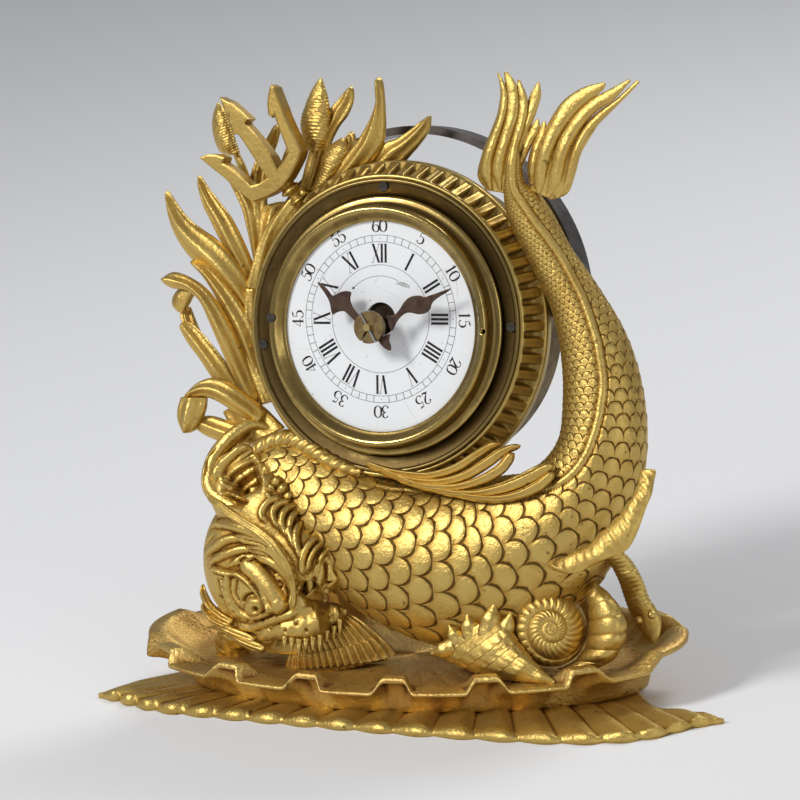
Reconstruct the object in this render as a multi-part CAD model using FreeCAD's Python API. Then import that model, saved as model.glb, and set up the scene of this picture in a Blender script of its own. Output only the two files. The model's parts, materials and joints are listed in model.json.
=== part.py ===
import FreeCAD, Part
import math
import os
from FreeCAD import Vector as V

# Table clock: a cast dolphin in a scallop shell tray carries a round spring driven clock.
# Millimetres. Row frame: +X to the viewer's right, +Y to the back, +Z up, origin on the
# table under the middle of the base plate. The figure and the clock lean back from the
# table by LEAN_DEG. They are modelled upright and leaned by one turn about the X axis.
# Depths of clock pieces are measured back from the bezel's opening.

os.makedirs("parts", exist_ok=True)

# Driving dimensions: case
DRUM_RADIUS = 40.0
DRUM_WALL = 1.2
DRUM_BACK_DEPTH = 31.0
OPENING_RADIUS = 28.5
OPENING_FORWARD = 13.0
AXIS_HEIGHT = 104.0
LEAN_DEG = 12.0
FIGURE_X = -5.0
FIGURE_Y = 10.0
FIGURE_DROP = 2.2
FLANGE_DEPTH = 4.7
FLANGE_THICK = 1.2
FLANGE_INNER_RADIUS = 33.4
MOULDING_OUTER_RADIUS = 35.2
MOULDING_STAND = 0.9
RING_FRONT_RISE = 0.9
RING_BACK_RISE = 4.0
RING_RIM_RISE = 4.7
RING_RIM_DEPTH = 12.0
RING_BACK_DEPTH = 15.0
RING_SLOT_WIDTH = 1.7
RING_SLOT_COUNT = 72
COVER_THICK = 1.2
COVER_SKIRT = 2.4
COVER_WALL = 0.7
KEY_HOLE_RADIUS = 3.6
EMPTY_HOLE_DEG = 92.0
BEZEL_SCREW_DEG = 274.0
FLANGE_SCREW_DEGS = (0.0, 90.0, 262.0)
LUG_RADIUS = 1.5
MOVEMENT_LUG_DEGS = (60.0, 180.0, 300.0)

# Driving dimensions: dial and hands
DIAL_DEPTH = 1.6
DIAL_THICK = 1.2
DIAL_RADIUS = 30.6
DIAL_SLIP = 2.0
DIAL_HOLE_RADIUS = 4.5
DIAL_FOOT_RADIUS = 0.7
DIAL_FOOT_CIRCLE = 26.0
HOUR_HAND_LENGTH = 17.5
MINUTE_HAND_LENGTH = 20.5
HAND_THICK = 0.5
HOUR_HAND_DEPTH = -3.2
MINUTE_HAND_DEPTH = -4.4
HOUR_TURN_DEG = 305.0
MINUTE_TURN_DEG = 60.0
COLLET_RADIUS = 4.4
COLLET_THICK = 1.4
COLLET_SLOT = 0.6
PIN_RADIUS = 0.35
PIN_LENGTH = 9.0
DIAL_FOOT_DEGS = (30.0, 150.0, 270.0)
HOUR_PIPE_RADIUS = 2.3
CANNON_PIPE_RADIUS = 1.7
CENTRE_ARBOR_RADIUS = 1.0
HAND_HUB_RADIUS = 3.4
HAND_WIDTH = 6.4
PIN_TURN_DEG = 120.0

# Driving dimensions: movement
FRONT_PLATE_DEPTH = 6.7
MOVEMENT_PLATE_THICK = 1.5
BACK_PLATE_DEPTH = 20.0
FRONT_PLATE_RADIUS = 34.4
BACK_PLATE_RADIUS = 33.0
PILLAR_RADIUS = 1.6
PILLAR_CIRCLE = 29.0
PIVOT_RADIUS = 0.6
RUNNING_GAP = 0.05
GAP = 0.3
SCREW_RADIUS = 0.6
SCREW_HEAD_RADIUS = 1.3
SCREW_HEAD_THICK = 0.7
SCREW_LENGTH = 3.0
SLOT_WIDTH = 0.35
SLOT_DEEP = 0.3
TRAIN_MODULE = 0.4
ESCAPE_MODULE = 0.36
MINUTE_MODULE = 0.5
HOUR_MODULE = 0.48
GREAT_TEETH = 72
CENTRE_PINION_LEAVES = 12
CENTRE_TEETH = 60
THIRD_PINION_LEAVES = 8
THIRD_TEETH = 64
ESCAPE_PINION_LEAVES = 8
ESCAPE_TEETH = 30
CANNON_LEAVES = 12
MINUTE_TEETH = 36
MINUTE_PINION_LEAVES = 10
HOUR_TEETH = 40
WHEEL_THICK = 0.8
PINION_THICK = 1.6
ESCAPE_RADIUS = 6.5
BARREL_RADIUS = 12.5
BARREL_WALL = 0.8
BARREL_DEPTH = 8.8
GREAT_WHEEL_DEPTH = 13.8
GREAT_WHEEL_THICK = 1.2
ARBOR_RADIUS = 1.6
BALANCE_RADIUS = 9.0
BALANCE_RIM = 1.1
BALANCE_DEPTH = 23.4
RATCHET_RADIUS = 5.2
RATCHET_TEETH = 24
BARREL_DEG = 250.0
THIRD_DEG = 30.0
ESCAPE_DEG = 120.0
BALANCE_DEG = 180.0
MOTION_DEG = 150.0
CYLINDER_RADIUS = 0.9
PILLAR_DEGS = (45.0, 135.0, 200.0, 320.0)
ARBOR_SQUARE = 2.0
SPRING_TURNS = 7
SPRING_STRIP = 0.35
HAIR_TURNS = 5
HAIR_STRIP = 0.12
CLICK_LENGTH = 6.0
CLICK_RADIUS = 1.6
CLICK_DEG = 330.0
CLICK_NOSE_DEG = 108.0
COCK_THICK = 1.2
COCK_FOOT_RADIUS = 2.2
COCK_DEG = 115.0
COCK_WIDTH = 3.4

# Driving dimensions: handle, base plate and tray
HANDLE_RADIUS = 49.5
HANDLE_RISE = 4.5
HANDLE_WIDTH = 8.4
HANDLE_THICK = 2.2
HANDLE_DEPTH = 27.9
HANDLE_BOSS_RADIUS = 4.6
HANDLE_BORE = 1.5
PLATE_HALF_LENGTH = 94.0
PLATE_FRONT = 23.0
PLATE_BACK = 50.0
PLATE_THICK = 2.2
RAY_HEIGHT = 1.0
RAY_COUNT = 19
TRAY_HALF_LENGTH = 83.0
TRAY_HALF_DEPTH = 35.0
TRAY_CENTRE_X = -5.0
TRAY_CENTRE_Y = 20.0
TRAY_FRONT_HEIGHT = 12.5
TRAY_BACK_HEIGHT = 20.0
TRAY_FLOOR = 9.5
TRAY_WALL = 1.8
TRAY_FOOT_SHARE = 0.84
TRAY_FOLD = 1.4
TRAY_FOLDS = 16
FIXING_RADIUS = 1.5
FIXING_HEAD_THICK = 0.9
SPRAY_STEM_DEG = (242, 262, 282, 302, 322)
SPRAY_STEM_HALF = 2.2
RAY_HALF_SHARE = 0.36
RAY_START_SHARE = 0.55
FIXING_X_SHARES = (-0.55, -0.10, 0.45)
OVERRUN = 1.0

# The figure is laid out in shares of the drum's radius, which it wraps round
UNIT = DRUM_RADIUS
RING_RIM_RADIUS = DRUM_RADIUS + RING_RIM_RISE


def leaned(shape):
    """The shape turned back from upright to the clock's lean and set over the tray."""
    shape.rotate(V(0, 0, 0), V(1, 0, 0), -LEAN_DEG)
    shape.translate(V(FIGURE_X, FIGURE_Y, -FIGURE_DROP))
    return shape


def on_axis(shape):
    """A piece drawn about local Z, pointing to the back, set on the drum's axis and leaned.
    Local x is the viewer's right and local y is down."""
    shape.rotate(V(0, 0, 0), V(1, 0, 0), -90)
    shape.translate(V(0, -OPENING_FORWARD, AXIS_HEIGHT))
    return leaned(shape)


def clock_point(radius, degrees, depth=0):
    """A point by its radius and its angle clockwise from twelve, in the local frame."""
    turn = math.radians(degrees)
    return V(radius * math.sin(turn), -radius * math.cos(turn), depth)


def disc(radius, depth, thick, at=V(0, 0, 0)):
    return Part.makeCylinder(radius, thick, V(at.x, at.y, depth))


def ring(outer, inner, depth, thick, at=V(0, 0, 0)):
    bore = disc(inner, depth - OVERRUN, thick + 2 * OVERRUN, at)
    return disc(outer, depth, thick, at).cut(bore)


def turned(profile):
    """A solid of revolution about local Z from (radius, depth) points."""
    points = [V(radius, 0, depth) for radius, depth in profile]
    face = Part.Face(Part.makePolygon(points + points[:1]))
    return face.revolve(V(0, 0, 0), V(0, 0, 1), 360)


def joined(shapes):
    solid = shapes[0]
    for shape in shapes[1:]:
        solid = solid.fuse(shape)
    return solid


def group(shapes):
    return Part.makeCompound(shapes)


def spun(shape, degrees, at=V(0, 0, 0)):
    copy = shape.copy()
    copy.rotate(at, V(0, 0, 1), degrees)
    return copy


def save(name, shape):
    shape.exportStep("parts/%s.step" % name)
    solids = shape.Solids
    print("%-22s %2d solids  %10.2f mm3  valid %s"
          % (name, len(solids), shape.Volume, all(s.isValid() for s in solids)))


# A slotted screw with its head's underside at a given depth, its shank to the back
def screw(at, under_head, shank):
    head = disc(SCREW_HEAD_RADIUS, under_head - SCREW_HEAD_THICK, SCREW_HEAD_THICK, at)
    stem = disc(SCREW_RADIUS, under_head, shank, at)
    slot = Part.makeBox(2 * SCREW_HEAD_RADIUS, SLOT_WIDTH, SLOT_DEEP)
    slot.translate(V(at.x - SCREW_HEAD_RADIUS, at.y - SLOT_WIDTH / 2, under_head - SCREW_HEAD_THICK))
    return head.fuse(stem).cut(slot)


# Wheels and pinions. Tooth shapes are shares of the pitch and of the module.
WHEEL_TOOTH_SHARES = ((-1.15, 0.46), (0.0, 0.38), (0.45, 0.27), (0.8, 0.09))
LEAF_TOOTH_SHARES = ((-1.15, 0.22), (0.0, 0.32), (0.4, 0.26), (0.75, 0.10))


def toothed(module, teeth, shares, depth, thick, at=V(0, 0, 0), turn=0, bore=PIVOT_RADIUS):
    """A gear as one holed prism. A share of turn 0 puts a tooth at twelve o'clock."""
    pitch_radius = module * teeth / 2
    pitch = 360 / teeth
    points = []
    for tooth in range(teeth):
        centre = tooth * pitch + turn
        rising = [(rise, -width / 2) for rise, width in shares]
        falling = [(rise, width / 2) for rise, width in reversed(shares)]
        for rise, side in rising + falling:
            points.append(clock_point(pitch_radius + rise * module, centre + side * pitch) + at)
    outline = Part.makePolygon(points + points[:1])
    outline.translate(V(0, 0, depth))
    gear = Part.Face(outline).extrude(V(0, 0, thick))
    if bore:
        gear = gear.cut(disc(bore, depth - OVERRUN, thick + 2 * OVERRUN, at))
    return gear


def crossed_out(wheel, rim, hub, depth, thick, at, spokes=4, share=0.5):
    """The wheel with windows cut between its spokes."""
    pitch = 360 / spokes
    half = pitch * share / 2
    for spoke in range(spokes):
        middle = spoke * pitch + pitch / 2
        corners = [clock_point(hub, middle - half), clock_point(rim, middle - half),
                   clock_point(rim, middle), clock_point(rim, middle + half),
                   clock_point(hub, middle + half), clock_point(hub, middle)]
        edges = [Part.LineSegment(corners[0], corners[1]).toShape(),
                 Part.Arc(corners[1], corners[2], corners[3]).toShape(),
                 Part.LineSegment(corners[3], corners[4]).toShape(),
                 Part.Arc(corners[4], corners[5], corners[0]).toShape()]
        window = Part.Face(Part.Wire(edges)).extrude(V(0, 0, thick + 2 * OVERRUN))
        window.translate(V(at.x, at.y, depth - OVERRUN))
        wheel = wheel.cut(window)
    return wheel


# Smooth forms of the figure: a skin through oval sections along a path. Each path row is
# x, y, z, half width across the path and half depth, all in shares of the drum's radius.
# A path that runs nearly front to back takes its width from the X axis.
SECTION_POINTS = 10
STEEPEST_SHARE = 0.2


def oval(centre, across, deep, width, depth):
    points = []
    for step in range(SECTION_POINTS):
        turn = 2 * math.pi * step / SECTION_POINTS
        points.append(centre + across * (width * math.cos(turn)) + deep * (depth * math.sin(turn)))
    curve = Part.BSplineCurve()
    curve.interpolate(Points=points, PeriodicFlag=True)
    return Part.Wire(curve.toShape())


def skinned(rows, scale=UNIT):
    """A closed solid through the ovals of a path table."""
    places = [V(row[0], row[1], row[2]) * scale for row in rows]
    sections = []
    for index, row in enumerate(rows):
        ahead = places[min(index + 1, len(places) - 1)]
        behind = places[max(index - 1, 0)]
        along = (ahead - behind).normalize()
        across = along.cross(V(0, 1, 0))
        across = V(1, 0, 0) if across.Length < STEEPEST_SHARE else across.normalize()
        deep = across.cross(along).normalize()
        sections.append(oval(places[index], across, deep, row[3] * scale, row[4] * scale))
    return Part.makeLoft(sections, True, False)


def ball(row, scale=UNIT):
    """An ellipsoid from centre and three half axes in shares."""
    sphere = Part.makeSphere(scale)
    matrix = FreeCAD.Matrix()
    matrix.scale(V(row[3], row[4], row[5]))
    solid = sphere.transformGeometry(matrix)
    solid.translate(V(row[0], row[1], row[2]) * scale)
    return solid


# Room that the figure leaves: the drum with its fluted ring, at the same place on the axis
def drum_room():
    whole = disc(DRUM_RADIUS, -MOULDING_STAND, DRUM_BACK_DEPTH + COVER_THICK + MOULDING_STAND)
    rim = disc(RING_RIM_RADIUS, FLANGE_DEPTH, RING_BACK_DEPTH - FLANGE_DEPTH)
    return on_axis(whole.fuse(rim))


DRUM_SEAT = drum_room()


# Bezel: a rounded moulding on a flat flange
def bezel_moulding():
    inner = OPENING_RADIUS
    outer = MOULDING_OUTER_RADIUS
    wide = outer - inner
    seat = DIAL_RADIUS + DIAL_SLIP + RUNNING_GAP
    round_shares = ((0.0, 0.30), (0.10, 0.02), (0.30, -0.16), (0.55, -0.10), (0.80, 0.22),
                    (0.94, 0.60))
    profile = [(inner + across * wide, deep * FLANGE_DEPTH) for across, deep in round_shares]
    profile += [(outer, FLANGE_DEPTH), (seat, FLANGE_DEPTH), (seat, DIAL_DEPTH), (inner, DIAL_DEPTH)]
    body = turned(profile)
    crown = inner + wide / 2
    hole = disc(SCREW_RADIUS, -FLANGE_DEPTH, 2 * FLANGE_DEPTH, clock_point(crown, EMPTY_HOLE_DEG))
    screw_hole = disc(SCREW_RADIUS, -FLANGE_DEPTH, 2 * FLANGE_DEPTH, clock_point(crown, BEZEL_SCREW_DEG))
    return body.cut(hole).cut(screw_hole)


FLANGE_SCREW_CIRCLE = (MOULDING_OUTER_RADIUS + DRUM_RADIUS) / 2
MOVEMENT_SCREW_CIRCLE = FRONT_PLATE_RADIUS - 2 * SCREW_RADIUS
FLANGE_BACK = FLANGE_DEPTH + FLANGE_THICK
FRONT_PLATE_BACK = FRONT_PLATE_DEPTH + MOVEMENT_PLATE_THICK
BACK_PLATE_BACK = BACK_PLATE_DEPTH + MOVEMENT_PLATE_THICK
DRUM_BORE = DRUM_RADIUS - DRUM_WALL
HANDLE_AXIS_X = HANDLE_RADIUS - HANDLE_THICK
PIVOT_SCREW_RADIUS = HANDLE_BORE - RUNNING_GAP
SIDE_BOSS_RADIUS = DRUM_BACK_DEPTH - HANDLE_DEPTH - GAP


def bezel_flange():
    plate = ring(DRUM_RADIUS, FLANGE_INNER_RADIUS, FLANGE_DEPTH, FLANGE_THICK)
    for degrees in FLANGE_SCREW_DEGS:
        plate = plate.cut(disc(SCREW_RADIUS, 0, DRUM_BACK_DEPTH, clock_point(FLANGE_SCREW_CIRCLE, degrees)))
    return plate


def flange_screws():
    return group([screw(clock_point(FLANGE_SCREW_CIRCLE, degrees), FLANGE_DEPTH, SCREW_LENGTH)
                  for degrees in FLANGE_SCREW_DEGS])


def bezel_screw():
    crown = OPENING_RADIUS + (MOULDING_OUTER_RADIUS - OPENING_RADIUS) / 2
    at = clock_point(crown, BEZEL_SCREW_DEG)
    stem = disc(SCREW_RADIUS, -MOULDING_STAND, MOULDING_STAND + DIAL_DEPTH, at)
    head = disc(SCREW_HEAD_RADIUS, -MOULDING_STAND - SCREW_HEAD_THICK, SCREW_HEAD_THICK, at)
    return head.fuse(stem)


def fluted_ring():
    rise = ((0, 0), (RING_FRONT_RISE, 0), (RING_BACK_RISE, RING_RIM_DEPTH - FLANGE_DEPTH),
            (RING_RIM_RISE, RING_RIM_DEPTH - FLANGE_DEPTH),
            (RING_RIM_RISE, RING_BACK_DEPTH - FLANGE_DEPTH), (0, RING_BACK_DEPTH - FLANGE_DEPTH))
    body = turned([(DRUM_RADIUS + out, FLANGE_DEPTH + deep) for out, deep in rise])
    slots = []
    floor = DRUM_RADIUS + RING_FRONT_RISE / 2
    length = RING_RIM_DEPTH - FLANGE_DEPTH - RING_FRONT_RISE
    for index in range(RING_SLOT_COUNT):
        slot = Part.makeBox(RING_SLOT_WIDTH, RING_RIM_RISE, length)
        slot.translate(V(-RING_SLOT_WIDTH / 2, floor, FLANGE_DEPTH + RING_FRONT_RISE))
        slots.append(spun(slot, index * 360 / RING_SLOT_COUNT))
    return body.cut(group(slots))


def drum_shell():
    shell = ring(DRUM_RADIUS, DRUM_BORE, FLANGE_BACK, DRUM_BACK_DEPTH - FLANGE_BACK)
    lugs = []
    reach = DRUM_BORE + DRUM_WALL / 2
    for degrees in FLANGE_SCREW_DEGS:
        inner = FLANGE_SCREW_CIRCLE - LUG_RADIUS
        block = Part.makeBox(2 * LUG_RADIUS, reach - inner, SCREW_LENGTH)
        block.translate(V(-LUG_RADIUS, -reach, FLANGE_BACK))
        lugs.append(spun(block, degrees))
    for degrees in MOVEMENT_LUG_DEGS:
        inner = MOVEMENT_SCREW_CIRCLE - LUG_RADIUS
        block = Part.makeBox(2 * LUG_RADIUS, reach - inner, SCREW_LENGTH)
        block.translate(V(-LUG_RADIUS, -reach, FRONT_PLATE_BACK))
        lugs.append(spun(block, degrees))
    shell = shell.multiFuse(lugs)
    for side in (-1, 1):
        boss = Part.makeCylinder(SIDE_BOSS_RADIUS, HANDLE_AXIS_X - GAP - DRUM_BORE,
                                 V(side * DRUM_BORE, -HANDLE_RISE, HANDLE_DEPTH), V(side, 0, 0))
        shell = shell.fuse(boss.cut(disc(DRUM_BORE + DRUM_WALL / 2, 0, 2 * DRUM_BACK_DEPTH)))
    for side in (-1, 1):
        hole = Part.makeCylinder(PIVOT_SCREW_RADIUS, SCREW_LENGTH + OVERRUN,
                                 V(side * (HANDLE_AXIS_X - GAP - SCREW_LENGTH), -HANDLE_RISE, HANDLE_DEPTH),
                                 V(side, 0, 0))
        shell = shell.cut(hole)
    holes = [disc(SCREW_RADIUS, FLANGE_BACK, SCREW_LENGTH - FLANGE_THICK,
                  clock_point(FLANGE_SCREW_CIRCLE, degrees)) for degrees in FLANGE_SCREW_DEGS]
    holes += [disc(SCREW_RADIUS, FRONT_PLATE_BACK, SCREW_LENGTH - MOVEMENT_PLATE_THICK,
                   clock_point(MOVEMENT_SCREW_CIRCLE, degrees)) for degrees in MOVEMENT_LUG_DEGS]
    return shell.cut(group(holes)).removeSplitter()


def back_cover():
    cover = disc(DRUM_RADIUS, DRUM_BACK_DEPTH, COVER_THICK)
    skirt = ring(DRUM_BORE, DRUM_BORE - COVER_WALL, DRUM_BACK_DEPTH - COVER_SKIRT, COVER_SKIRT)
    cover = cover.fuse(skirt)
    return cover.cut(disc(KEY_HOLE_RADIUS, DRUM_BACK_DEPTH - OVERRUN, COVER_THICK + 2 * OVERRUN, BARREL_AT))


# Dial with its feet, slipped upward on the arbor as it sits now
def dial():
    up = V(0, -DIAL_SLIP, 0)
    plate = ring(DIAL_RADIUS, DIAL_HOLE_RADIUS, DIAL_DEPTH, DIAL_THICK, up)
    back = DIAL_DEPTH + DIAL_THICK
    feet = [disc(DIAL_FOOT_RADIUS, back, FRONT_PLATE_DEPTH - back,
                 clock_point(DIAL_FOOT_CIRCLE, degrees) + up) for degrees in DIAL_FOOT_DEGS]
    return joined([plate] + feet)


# Hands: half outlines as shares of the length along the hand and of a width
HOUR_OUTLINE_SHARES = ((0.10, 0.30), (0.32, 0.16), (0.42, 0.42), (0.52, 0.50), (0.62, 0.42),
                       (0.72, 0.16), (0.84, 0.07), (1.0, 0.01))
MINUTE_OUTLINE_SHARES = ((0.12, 0.26), (0.30, 0.14), (0.42, 0.28), (0.54, 0.36), (0.64, 0.30),
                         (0.72, 0.12), (0.80, 0.14), (0.90, 0.07), (1.0, 0.01))
TAIL_OUTLINE_SHARES = ((0.0, 0.18), (0.30, 0.16), (0.38, 0.10))


def hand(length, shares, bore, depth, degrees, tail):
    right = [V(width * HAND_WIDTH, -along * length, depth) for along, width in shares]
    left = [V(-point.x, point.y, depth) for point in reversed(right)]
    blade = Part.Face(Part.makePolygon(right + left + right[:1])).extrude(V(0, 0, HAND_THICK))
    pieces = [blade, disc(HAND_HUB_RADIUS, depth, HAND_THICK)]
    if tail:
        right = [V(width * HAND_WIDTH, along * length, depth) for along, width in TAIL_OUTLINE_SHARES]
        left = [V(-point.x, point.y, depth) for point in reversed(right)]
        pieces.append(Part.Face(Part.makePolygon(right + left + right[:1])).extrude(V(0, 0, HAND_THICK)))
    whole = joined(pieces).cut(disc(bore, depth - OVERRUN, HAND_THICK + 2 * OVERRUN))
    return spun(whole, degrees)


COLLET_DEPTH = MINUTE_HAND_DEPTH - COLLET_THICK
PIN_DEPTH = COLLET_DEPTH - PIN_RADIUS
ARBOR_FRONT = PIN_DEPTH - 3 * PIN_RADIUS


def hand_collet():
    body = ring(COLLET_RADIUS, CENTRE_ARBOR_RADIUS, COLLET_DEPTH, COLLET_THICK)
    slot = Part.makeBox(COLLET_RADIUS, COLLET_SLOT, COLLET_THICK + 2 * OVERRUN)
    slot.translate(V(0, -COLLET_SLOT / 2, COLLET_DEPTH - OVERRUN))
    return spun(body.cut(slot), PIN_TURN_DEG)


def taper_pin():
    pin = Part.makeCone(PIN_RADIUS, PIN_RADIUS / 2, PIN_LENGTH, V(PIN_LENGTH / 2, 0, PIN_DEPTH), V(-1, 0, 0))
    return spun(pin, PIN_TURN_DEG / 2)


# Movement layout: arbors by their distance and angle from the centre arbor
BARREL_DISTANCE = TRAIN_MODULE * (GREAT_TEETH + CENTRE_PINION_LEAVES) / 2
THIRD_DISTANCE = TRAIN_MODULE * (CENTRE_TEETH + THIRD_PINION_LEAVES) / 2
ESCAPE_DISTANCE = ESCAPE_MODULE * (THIRD_TEETH + ESCAPE_PINION_LEAVES) / 2
MOTION_DISTANCE = MINUTE_MODULE * (CANNON_LEAVES + MINUTE_TEETH) / 2
BARREL_AT = clock_point(BARREL_DISTANCE, BARREL_DEG)
THIRD_AT = clock_point(THIRD_DISTANCE, THIRD_DEG)
ESCAPE_AT = THIRD_AT + clock_point(ESCAPE_DISTANCE, ESCAPE_DEG)
BALANCE_AT = ESCAPE_AT + clock_point(ESCAPE_RADIUS + CYLINDER_RADIUS + 2 * GAP, BALANCE_DEG)
MOTION_AT = clock_point(MOTION_DISTANCE, MOTION_DEG)
CENTRE_PINION_DEPTH = GREAT_WHEEL_DEPTH
CENTRE_WHEEL_DEPTH = GREAT_WHEEL_DEPTH + GREAT_WHEEL_THICK + PINION_THICK
THIRD_WHEEL_DEPTH = BARREL_DEPTH + 1.5 * WHEEL_THICK
ESCAPE_WHEEL_DEPTH = CENTRE_WHEEL_DEPTH + 2 * WHEEL_THICK


def meshing(own_teeth, other_teeth, other_turn, towards):
    """The turn that puts a gap of this wheel on the other wheel's tooth line.
    towards is the clock angle from the other wheel's centre to this one's."""
    other_pitch = 360 / other_teeth
    own_pitch = 360 / own_teeth
    phase = ((towards - other_turn) / other_pitch) % 1
    return towards + 180 + (phase + 0.5) * own_pitch


def movement_plate(radius, depth, holes):
    plate = disc(radius, depth, MOVEMENT_PLATE_THICK)
    bores = [disc(bore, depth - OVERRUN, MOVEMENT_PLATE_THICK + 2 * OVERRUN, at) for at, bore in holes]
    return plate.cut(group(bores))


def pivot_hole(at, radius=PIVOT_RADIUS):
    return (at, radius + RUNNING_GAP)


def front_plate():
    holes = [pivot_hole(V(0, 0, 0), ARBOR_RADIUS), pivot_hole(BARREL_AT, ARBOR_RADIUS),
             pivot_hole(THIRD_AT), pivot_hole(ESCAPE_AT), pivot_hole(BALANCE_AT)]
    holes += [(clock_point(MOVEMENT_SCREW_CIRCLE, degrees), SCREW_RADIUS) for degrees in MOVEMENT_LUG_DEGS]
    holes += [(MOTION_AT, PIVOT_RADIUS)]
    return movement_plate(FRONT_PLATE_RADIUS, FRONT_PLATE_DEPTH, holes)


def back_plate():
    holes = [pivot_hole(V(0, 0, 0)), pivot_hole(BARREL_AT, ARBOR_RADIUS), pivot_hole(THIRD_AT),
             pivot_hole(ESCAPE_AT), pivot_hole(BALANCE_AT, CYLINDER_RADIUS)]
    holes += [(clock_point(PILLAR_CIRCLE, degrees), SCREW_RADIUS) for degrees in PILLAR_DEGS]
    holes += [(COCK_FOOT_AT, SCREW_RADIUS), (CLICK_AT, SCREW_RADIUS)]
    return movement_plate(BACK_PLATE_RADIUS, BACK_PLATE_DEPTH, holes)


def pillars():
    length = BACK_PLATE_DEPTH - FRONT_PLATE_BACK
    waist_shares = ((1.0, 0.0), (1.5, 0.06), (1.5, 0.12), (1.0, 0.18), (0.75, 0.5), (1.0, 0.82),
                    (1.5, 0.88), (1.5, 0.94), (1.0, 1.0))
    profile = [(wide * PILLAR_RADIUS, FRONT_PLATE_BACK + along * length) for wide, along in waist_shares]
    profile = [(0, FRONT_PLATE_BACK)] + profile + [(0, FRONT_PLATE_BACK + length)]
    pillar = turned(profile).cut(disc(SCREW_RADIUS, BACK_PLATE_DEPTH - SCREW_LENGTH, SCREW_LENGTH))
    made = []
    for degrees in PILLAR_DEGS:
        copy = pillar.copy()
        copy.translate(clock_point(PILLAR_CIRCLE, degrees))
        made.append(copy)
    return group(made)


def back_screw(at, under_head, shank):
    """A screw whose head looks to the back."""
    head = disc(SCREW_HEAD_RADIUS, under_head, SCREW_HEAD_THICK, at)
    stem = disc(SCREW_RADIUS, under_head - shank, shank, at)
    return head.fuse(stem)


def pillar_screws():
    shank = MOVEMENT_PLATE_THICK + SCREW_LENGTH - RUNNING_GAP
    return group([back_screw(clock_point(PILLAR_CIRCLE, degrees), BACK_PLATE_BACK, shank)
                  for degrees in PILLAR_DEGS])


def movement_screws():
    return group([screw(clock_point(MOVEMENT_SCREW_CIRCLE, degrees), FRONT_PLATE_DEPTH,
                        SCREW_LENGTH - RUNNING_GAP) for degrees in MOVEMENT_LUG_DEGS])


ARBOR_END_DEPTH = DRUM_BACK_DEPTH - 2 * GAP


def mainspring_barrel():
    """The barrel's drum with its cap and the great wheel at its back"""
    length = GREAT_WHEEL_DEPTH - BARREL_DEPTH
    bore = ARBOR_RADIUS + RUNNING_GAP
    shell = disc(BARREL_RADIUS, BARREL_DEPTH, length, BARREL_AT)
    hollow = disc(BARREL_RADIUS - BARREL_WALL, BARREL_DEPTH + BARREL_WALL, length - BARREL_WALL, BARREL_AT)
    wheel = toothed(TRAIN_MODULE, GREAT_TEETH, WHEEL_TOOTH_SHARES, GREAT_WHEEL_DEPTH, GREAT_WHEEL_THICK,
                    BARREL_AT, 0, 0)
    whole = shell.cut(hollow).fuse(wheel)
    return whole.cut(disc(bore, FRONT_PLATE_DEPTH, DRUM_BACK_DEPTH, BARREL_AT))


def spiral(at, inner, outer, turns, depth, thick, strip, start=0):
    """A flat spiral strip as one closed prism"""
    steps = 24 * turns
    pitch = (outer - inner) / steps
    inside = []
    outside = []
    for step in range(steps + 1):
        radius = inner + pitch * step
        degrees = start + 360 * turns * step / steps
        inside.append(clock_point(radius, degrees) + at)
        outside.append(clock_point(radius + strip, degrees) + at)
    points = inside + outside[::-1]
    outline = Part.makePolygon(points + points[:1])
    outline.translate(V(0, 0, depth))
    return Part.Face(outline).extrude(V(0, 0, thick))


def mainspring():
    depth = BARREL_DEPTH + BARREL_WALL + GAP
    thick = GREAT_WHEEL_DEPTH - depth - GAP
    inner = ARBOR_RADIUS + 2 * GAP
    outer = BARREL_RADIUS - BARREL_WALL - SPRING_STRIP - GAP / 2
    return spiral(BARREL_AT, inner, outer, SPRING_TURNS, depth, thick, SPRING_STRIP)


def winding_arbor():
    start = FRONT_PLATE_DEPTH + GAP
    stem = disc(ARBOR_RADIUS, start, BACK_PLATE_BACK - start, BARREL_AT)
    side = ARBOR_SQUARE
    square = Part.makeBox(side, side, ARBOR_END_DEPTH - BACK_PLATE_BACK)
    square.translate(V(BARREL_AT.x - side / 2, BARREL_AT.y - side / 2, BACK_PLATE_BACK))
    return stem.fuse(square)


RATCHET_DEPTH = BACK_PLATE_BACK + GAP
RATCHET_SHARES = ((0.84, 0.0), (1.0, 0.08), (1.0, 0.16))


def ratchet_wheel():
    points = []
    pitch = 360 / RATCHET_TEETH
    for tooth in range(RATCHET_TEETH):
        for radius, share in RATCHET_SHARES:
            points.append(clock_point(radius * RATCHET_RADIUS, (tooth + share) * pitch) + BARREL_AT)
    outline = Part.makePolygon(points + points[:1])
    outline.translate(V(0, 0, RATCHET_DEPTH))
    wheel = Part.Face(outline).extrude(V(0, 0, WHEEL_THICK))
    side = ARBOR_SQUARE
    square = Part.makeBox(side, side, WHEEL_THICK + 2 * OVERRUN)
    square.translate(V(BARREL_AT.x - side / 2, BARREL_AT.y - side / 2, RATCHET_DEPTH - OVERRUN))
    return wheel.cut(square)


CLICK_AT = BARREL_AT + clock_point(RATCHET_RADIUS + CLICK_RADIUS + 2 * GAP, CLICK_DEG)


def click():
    """A small lever that rests along the ratchet, just clear of its teeth"""
    boss = disc(CLICK_RADIUS, RATCHET_DEPTH, WHEEL_THICK)
    arm = Part.makeBox(CLICK_LENGTH, CLICK_RADIUS, WHEEL_THICK)
    arm.translate(V(0, -CLICK_RADIUS, RATCHET_DEPTH))
    lever = spun(boss.fuse(arm), CLICK_NOSE_DEG - 90)
    lever.translate(CLICK_AT)
    return lever.cut(disc(RATCHET_RADIUS + GAP, 0, DRUM_BACK_DEPTH, BARREL_AT)).cut(
        disc(SCREW_RADIUS + RUNNING_GAP, 0, DRUM_BACK_DEPTH, CLICK_AT))


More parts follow.
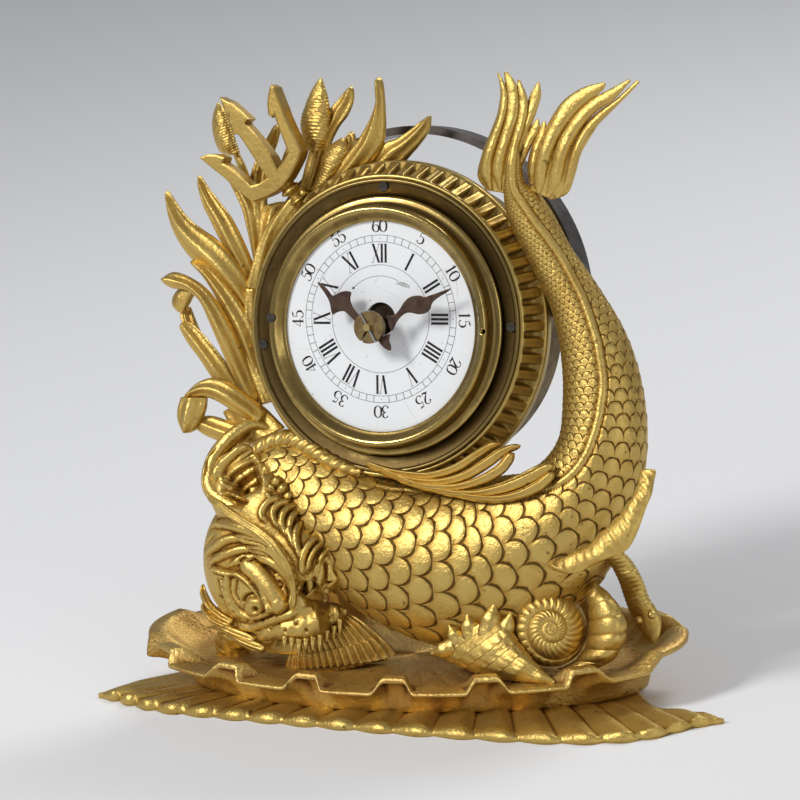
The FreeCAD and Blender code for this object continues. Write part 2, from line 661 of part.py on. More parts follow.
def click_spring():
    """A leaf spring on its own foot, beside the click's back"""
    reach = CLICK_LENGTH + CLICK_RADIUS
    away = CLICK_RADIUS + 3 * GAP
    strip = Part.makeBox(reach, GAP, WHEEL_THICK)
    strip.translate(V(0, -away - GAP, RATCHET_DEPTH))
    foot = disc(CLICK_RADIUS / 2, BACK_PLATE_BACK, WHEEL_THICK + GAP, V(reach, -away - GAP / 2, 0))
    spring = spun(strip.fuse(foot), CLICK_NOSE_DEG - 90)
    spring.translate(CLICK_AT)
    return spring


def click_screw():
    return back_screw(CLICK_AT, RATCHET_DEPTH + WHEEL_THICK, WHEEL_THICK + GAP + MOVEMENT_PLATE_THICK)


def centre_arbor():
    """Centre arbor with its pinion and wheel, out to the hands in front"""
    turn = meshing(CENTRE_PINION_LEAVES, GREAT_TEETH, 0, BARREL_DEG + 180)
    front = disc(CENTRE_ARBOR_RADIUS, ARBOR_FRONT, FRONT_PLATE_DEPTH - ARBOR_FRONT)
    stem = disc(ARBOR_RADIUS - RUNNING_GAP, FRONT_PLATE_DEPTH, BACK_PLATE_DEPTH - FRONT_PLATE_DEPTH - GAP)
    stem = stem.cut(disc(ARBOR_RADIUS, BARREL_DEPTH + WHEEL_THICK, 3 * WHEEL_THICK))
    neck = disc(CENTRE_ARBOR_RADIUS, FRONT_PLATE_DEPTH, BACK_PLATE_DEPTH - FRONT_PLATE_DEPTH - GAP)
    pivot = disc(PIVOT_RADIUS, BACK_PLATE_DEPTH - OVERRUN, MOVEMENT_PLATE_THICK + OVERRUN)
    pinion = toothed(TRAIN_MODULE, CENTRE_PINION_LEAVES, LEAF_TOOTH_SHARES, CENTRE_PINION_DEPTH,
                     GREAT_WHEEL_THICK + GAP, V(0, 0, 0), turn, 0)
    wheel = toothed(TRAIN_MODULE, CENTRE_TEETH, WHEEL_TOOTH_SHARES, CENTRE_WHEEL_DEPTH, WHEEL_THICK,
                    V(0, 0, 0), 0, 0)
    rim = TRAIN_MODULE * CENTRE_TEETH / 2 - 3 * TRAIN_MODULE
    wheel = crossed_out(wheel, rim, 2 * ARBOR_RADIUS, CENTRE_WHEEL_DEPTH, WHEEL_THICK, V(0, 0, 0))
    return joined([front, stem, neck, pivot, pinion, wheel])


def train_arbor(at, pinion, wheel):
    """An arbor between the plates with pivots, a pinion and a wheel"""
    length = BACK_PLATE_DEPTH - FRONT_PLATE_BACK - 2 * GAP
    stem = disc(CENTRE_ARBOR_RADIUS, FRONT_PLATE_BACK + GAP, length, at)
    pivots = disc(PIVOT_RADIUS, FRONT_PLATE_DEPTH + GAP, BACK_PLATE_BACK - FRONT_PLATE_DEPTH - 2 * GAP, at)
    return joined([stem, pivots, pinion, wheel])


def third_arbor():
    turn = meshing(THIRD_PINION_LEAVES, CENTRE_TEETH, 0, THIRD_DEG)
    pinion = toothed(TRAIN_MODULE, THIRD_PINION_LEAVES, LEAF_TOOTH_SHARES,
                     CENTRE_WHEEL_DEPTH - WHEEL_THICK / 2, PINION_THICK, THIRD_AT, turn, 0)
    wheel = toothed(ESCAPE_MODULE, THIRD_TEETH, WHEEL_TOOTH_SHARES, THIRD_WHEEL_DEPTH, WHEEL_THICK,
                    THIRD_AT, 0, 0)
    rim = ESCAPE_MODULE * THIRD_TEETH / 2 - 3 * ESCAPE_MODULE
    wheel = crossed_out(wheel, rim, 2 * ARBOR_RADIUS, THIRD_WHEEL_DEPTH, WHEEL_THICK, THIRD_AT)
    return train_arbor(THIRD_AT, pinion, wheel)


ESCAPE_TOOTH_SHARES = ((0.78, 0.0), (1.0, 0.34), (0.97, 0.40))


def escape_arbor():
    turn = meshing(ESCAPE_PINION_LEAVES, THIRD_TEETH, 0, ESCAPE_DEG)
    pinion = toothed(ESCAPE_MODULE, ESCAPE_PINION_LEAVES, LEAF_TOOTH_SHARES,
                     THIRD_WHEEL_DEPTH - WHEEL_THICK / 2, PINION_THICK, ESCAPE_AT, turn, 0)
    points = []
    pitch = 360 / ESCAPE_TEETH
    for tooth in range(ESCAPE_TEETH):
        for radius, share in ESCAPE_TOOTH_SHARES:
            points.append(clock_point(radius * ESCAPE_RADIUS, (tooth + share) * pitch) + ESCAPE_AT)
    outline = Part.makePolygon(points + points[:1])
    outline.translate(V(0, 0, ESCAPE_WHEEL_DEPTH))
    wheel = Part.Face(outline).extrude(V(0, 0, WHEEL_THICK / 2))
    rim = ESCAPE_RADIUS * ESCAPE_TOOTH_SHARES[0][0] - WHEEL_THICK
    wheel = crossed_out(wheel, rim, ARBOR_RADIUS, ESCAPE_WHEEL_DEPTH, WHEEL_THICK, ESCAPE_AT)
    return train_arbor(ESCAPE_AT, pinion, wheel)


def balance():
    """Balance wheel, cylinder and staff"""
    rim = ring(BALANCE_RADIUS, BALANCE_RADIUS - BALANCE_RIM, BALANCE_DEPTH, WHEEL_THICK, BALANCE_AT)
    bar = Part.makeBox(2 * (BALANCE_RADIUS - BALANCE_RIM / 2), BALANCE_RIM, WHEEL_THICK)
    bar.translate(V(BALANCE_AT.x - BALANCE_RADIUS + BALANCE_RIM / 2, BALANCE_AT.y - BALANCE_RIM / 2,
                    BALANCE_DEPTH))
    third = spun(bar, 60, BALANCE_AT)
    staff = disc(CYLINDER_RADIUS, FRONT_PLATE_BACK + GAP, COCK_DEPTH - 2 * GAP - FRONT_PLATE_BACK, BALANCE_AT)
    pivots = disc(PIVOT_RADIUS, FRONT_PLATE_DEPTH + GAP,
                  COCK_DEPTH + COCK_THICK - FRONT_PLATE_DEPTH - 2 * GAP, BALANCE_AT)
    return joined([rim, bar, third, spun(bar, 120, BALANCE_AT), staff, pivots])


COCK_DEPTH = BALANCE_DEPTH + WHEEL_THICK + 2 * GAP
COCK_FOOT_AT = BALANCE_AT + clock_point(BALANCE_RADIUS + COCK_FOOT_RADIUS + 2 * GAP, COCK_DEG)


def balance_cock():
    foot = disc(COCK_FOOT_RADIUS, BACK_PLATE_BACK, COCK_DEPTH + COCK_THICK - BACK_PLATE_BACK, COCK_FOOT_AT)
    table = disc(COCK_WIDTH, COCK_DEPTH, COCK_THICK, BALANCE_AT)
    reach = BALANCE_RADIUS + COCK_FOOT_RADIUS + 2 * GAP
    arm = Part.makeBox(COCK_WIDTH, reach, COCK_THICK)
    arm.translate(V(-COCK_WIDTH / 2, -reach, COCK_DEPTH))
    arm = spun(arm, COCK_DEG)
    arm.translate(BALANCE_AT)
    whole = joined([foot, table, arm])
    whole = whole.cut(disc(PIVOT_RADIUS + RUNNING_GAP, COCK_DEPTH - OVERRUN, COCK_THICK + 2 * OVERRUN,
                           BALANCE_AT))
    return whole.cut(disc(SCREW_RADIUS, 0, 2 * DRUM_BACK_DEPTH, COCK_FOOT_AT))


def cock_screw():
    top = COCK_DEPTH + COCK_THICK
    return back_screw(COCK_FOOT_AT, top, top - BACK_PLATE_DEPTH)


def balance_spring():
    depth = BACK_PLATE_BACK + GAP
    thick = BALANCE_DEPTH - depth - 2 * GAP
    return spiral(BALANCE_AT, CYLINDER_RADIUS + GAP, BALANCE_RADIUS / 2, HAIR_TURNS, depth, thick / 2,
                  HAIR_STRIP)


# Motion works under the dial
CANNON_DEPTH = FRONT_PLATE_DEPTH - PINION_THICK - GAP
HOUR_WHEEL_DEPTH = DIAL_DEPTH + DIAL_THICK + GAP / 2
CANNON_FRONT = MINUTE_HAND_DEPTH + HAND_THICK


def cannon_pinion():
    turn = 0
    leaves = toothed(MINUTE_MODULE, CANNON_LEAVES, LEAF_TOOTH_SHARES, CANNON_DEPTH, PINION_THICK,
                     V(0, 0, 0), turn, 0)
    pipe = disc(CANNON_PIPE_RADIUS, CANNON_FRONT, CANNON_DEPTH - CANNON_FRONT)
    whole = joined([leaves, pipe])
    return whole.cut(disc(CENTRE_ARBOR_RADIUS, 2 * CANNON_FRONT, DRUM_BACK_DEPTH))


def minute_wheel():
    """Minute wheel with its pinion, on a stud of the front plate"""
    turn = meshing(MINUTE_TEETH, CANNON_LEAVES, 0, MOTION_DEG)
    depth = CANNON_DEPTH + GAP
    wheel = toothed(MINUTE_MODULE, MINUTE_TEETH, WHEEL_TOOTH_SHARES, depth, WHEEL_THICK, MOTION_AT, turn, 0)
    pinion = toothed(HOUR_MODULE, MINUTE_PINION_LEAVES, LEAF_TOOTH_SHARES, HOUR_WHEEL_DEPTH,
                     depth - HOUR_WHEEL_DEPTH, MOTION_AT, 0, 0)
    whole = joined([wheel, pinion])
    return whole.cut(disc(PIVOT_RADIUS + RUNNING_GAP, 0, DRUM_BACK_DEPTH, MOTION_AT))


def minute_stud():
    start = HOUR_WHEEL_DEPTH + GAP
    return disc(PIVOT_RADIUS, start, FRONT_PLATE_BACK - start, MOTION_AT)


def hour_wheel():
    turn = meshing(HOUR_TEETH, MINUTE_PINION_LEAVES, 0, MOTION_DEG + 180)
    wheel = toothed(HOUR_MODULE, HOUR_TEETH, WHEEL_TOOTH_SHARES, HOUR_WHEEL_DEPTH, WHEEL_THICK,
                    V(0, 0, 0), turn, 0)
    pipe = disc(HOUR_PIPE_RADIUS, HOUR_HAND_DEPTH, HOUR_WHEEL_DEPTH - HOUR_HAND_DEPTH)
    bore = disc(CANNON_PIPE_RADIUS + RUNNING_GAP, 2 * HOUR_HAND_DEPTH, DRUM_BACK_DEPTH)
    return joined([wheel, pipe]).cut(bore)


# Carrying handle: a steel strap arched over the drum, pivoted on two side bosses
def carrying_handle():
    at = V(0, -HANDLE_RISE, 0)
    start = HANDLE_DEPTH - HANDLE_WIDTH / 2
    band = ring(HANDLE_RADIUS, HANDLE_RADIUS - HANDLE_THICK, start, HANDLE_WIDTH, at)
    lower = Part.makeBox(4 * HANDLE_RADIUS, 2 * HANDLE_RADIUS, 2 * HANDLE_WIDTH)
    lower.translate(V(-2 * HANDLE_RADIUS, -HANDLE_RISE, start - HANDLE_WIDTH / 2))
    band = band.cut(lower)
    eyes = []
    for side in (-1, 1):
        eyes.append(Part.makeCylinder(HANDLE_BOSS_RADIUS, HANDLE_THICK,
                                      V(side * HANDLE_AXIS_X, -HANDLE_RISE, HANDLE_DEPTH), V(side, 0, 0)))
    whole = joined([band] + eyes)
    bore = Part.makeCylinder(HANDLE_BORE, 4 * HANDLE_RADIUS,
                             V(-2 * HANDLE_RADIUS, -HANDLE_RISE, HANDLE_DEPTH), V(1, 0, 0))
    return whole.cut(bore)


def handle_screws():
    made = []
    for side in (-1, 1):
        start = V(side * (HANDLE_AXIS_X - GAP - SCREW_LENGTH), -HANDLE_RISE, HANDLE_DEPTH)
        reach = SCREW_LENGTH + GAP + HANDLE_THICK + RUNNING_GAP
        stem = Part.makeCylinder(PIVOT_SCREW_RADIUS, reach, start, V(side, 0, 0))
        head = Part.makeCylinder(2 * HANDLE_BORE, HANDLE_THICK / 2, start + V(side * reach, 0, 0),
                                 V(side, 0, 0))
        made.append(stem.fuse(head))
    return group(made)


# Figure: tables in shares of the drum's radius, upright frame
BODY_SHARES = (
    (-0.74, -0.02, 1.34, 0.36, 0.30), (-0.36, -0.04, 1.22, 0.40, 0.34), (0.01, -0.04, 1.10, 0.45, 0.38),
    (0.39, -0.02, 1.03, 0.49, 0.40), (0.77, 0.00, 1.07, 0.50, 0.40), (1.12, 0.00, 1.23, 0.45, 0.36),
    (1.35, 0.03, 1.47, 0.37, 0.31), (1.48, 0.04, 1.77, 0.31, 0.27), (1.49, 0.05, 2.12, 0.28, 0.24),
    (1.43, 0.05, 2.45, 0.24, 0.21), (1.31, 0.03, 2.76, 0.19, 0.17), (1.18, 0.01, 3.03, 0.15, 0.15),
    (1.06, -0.02, 3.27, 0.14, 0.13), (0.95, -0.04, 3.46, 0.17, 0.12), (0.90, -0.05, 3.58, 0.20, 0.10))
HEAD_BALL_SHARES = (-1.04, -0.06, 0.98, 0.42, 0.38, 0.50)
SNOUT_SHARES = (
    (-1.02, -0.20, 0.96, 0.34, 0.22), (-0.86, -0.26, 0.80, 0.32, 0.22), (-0.66, -0.28, 0.72, 0.24, 0.18),
    (-0.48, -0.28, 0.70, 0.15, 0.12))
JAW_SHARES = (
    (-1.00, -0.10, 0.62, 0.22, 0.24), (-0.82, -0.18, 0.50, 0.17, 0.20), (-0.62, -0.24, 0.46, 0.10, 0.14))
CREST_SHARES = (
    (-0.98, -0.02, 1.86, 0.08, 0.10), (-1.12, -0.10, 1.92, 0.09, 0.10), (-1.26, -0.18, 1.82, 0.09, 0.10),
    (-1.36, -0.24, 1.66, 0.09, 0.10), (-1.33, -0.32, 1.48, 0.08, 0.10), (-1.12, -0.40, 1.36, 0.08, 0.10),
    (-0.84, -0.46, 1.24, 0.08, 0.10), (-0.66, -0.46, 1.10, 0.07, 0.09), (-0.56, -0.44, 0.94, 0.06, 0.08),
    (-0.56, -0.40, 0.76, 0.05, 0.07))
HOOD_SHARES = (
    (-1.18, -0.16, 1.70, 0.16, 0.10), (-1.10, -0.24, 1.48, 0.26, 0.14), (-0.90, -0.28, 1.30, 0.26, 0.20),
    (-0.72, -0.26, 1.10, 0.20, 0.22), (-0.62, -0.24, 0.92, 0.12, 0.18))
GILL_SHARES = (
    (-0.88, -0.30, 1.22, 0.16, 0.16), (-0.66, -0.34, 1.06, 0.20, 0.16), (-0.46, -0.34, 0.94, 0.16, 0.12),
    (-0.34, -0.32, 0.84, 0.08, 0.07))
DORSAL_SHARES = (
    (-0.30, -0.30, 1.55, 0.05, 0.10), (0.05, -0.30, 1.47, 0.07, 0.10), (0.40, -0.26, 1.46, 0.10, 0.10),
    (0.72, -0.20, 1.56, 0.13, 0.09), (1.00, -0.14, 1.66, 0.10, 0.07), (1.18, -0.10, 1.72, 0.04, 0.04))
PECTORAL_SHARES = (
    (1.22, -0.36, 1.02, 0.06, 0.05), (1.42, -0.36, 1.10, 0.14, 0.05), (1.62, -0.30, 1.26, 0.20, 0.05),
    (1.78, -0.24, 1.44, 0.17, 0.04), (1.92, -0.18, 1.64, 0.08, 0.03))
FLUKE_LEFT_SHARES = (
    (0.86, -0.07, 3.46, 0.15, 0.09), (0.80, -0.08, 3.70, 0.17, 0.08), (0.85, -0.10, 3.98, 0.15, 0.06),
    (0.93, -0.11, 4.18, 0.13, 0.04), (0.97, -0.11, 4.27, 0.09, 0.03))
FLUKE_RIGHT_SHARES = (
    (0.96, -0.06, 3.44, 0.14, 0.10), (1.12, -0.07, 3.62, 0.20, 0.09), (1.30, -0.09, 3.84, 0.19, 0.07),
    (1.48, -0.10, 4.04, 0.13, 0.05), (1.62, -0.10, 4.14, 0.08, 0.04), (1.80, -0.10, 4.21, 0.03, 0.03))
LEAF_TABLES_SHARES = (
    ((-1.06, 0.08, 2.50), (-1.20, 0.03, 2.84), (-1.34, -0.02, 3.06), (-1.57, -0.05, 3.25),
     (-1.75, -0.03, 3.50)),
    ((-1.02, 0.10, 2.62), (-1.19, 0.05, 3.03), (-1.36, 0.03, 3.30), (-1.54, 0.05, 3.61)),
    ((-1.05, 0.02, 2.06), (-1.18, -0.10, 2.50), (-1.31, -0.16, 2.79), (-1.50, -0.18, 2.94),
     (-1.72, -0.15, 2.90)),
    ((-1.06, 0.05, 2.25), (-1.24, 0.00, 2.67), (-1.38, -0.04, 2.91), (-1.56, -0.05, 3.03)),
    ((-1.06, 0.05, 2.02), (-1.29, -0.02, 2.21), (-1.50, -0.05, 2.43), (-1.67, -0.03, 2.59)),
    ((-1.04, 0.03, 1.96), (-1.24, -0.07, 2.16), (-1.43, -0.10, 2.20), (-1.58, -0.10, 2.12),
     (-1.64, -0.05, 1.88)))
UPPER_LEAF_TABLES_SHARES = (
    ((-0.74, 0.20, 3.32), (-0.60, 0.12, 3.70), (-0.49, 0.08, 4.00), (-0.36, 0.07, 4.20)),
    ((-0.70, 0.18, 3.34), (-0.42, 0.05, 3.58), (-0.18, -0.02, 3.82), (-0.11, 0.00, 4.09),
     (-0.15, 0.05, 4.26)),
    ((-0.60, 0.20, 3.38), (-0.26, 0.12, 3.68), (-0.05, 0.08, 3.79), (0.10, 0.07, 3.90), (0.20, 0.10, 4.00)))
CATTAIL_STEM_SHARES = (
    ((-1.02, 0.14, 2.80), (-1.16, 0.12, 3.30), (-1.27, 0.07, 3.72)),
    ((-0.78, 0.22, 3.28), (-0.70, 0.17, 3.60), (-0.68, 0.15, 3.82)),
    ((-0.74, 0.20, 3.30), (-0.62, 0.12, 3.54), (-0.56, 0.10, 3.66)))
CATTAIL_HEAD_SHARES = (
    ((-1.27, 0.07, 3.70), (-1.31, 0.07, 3.80), (-1.37, 0.07, 3.98), (-1.40, 0.07, 4.11)),
    ((-0.68, 0.15, 3.80), (-0.67, 0.15, 3.92), (-0.66, 0.15, 4.12), (-0.65, 0.15, 4.27)),
    ((-0.57, 0.10, 3.64), (-0.52, 0.10, 3.72), (-0.44, 0.10, 3.82), (-0.38, 0.10, 3.88)))
CATTAIL_HALF_SHARES = (0.03, 0.08, 0.075, 0.025)
CATTAIL_STEM_SHARE = 0.025
TRIDENT_SHAFT_SHARES = (
    (-0.62, -0.02, 3.24, 0.055, 0.055), (-0.69, -0.06, 3.38, 0.06, 0.06), (-0.75, -0.10, 3.50, 0.075, 0.07),
    (-0.82, -0.12, 3.65, 0.07, 0.06))
TRIDENT_MID_SHARES = (
    (-0.80, -0.12, 3.62, 0.07, 0.06), (-0.99, -0.12, 3.86, 0.06, 0.05), (-1.14, -0.12, 4.04, 0.07, 0.05),
    (-1.25, -0.12, 4.17, 0.015, 0.015))
TRIDENT_LEFT_SHARES = (
    (-0.82, -0.12, 3.64, 0.05, 0.05), (-1.00, -0.12, 3.50, 0.06, 0.05), (-1.18, -0.12, 3.56, 0.055, 0.05),
    (-1.40, -0.12, 3.75, 0.015, 0.015))
TRIDENT_RIGHT_SHARES = (
    (-0.80, -0.12, 3.66, 0.05, 0.05), (-0.64, -0.12, 3.78, 0.06, 0.05), (-0.68, -0.12, 3.96, 0.055, 0.05),
    (-0.85, -0.12, 4.23, 0.015, 0.015))
EEL_SHARES = (
    (1.46, -0.02, 1.14, 0.07, 0.07), (1.60, 0.02, 1.00, 0.085, 0.085), (1.66, 0.12, 0.80, 0.09, 0.09),
    (1.71, 0.18, 0.63, 0.09, 0.09), (1.75, 0.22, 0.50, 0.07, 0.06), (1.77, 0.24, 0.42, 0.03, 0.03))
CONCH_SHARES = (
    (0.17, 0.09, 0.36, 0.03, 0.03), (0.41, 0.02, 0.46, 0.15, 0.13), (0.78, -0.12, 0.50, 0.24, 0.18),
    (1.02, -0.22, 0.40, 0.18, 0.15), (1.28, -0.34, 0.26, 0.03, 0.03))
BELLY_FOOT_SHARES = (
    (0.66, 0.02, 0.80, 0.30, 0.20), (0.66, 0.06, 0.56, 0.22, 0.16), (0.66, 0.12, 0.38, 0.22, 0.16),
    (0.66, 0.16, 0.20, 0.28, 0.20))
THROAT_FIN_SHARES = (
    (-0.84, -0.12, 0.58, 0.14, 0.12), (-0.60, -0.04, 0.44, 0.18, 0.14), (-0.30, 0.02, 0.34, 0.16, 0.16),
    (0.02, -0.02, 0.29, 0.10, 0.16), (0.24, -0.06, 0.27, 0.05, 0.10))
CHEEK_FIN_SHARES = (
    (-1.12, -0.10, 0.66, 0.12, 0.10), (-1.24, -0.06, 0.52, 0.14, 0.10), (-1.34, 0.02, 0.36, 0.14, 0.10),
    (-1.40, 0.10, 0.22, 0.12, 0.08))
SNAIL_SHARES = (1.20, -0.02, 0.58, 0.32, 0.26, 0.28)
SNAIL_WHORL_SHARES = (1.46, 0.02, 0.60, 0.20, 0.20, 0.25)
LEAF_HALF_SHARES = (0.075, 0.075, 0.065, 0.05, 0.015)
LEAF_THICK_SHARES = (0.045, 0.04, 0.035, 0.03, 0.012)


def leaf(path, wide=LEAF_HALF_SHARES, thick=LEAF_THICK_SHARES):
    last = len(path) - 1
    rows = []
    for index, place in enumerate(path):
        pick = len(wide) - 1 if index == last else index
        rows.append(place + (wide[pick], thick[pick]))
    return skinned(rows)


def cattail(stem, head):
    stalk = skinned([place + (CATTAIL_STEM_SHARE, CATTAIL_STEM_SHARE) for place in stem])
    spike = skinned([place + (half, half) for place, half in zip(head, CATTAIL_HALF_SHARES)])
    return stalk.fuse(spike)


# The spray's root: a stem that follows the ring's left side and carries every leaf


def spray_stem(degrees):
    """A curved root that hugs the drum behind the fluted ring"""
    places = []
    for angle in degrees:
        turn = math.radians(angle)
        radius = RING_RIM_RADIUS + SPRAY_STEM_HALF - GAP
        places.append((radius * math.sin(turn), SPRAY_STEM_BACK, AXIS_HEIGHT + radius * math.cos(turn)))
    rows = [tuple(value / UNIT for value in place) + (SPRAY_STEM_HALF / UNIT, SPRAY_STEM_HALF / UNIT)
            for place in places]
    return skinned(rows)


SPRAY_STEM_BACK = RING_BACK_DEPTH - OPENING_FORWARD - SPRAY_STEM_HALF / 2


def fitted(shape, *others):
    """The shape leaned, then trimmed by pieces that are already in place and by the drum"""
    solid = leaned(shape)
    for other in others:
        solid = solid.cut(other)
    solid = solid.cut(DRUM_SEAT)
    return max(solid.Solids, key=lambda part: part.Volume)


# Base plate: a long pointed leaf with rays along its front
PLATE_FRONT_SHARES = ((-1.0, -0.06), (-0.77, -0.48), (-0.55, -0.64), (-0.06, -0.87), (0.20, -0.96),
                      (0.60, -1.0), (0.82, -0.76), (0.93, -0.25), (1.0, 0.0))
PLATE_BACK_SHARES = ((1.0, 0.0), (0.90, 0.08), (0.78, 0.13), (0.69, 0.30), (0.60, 0.54), (0.42, 0.80),
                     (0.0, 1.0), (-0.42, 0.92), (-0.70, 0.64), (-0.86, 0.36), (-0.95, 0.16), (-1.0, -0.06))


def spline_edge(points):
    curve = Part.BSplineCurve()
    curve.interpolate(Points=points)
    return curve.toShape()


def plate_outline():
    front = []
    for along, out in PLATE_FRONT_SHARES:
        deep = PLATE_FRONT if out < 0 else PLATE_BACK
        front.append(V(along * PLATE_HALF_LENGTH, out * deep, 0))
    back = []
    for along, out in PLATE_BACK_SHARES:
        deep = PLATE_FRONT if out < 0 else PLATE_BACK
        back.append(V(along * PLATE_HALF_LENGTH, out * deep, 0))
    return Part.Wire([spline_edge(front), spline_edge(back)])


def base_plate():
    plate = Part.Face(plate_outline()).extrude(V(0, 0, PLATE_THICK))
    column = Part.Face(plate_outline()).extrude(V(0, 0, PLATE_THICK + 2 * RAY_HEIGHT))
    rays = []
    spacing = 2 * PLATE_HALF_LENGTH / RAY_COUNT
    half = spacing * RAY_HALF_SHARE
    hub = V(TRAY_CENTRE_X, TRAY_CENTRE_Y + PLATE_BACK, PLATE_THICK)
    for index in range(RAY_COUNT):
        foot = V((index + 0.5) * spacing - PLATE_HALF_LENGTH, -PLATE_FRONT - OVERRUN, PLATE_THICK)
        along = (foot - hub).normalize()
        side = along.cross(V(0, 0, 1)) * half
        start = hub + (foot - hub) * RAY_START_SHARE
        ends = []
        for place in (start, foot):
            corners = [place - side - V(0, 0, RAY_HEIGHT), place - side, place + V(0, 0, RAY_HEIGHT),
                       place + side, place + side - V(0, 0, RAY_HEIGHT)]
            ends.append(Part.makePolygon(corners + corners[:1]))
        rays.append(Part.makeLoft(ends, True, True))
    whole = plate.multiFuse([ray.common(column) for ray in rays])
    return whole.cut(TRAY_ROOM)


def tray_wire(length, depth, height, fold, folds=TRAY_FOLDS):
    points = []
    steps = 6 * folds
    for step in range(steps):
        turn = 2 * math.pi * step / steps
        wave = math.cos(folds * turn) * fold
        points.append(V(TRAY_CENTRE_X + (length + wave) * math.cos(turn),
                        TRAY_CENTRE_Y + (depth + wave) * math.sin(turn), height))
    curve = Part.BSplineCurve()
    curve.interpolate(Points=points, PeriodicFlag=True)
    return Part.Wire(curve.toShape())


def shell_tray():
    top = TRAY_BACK_HEIGHT + OVERRUN
    foot = TRAY_FOOT_SHARE
    middle = (1 + 2 * foot) / 3
    rise = (top - PLATE_THICK) / 3
    outer = [tray_wire(TRAY_HALF_LENGTH * foot, TRAY_HALF_DEPTH * foot, PLATE_THICK, 0),
             tray_wire(TRAY_HALF_LENGTH * (foot + middle) / 2, TRAY_HALF_DEPTH * (foot + middle) / 2,
                       PLATE_THICK + rise, TRAY_FOLD / 2),
             tray_wire(TRAY_HALF_LENGTH, TRAY_HALF_DEPTH, top, TRAY_FOLD)]
    length = TRAY_HALF_LENGTH - TRAY_WALL
    depth = TRAY_HALF_DEPTH - TRAY_WALL
    lift = (top - TRAY_FLOOR) / 3
    inner = [tray_wire(length * foot, depth * foot, TRAY_FLOOR, 0),
             tray_wire(length * (foot + middle) / 2, depth * (foot + middle) / 2, TRAY_FLOOR + lift,
                       TRAY_FOLD / 2),
             tray_wire(length, depth, top + OVERRUN, TRAY_FOLD)]
    bowl = Part.makeLoft(outer, True, False).cut(Part.makeLoft(inner, True, False))
    reach = 2 * TRAY_HALF_LENGTH
    lid = Part.makeBox(2 * reach, 2 * reach, reach)
    front_y = TRAY_CENTRE_Y - TRAY_HALF_DEPTH
    slope = math.degrees(math.atan2(TRAY_BACK_HEIGHT - TRAY_FRONT_HEIGHT, 2 * TRAY_HALF_DEPTH))
    lid.translate(V(TRAY_CENTRE_X - reach, -reach / 2, 0))
    lid.rotate(V(0, 0, 0), V(1, 0, 0), slope)
    lid.translate(V(0, front_y, TRAY_FRONT_HEIGHT))
    return bowl.cut(lid)


def tray_room():
    """The space under the tray's foot, so that rays stop at it"""
    foot = Part.Face(tray_wire(TRAY_HALF_LENGTH, TRAY_HALF_DEPTH, PLATE_THICK, TRAY_FOLD))
    return foot.extrude(V(0, 0, 4 * RAY_HEIGHT))


TRAY_ROOM = tray_room()


def fixing_places():
    return [V(TRAY_CENTRE_X + share * TRAY_HALF_LENGTH, TRAY_CENTRE_Y, 0) for share in FIXING_X_SHARES]


def base_screws():
    """Three screws from under the plate into the tray's floor"""
    made = []
    for place in fixing_places():
        foot = place + V(0, 0, FIXING_HEAD_THICK / 2)
        stem = Part.makeCylinder(FIXING_RADIUS, TRAY_FLOOR - FIXING_HEAD_THICK, foot)
        head = Part.makeCylinder(2 * FIXING_RADIUS, FIXING_HEAD_THICK, foot)
        made.append(stem.fuse(head))
    return group(made)


def with_fixing_holes(shape):
    for place in fixing_places():
        stem = Part.makeCylinder(FIXING_RADIUS, TRAY_FLOOR - FIXING_HEAD_THICK / 2, place)
        head = Part.makeCylinder(2 * FIXING_RADIUS, 1.5 * FIXING_HEAD_THICK, place)
        shape = shape.cut(stem.fuse(head))
    return shape


# Build: case and clock
save("bezel_moulding", on_axis(bezel_moulding()))
save("bezel_screw", on_axis(bezel_screw()))
save("bezel_flange", on_axis(bezel_flange()))
save("flange_screws", on_axis(flange_screws()))
save("fluted_ring", on_axis(fluted_ring()))
save("drum_shell", on_axis(drum_shell()))
save("back_cover", on_axis(back_cover()))
save("dial", on_axis(dial()))
save("hour_hand", on_axis(hand(HOUR_HAND_LENGTH, HOUR_OUTLINE_SHARES, HOUR_PIPE_RADIUS, HOUR_HAND_DEPTH,
                               HOUR_TURN_DEG, False)))
save("minute_hand", on_axis(hand(MINUTE_HAND_LENGTH, MINUTE_OUTLINE_SHARES, CENTRE_ARBOR_RADIUS,
                                 MINUTE_HAND_DEPTH, MINUTE_TURN_DEG, True)))
save("hand_collet", on_axis(hand_collet()))
save("front_plate", on_axis(front_plate()))
save("back_plate", on_axis(back_plate()))
save("movement_pillars", on_axis(pillars()))
save("pillar_screws", on_axis(pillar_screws()))
save("movement_screws", on_axis(movement_screws()))
save("mainspring_barrel", on_axis(mainspring_barrel()))
save("mainspring", on_axis(mainspring()))
save("winding_arbor", on_axis(winding_arbor()))
save("ratchet_wheel", on_axis(ratchet_wheel()))
save("click", on_axis(click()))
save("click_spring", on_axis(click_spring()))
save("click_screw", on_axis(click_screw()))
pin = taper_pin()
save("taper_pin", on_axis(pin.copy()))
save("centre_arbor", on_axis(centre_arbor().cut(pin)))
save("third_arbor", on_axis(third_arbor()))
save("escape_arbor", on_axis(escape_arbor()))
save("balance", on_axis(balance()))
save("balance_spring", on_axis(balance_spring()))
save("balance_cock", on_axis(balance_cock()))
save("cock_screw", on_axis(cock_screw()))
save("cannon_pinion", on_axis(cannon_pinion()))
save("minute_wheel", on_axis(minute_wheel()))
save("minute_stud", on_axis(minute_stud()))
save("hour_wheel", on_axis(hour_wheel()))
save("carrying_handle", on_axis(carrying_handle()))
save("handle_screws", on_axis(handle_screws()))

# Build: base
tray = shell_tray()
save("base_plate", with_fixing_holes(base_plate()))
save("base_screws", base_screws())
save("shell_tray", with_fixing_holes(tray.copy()))

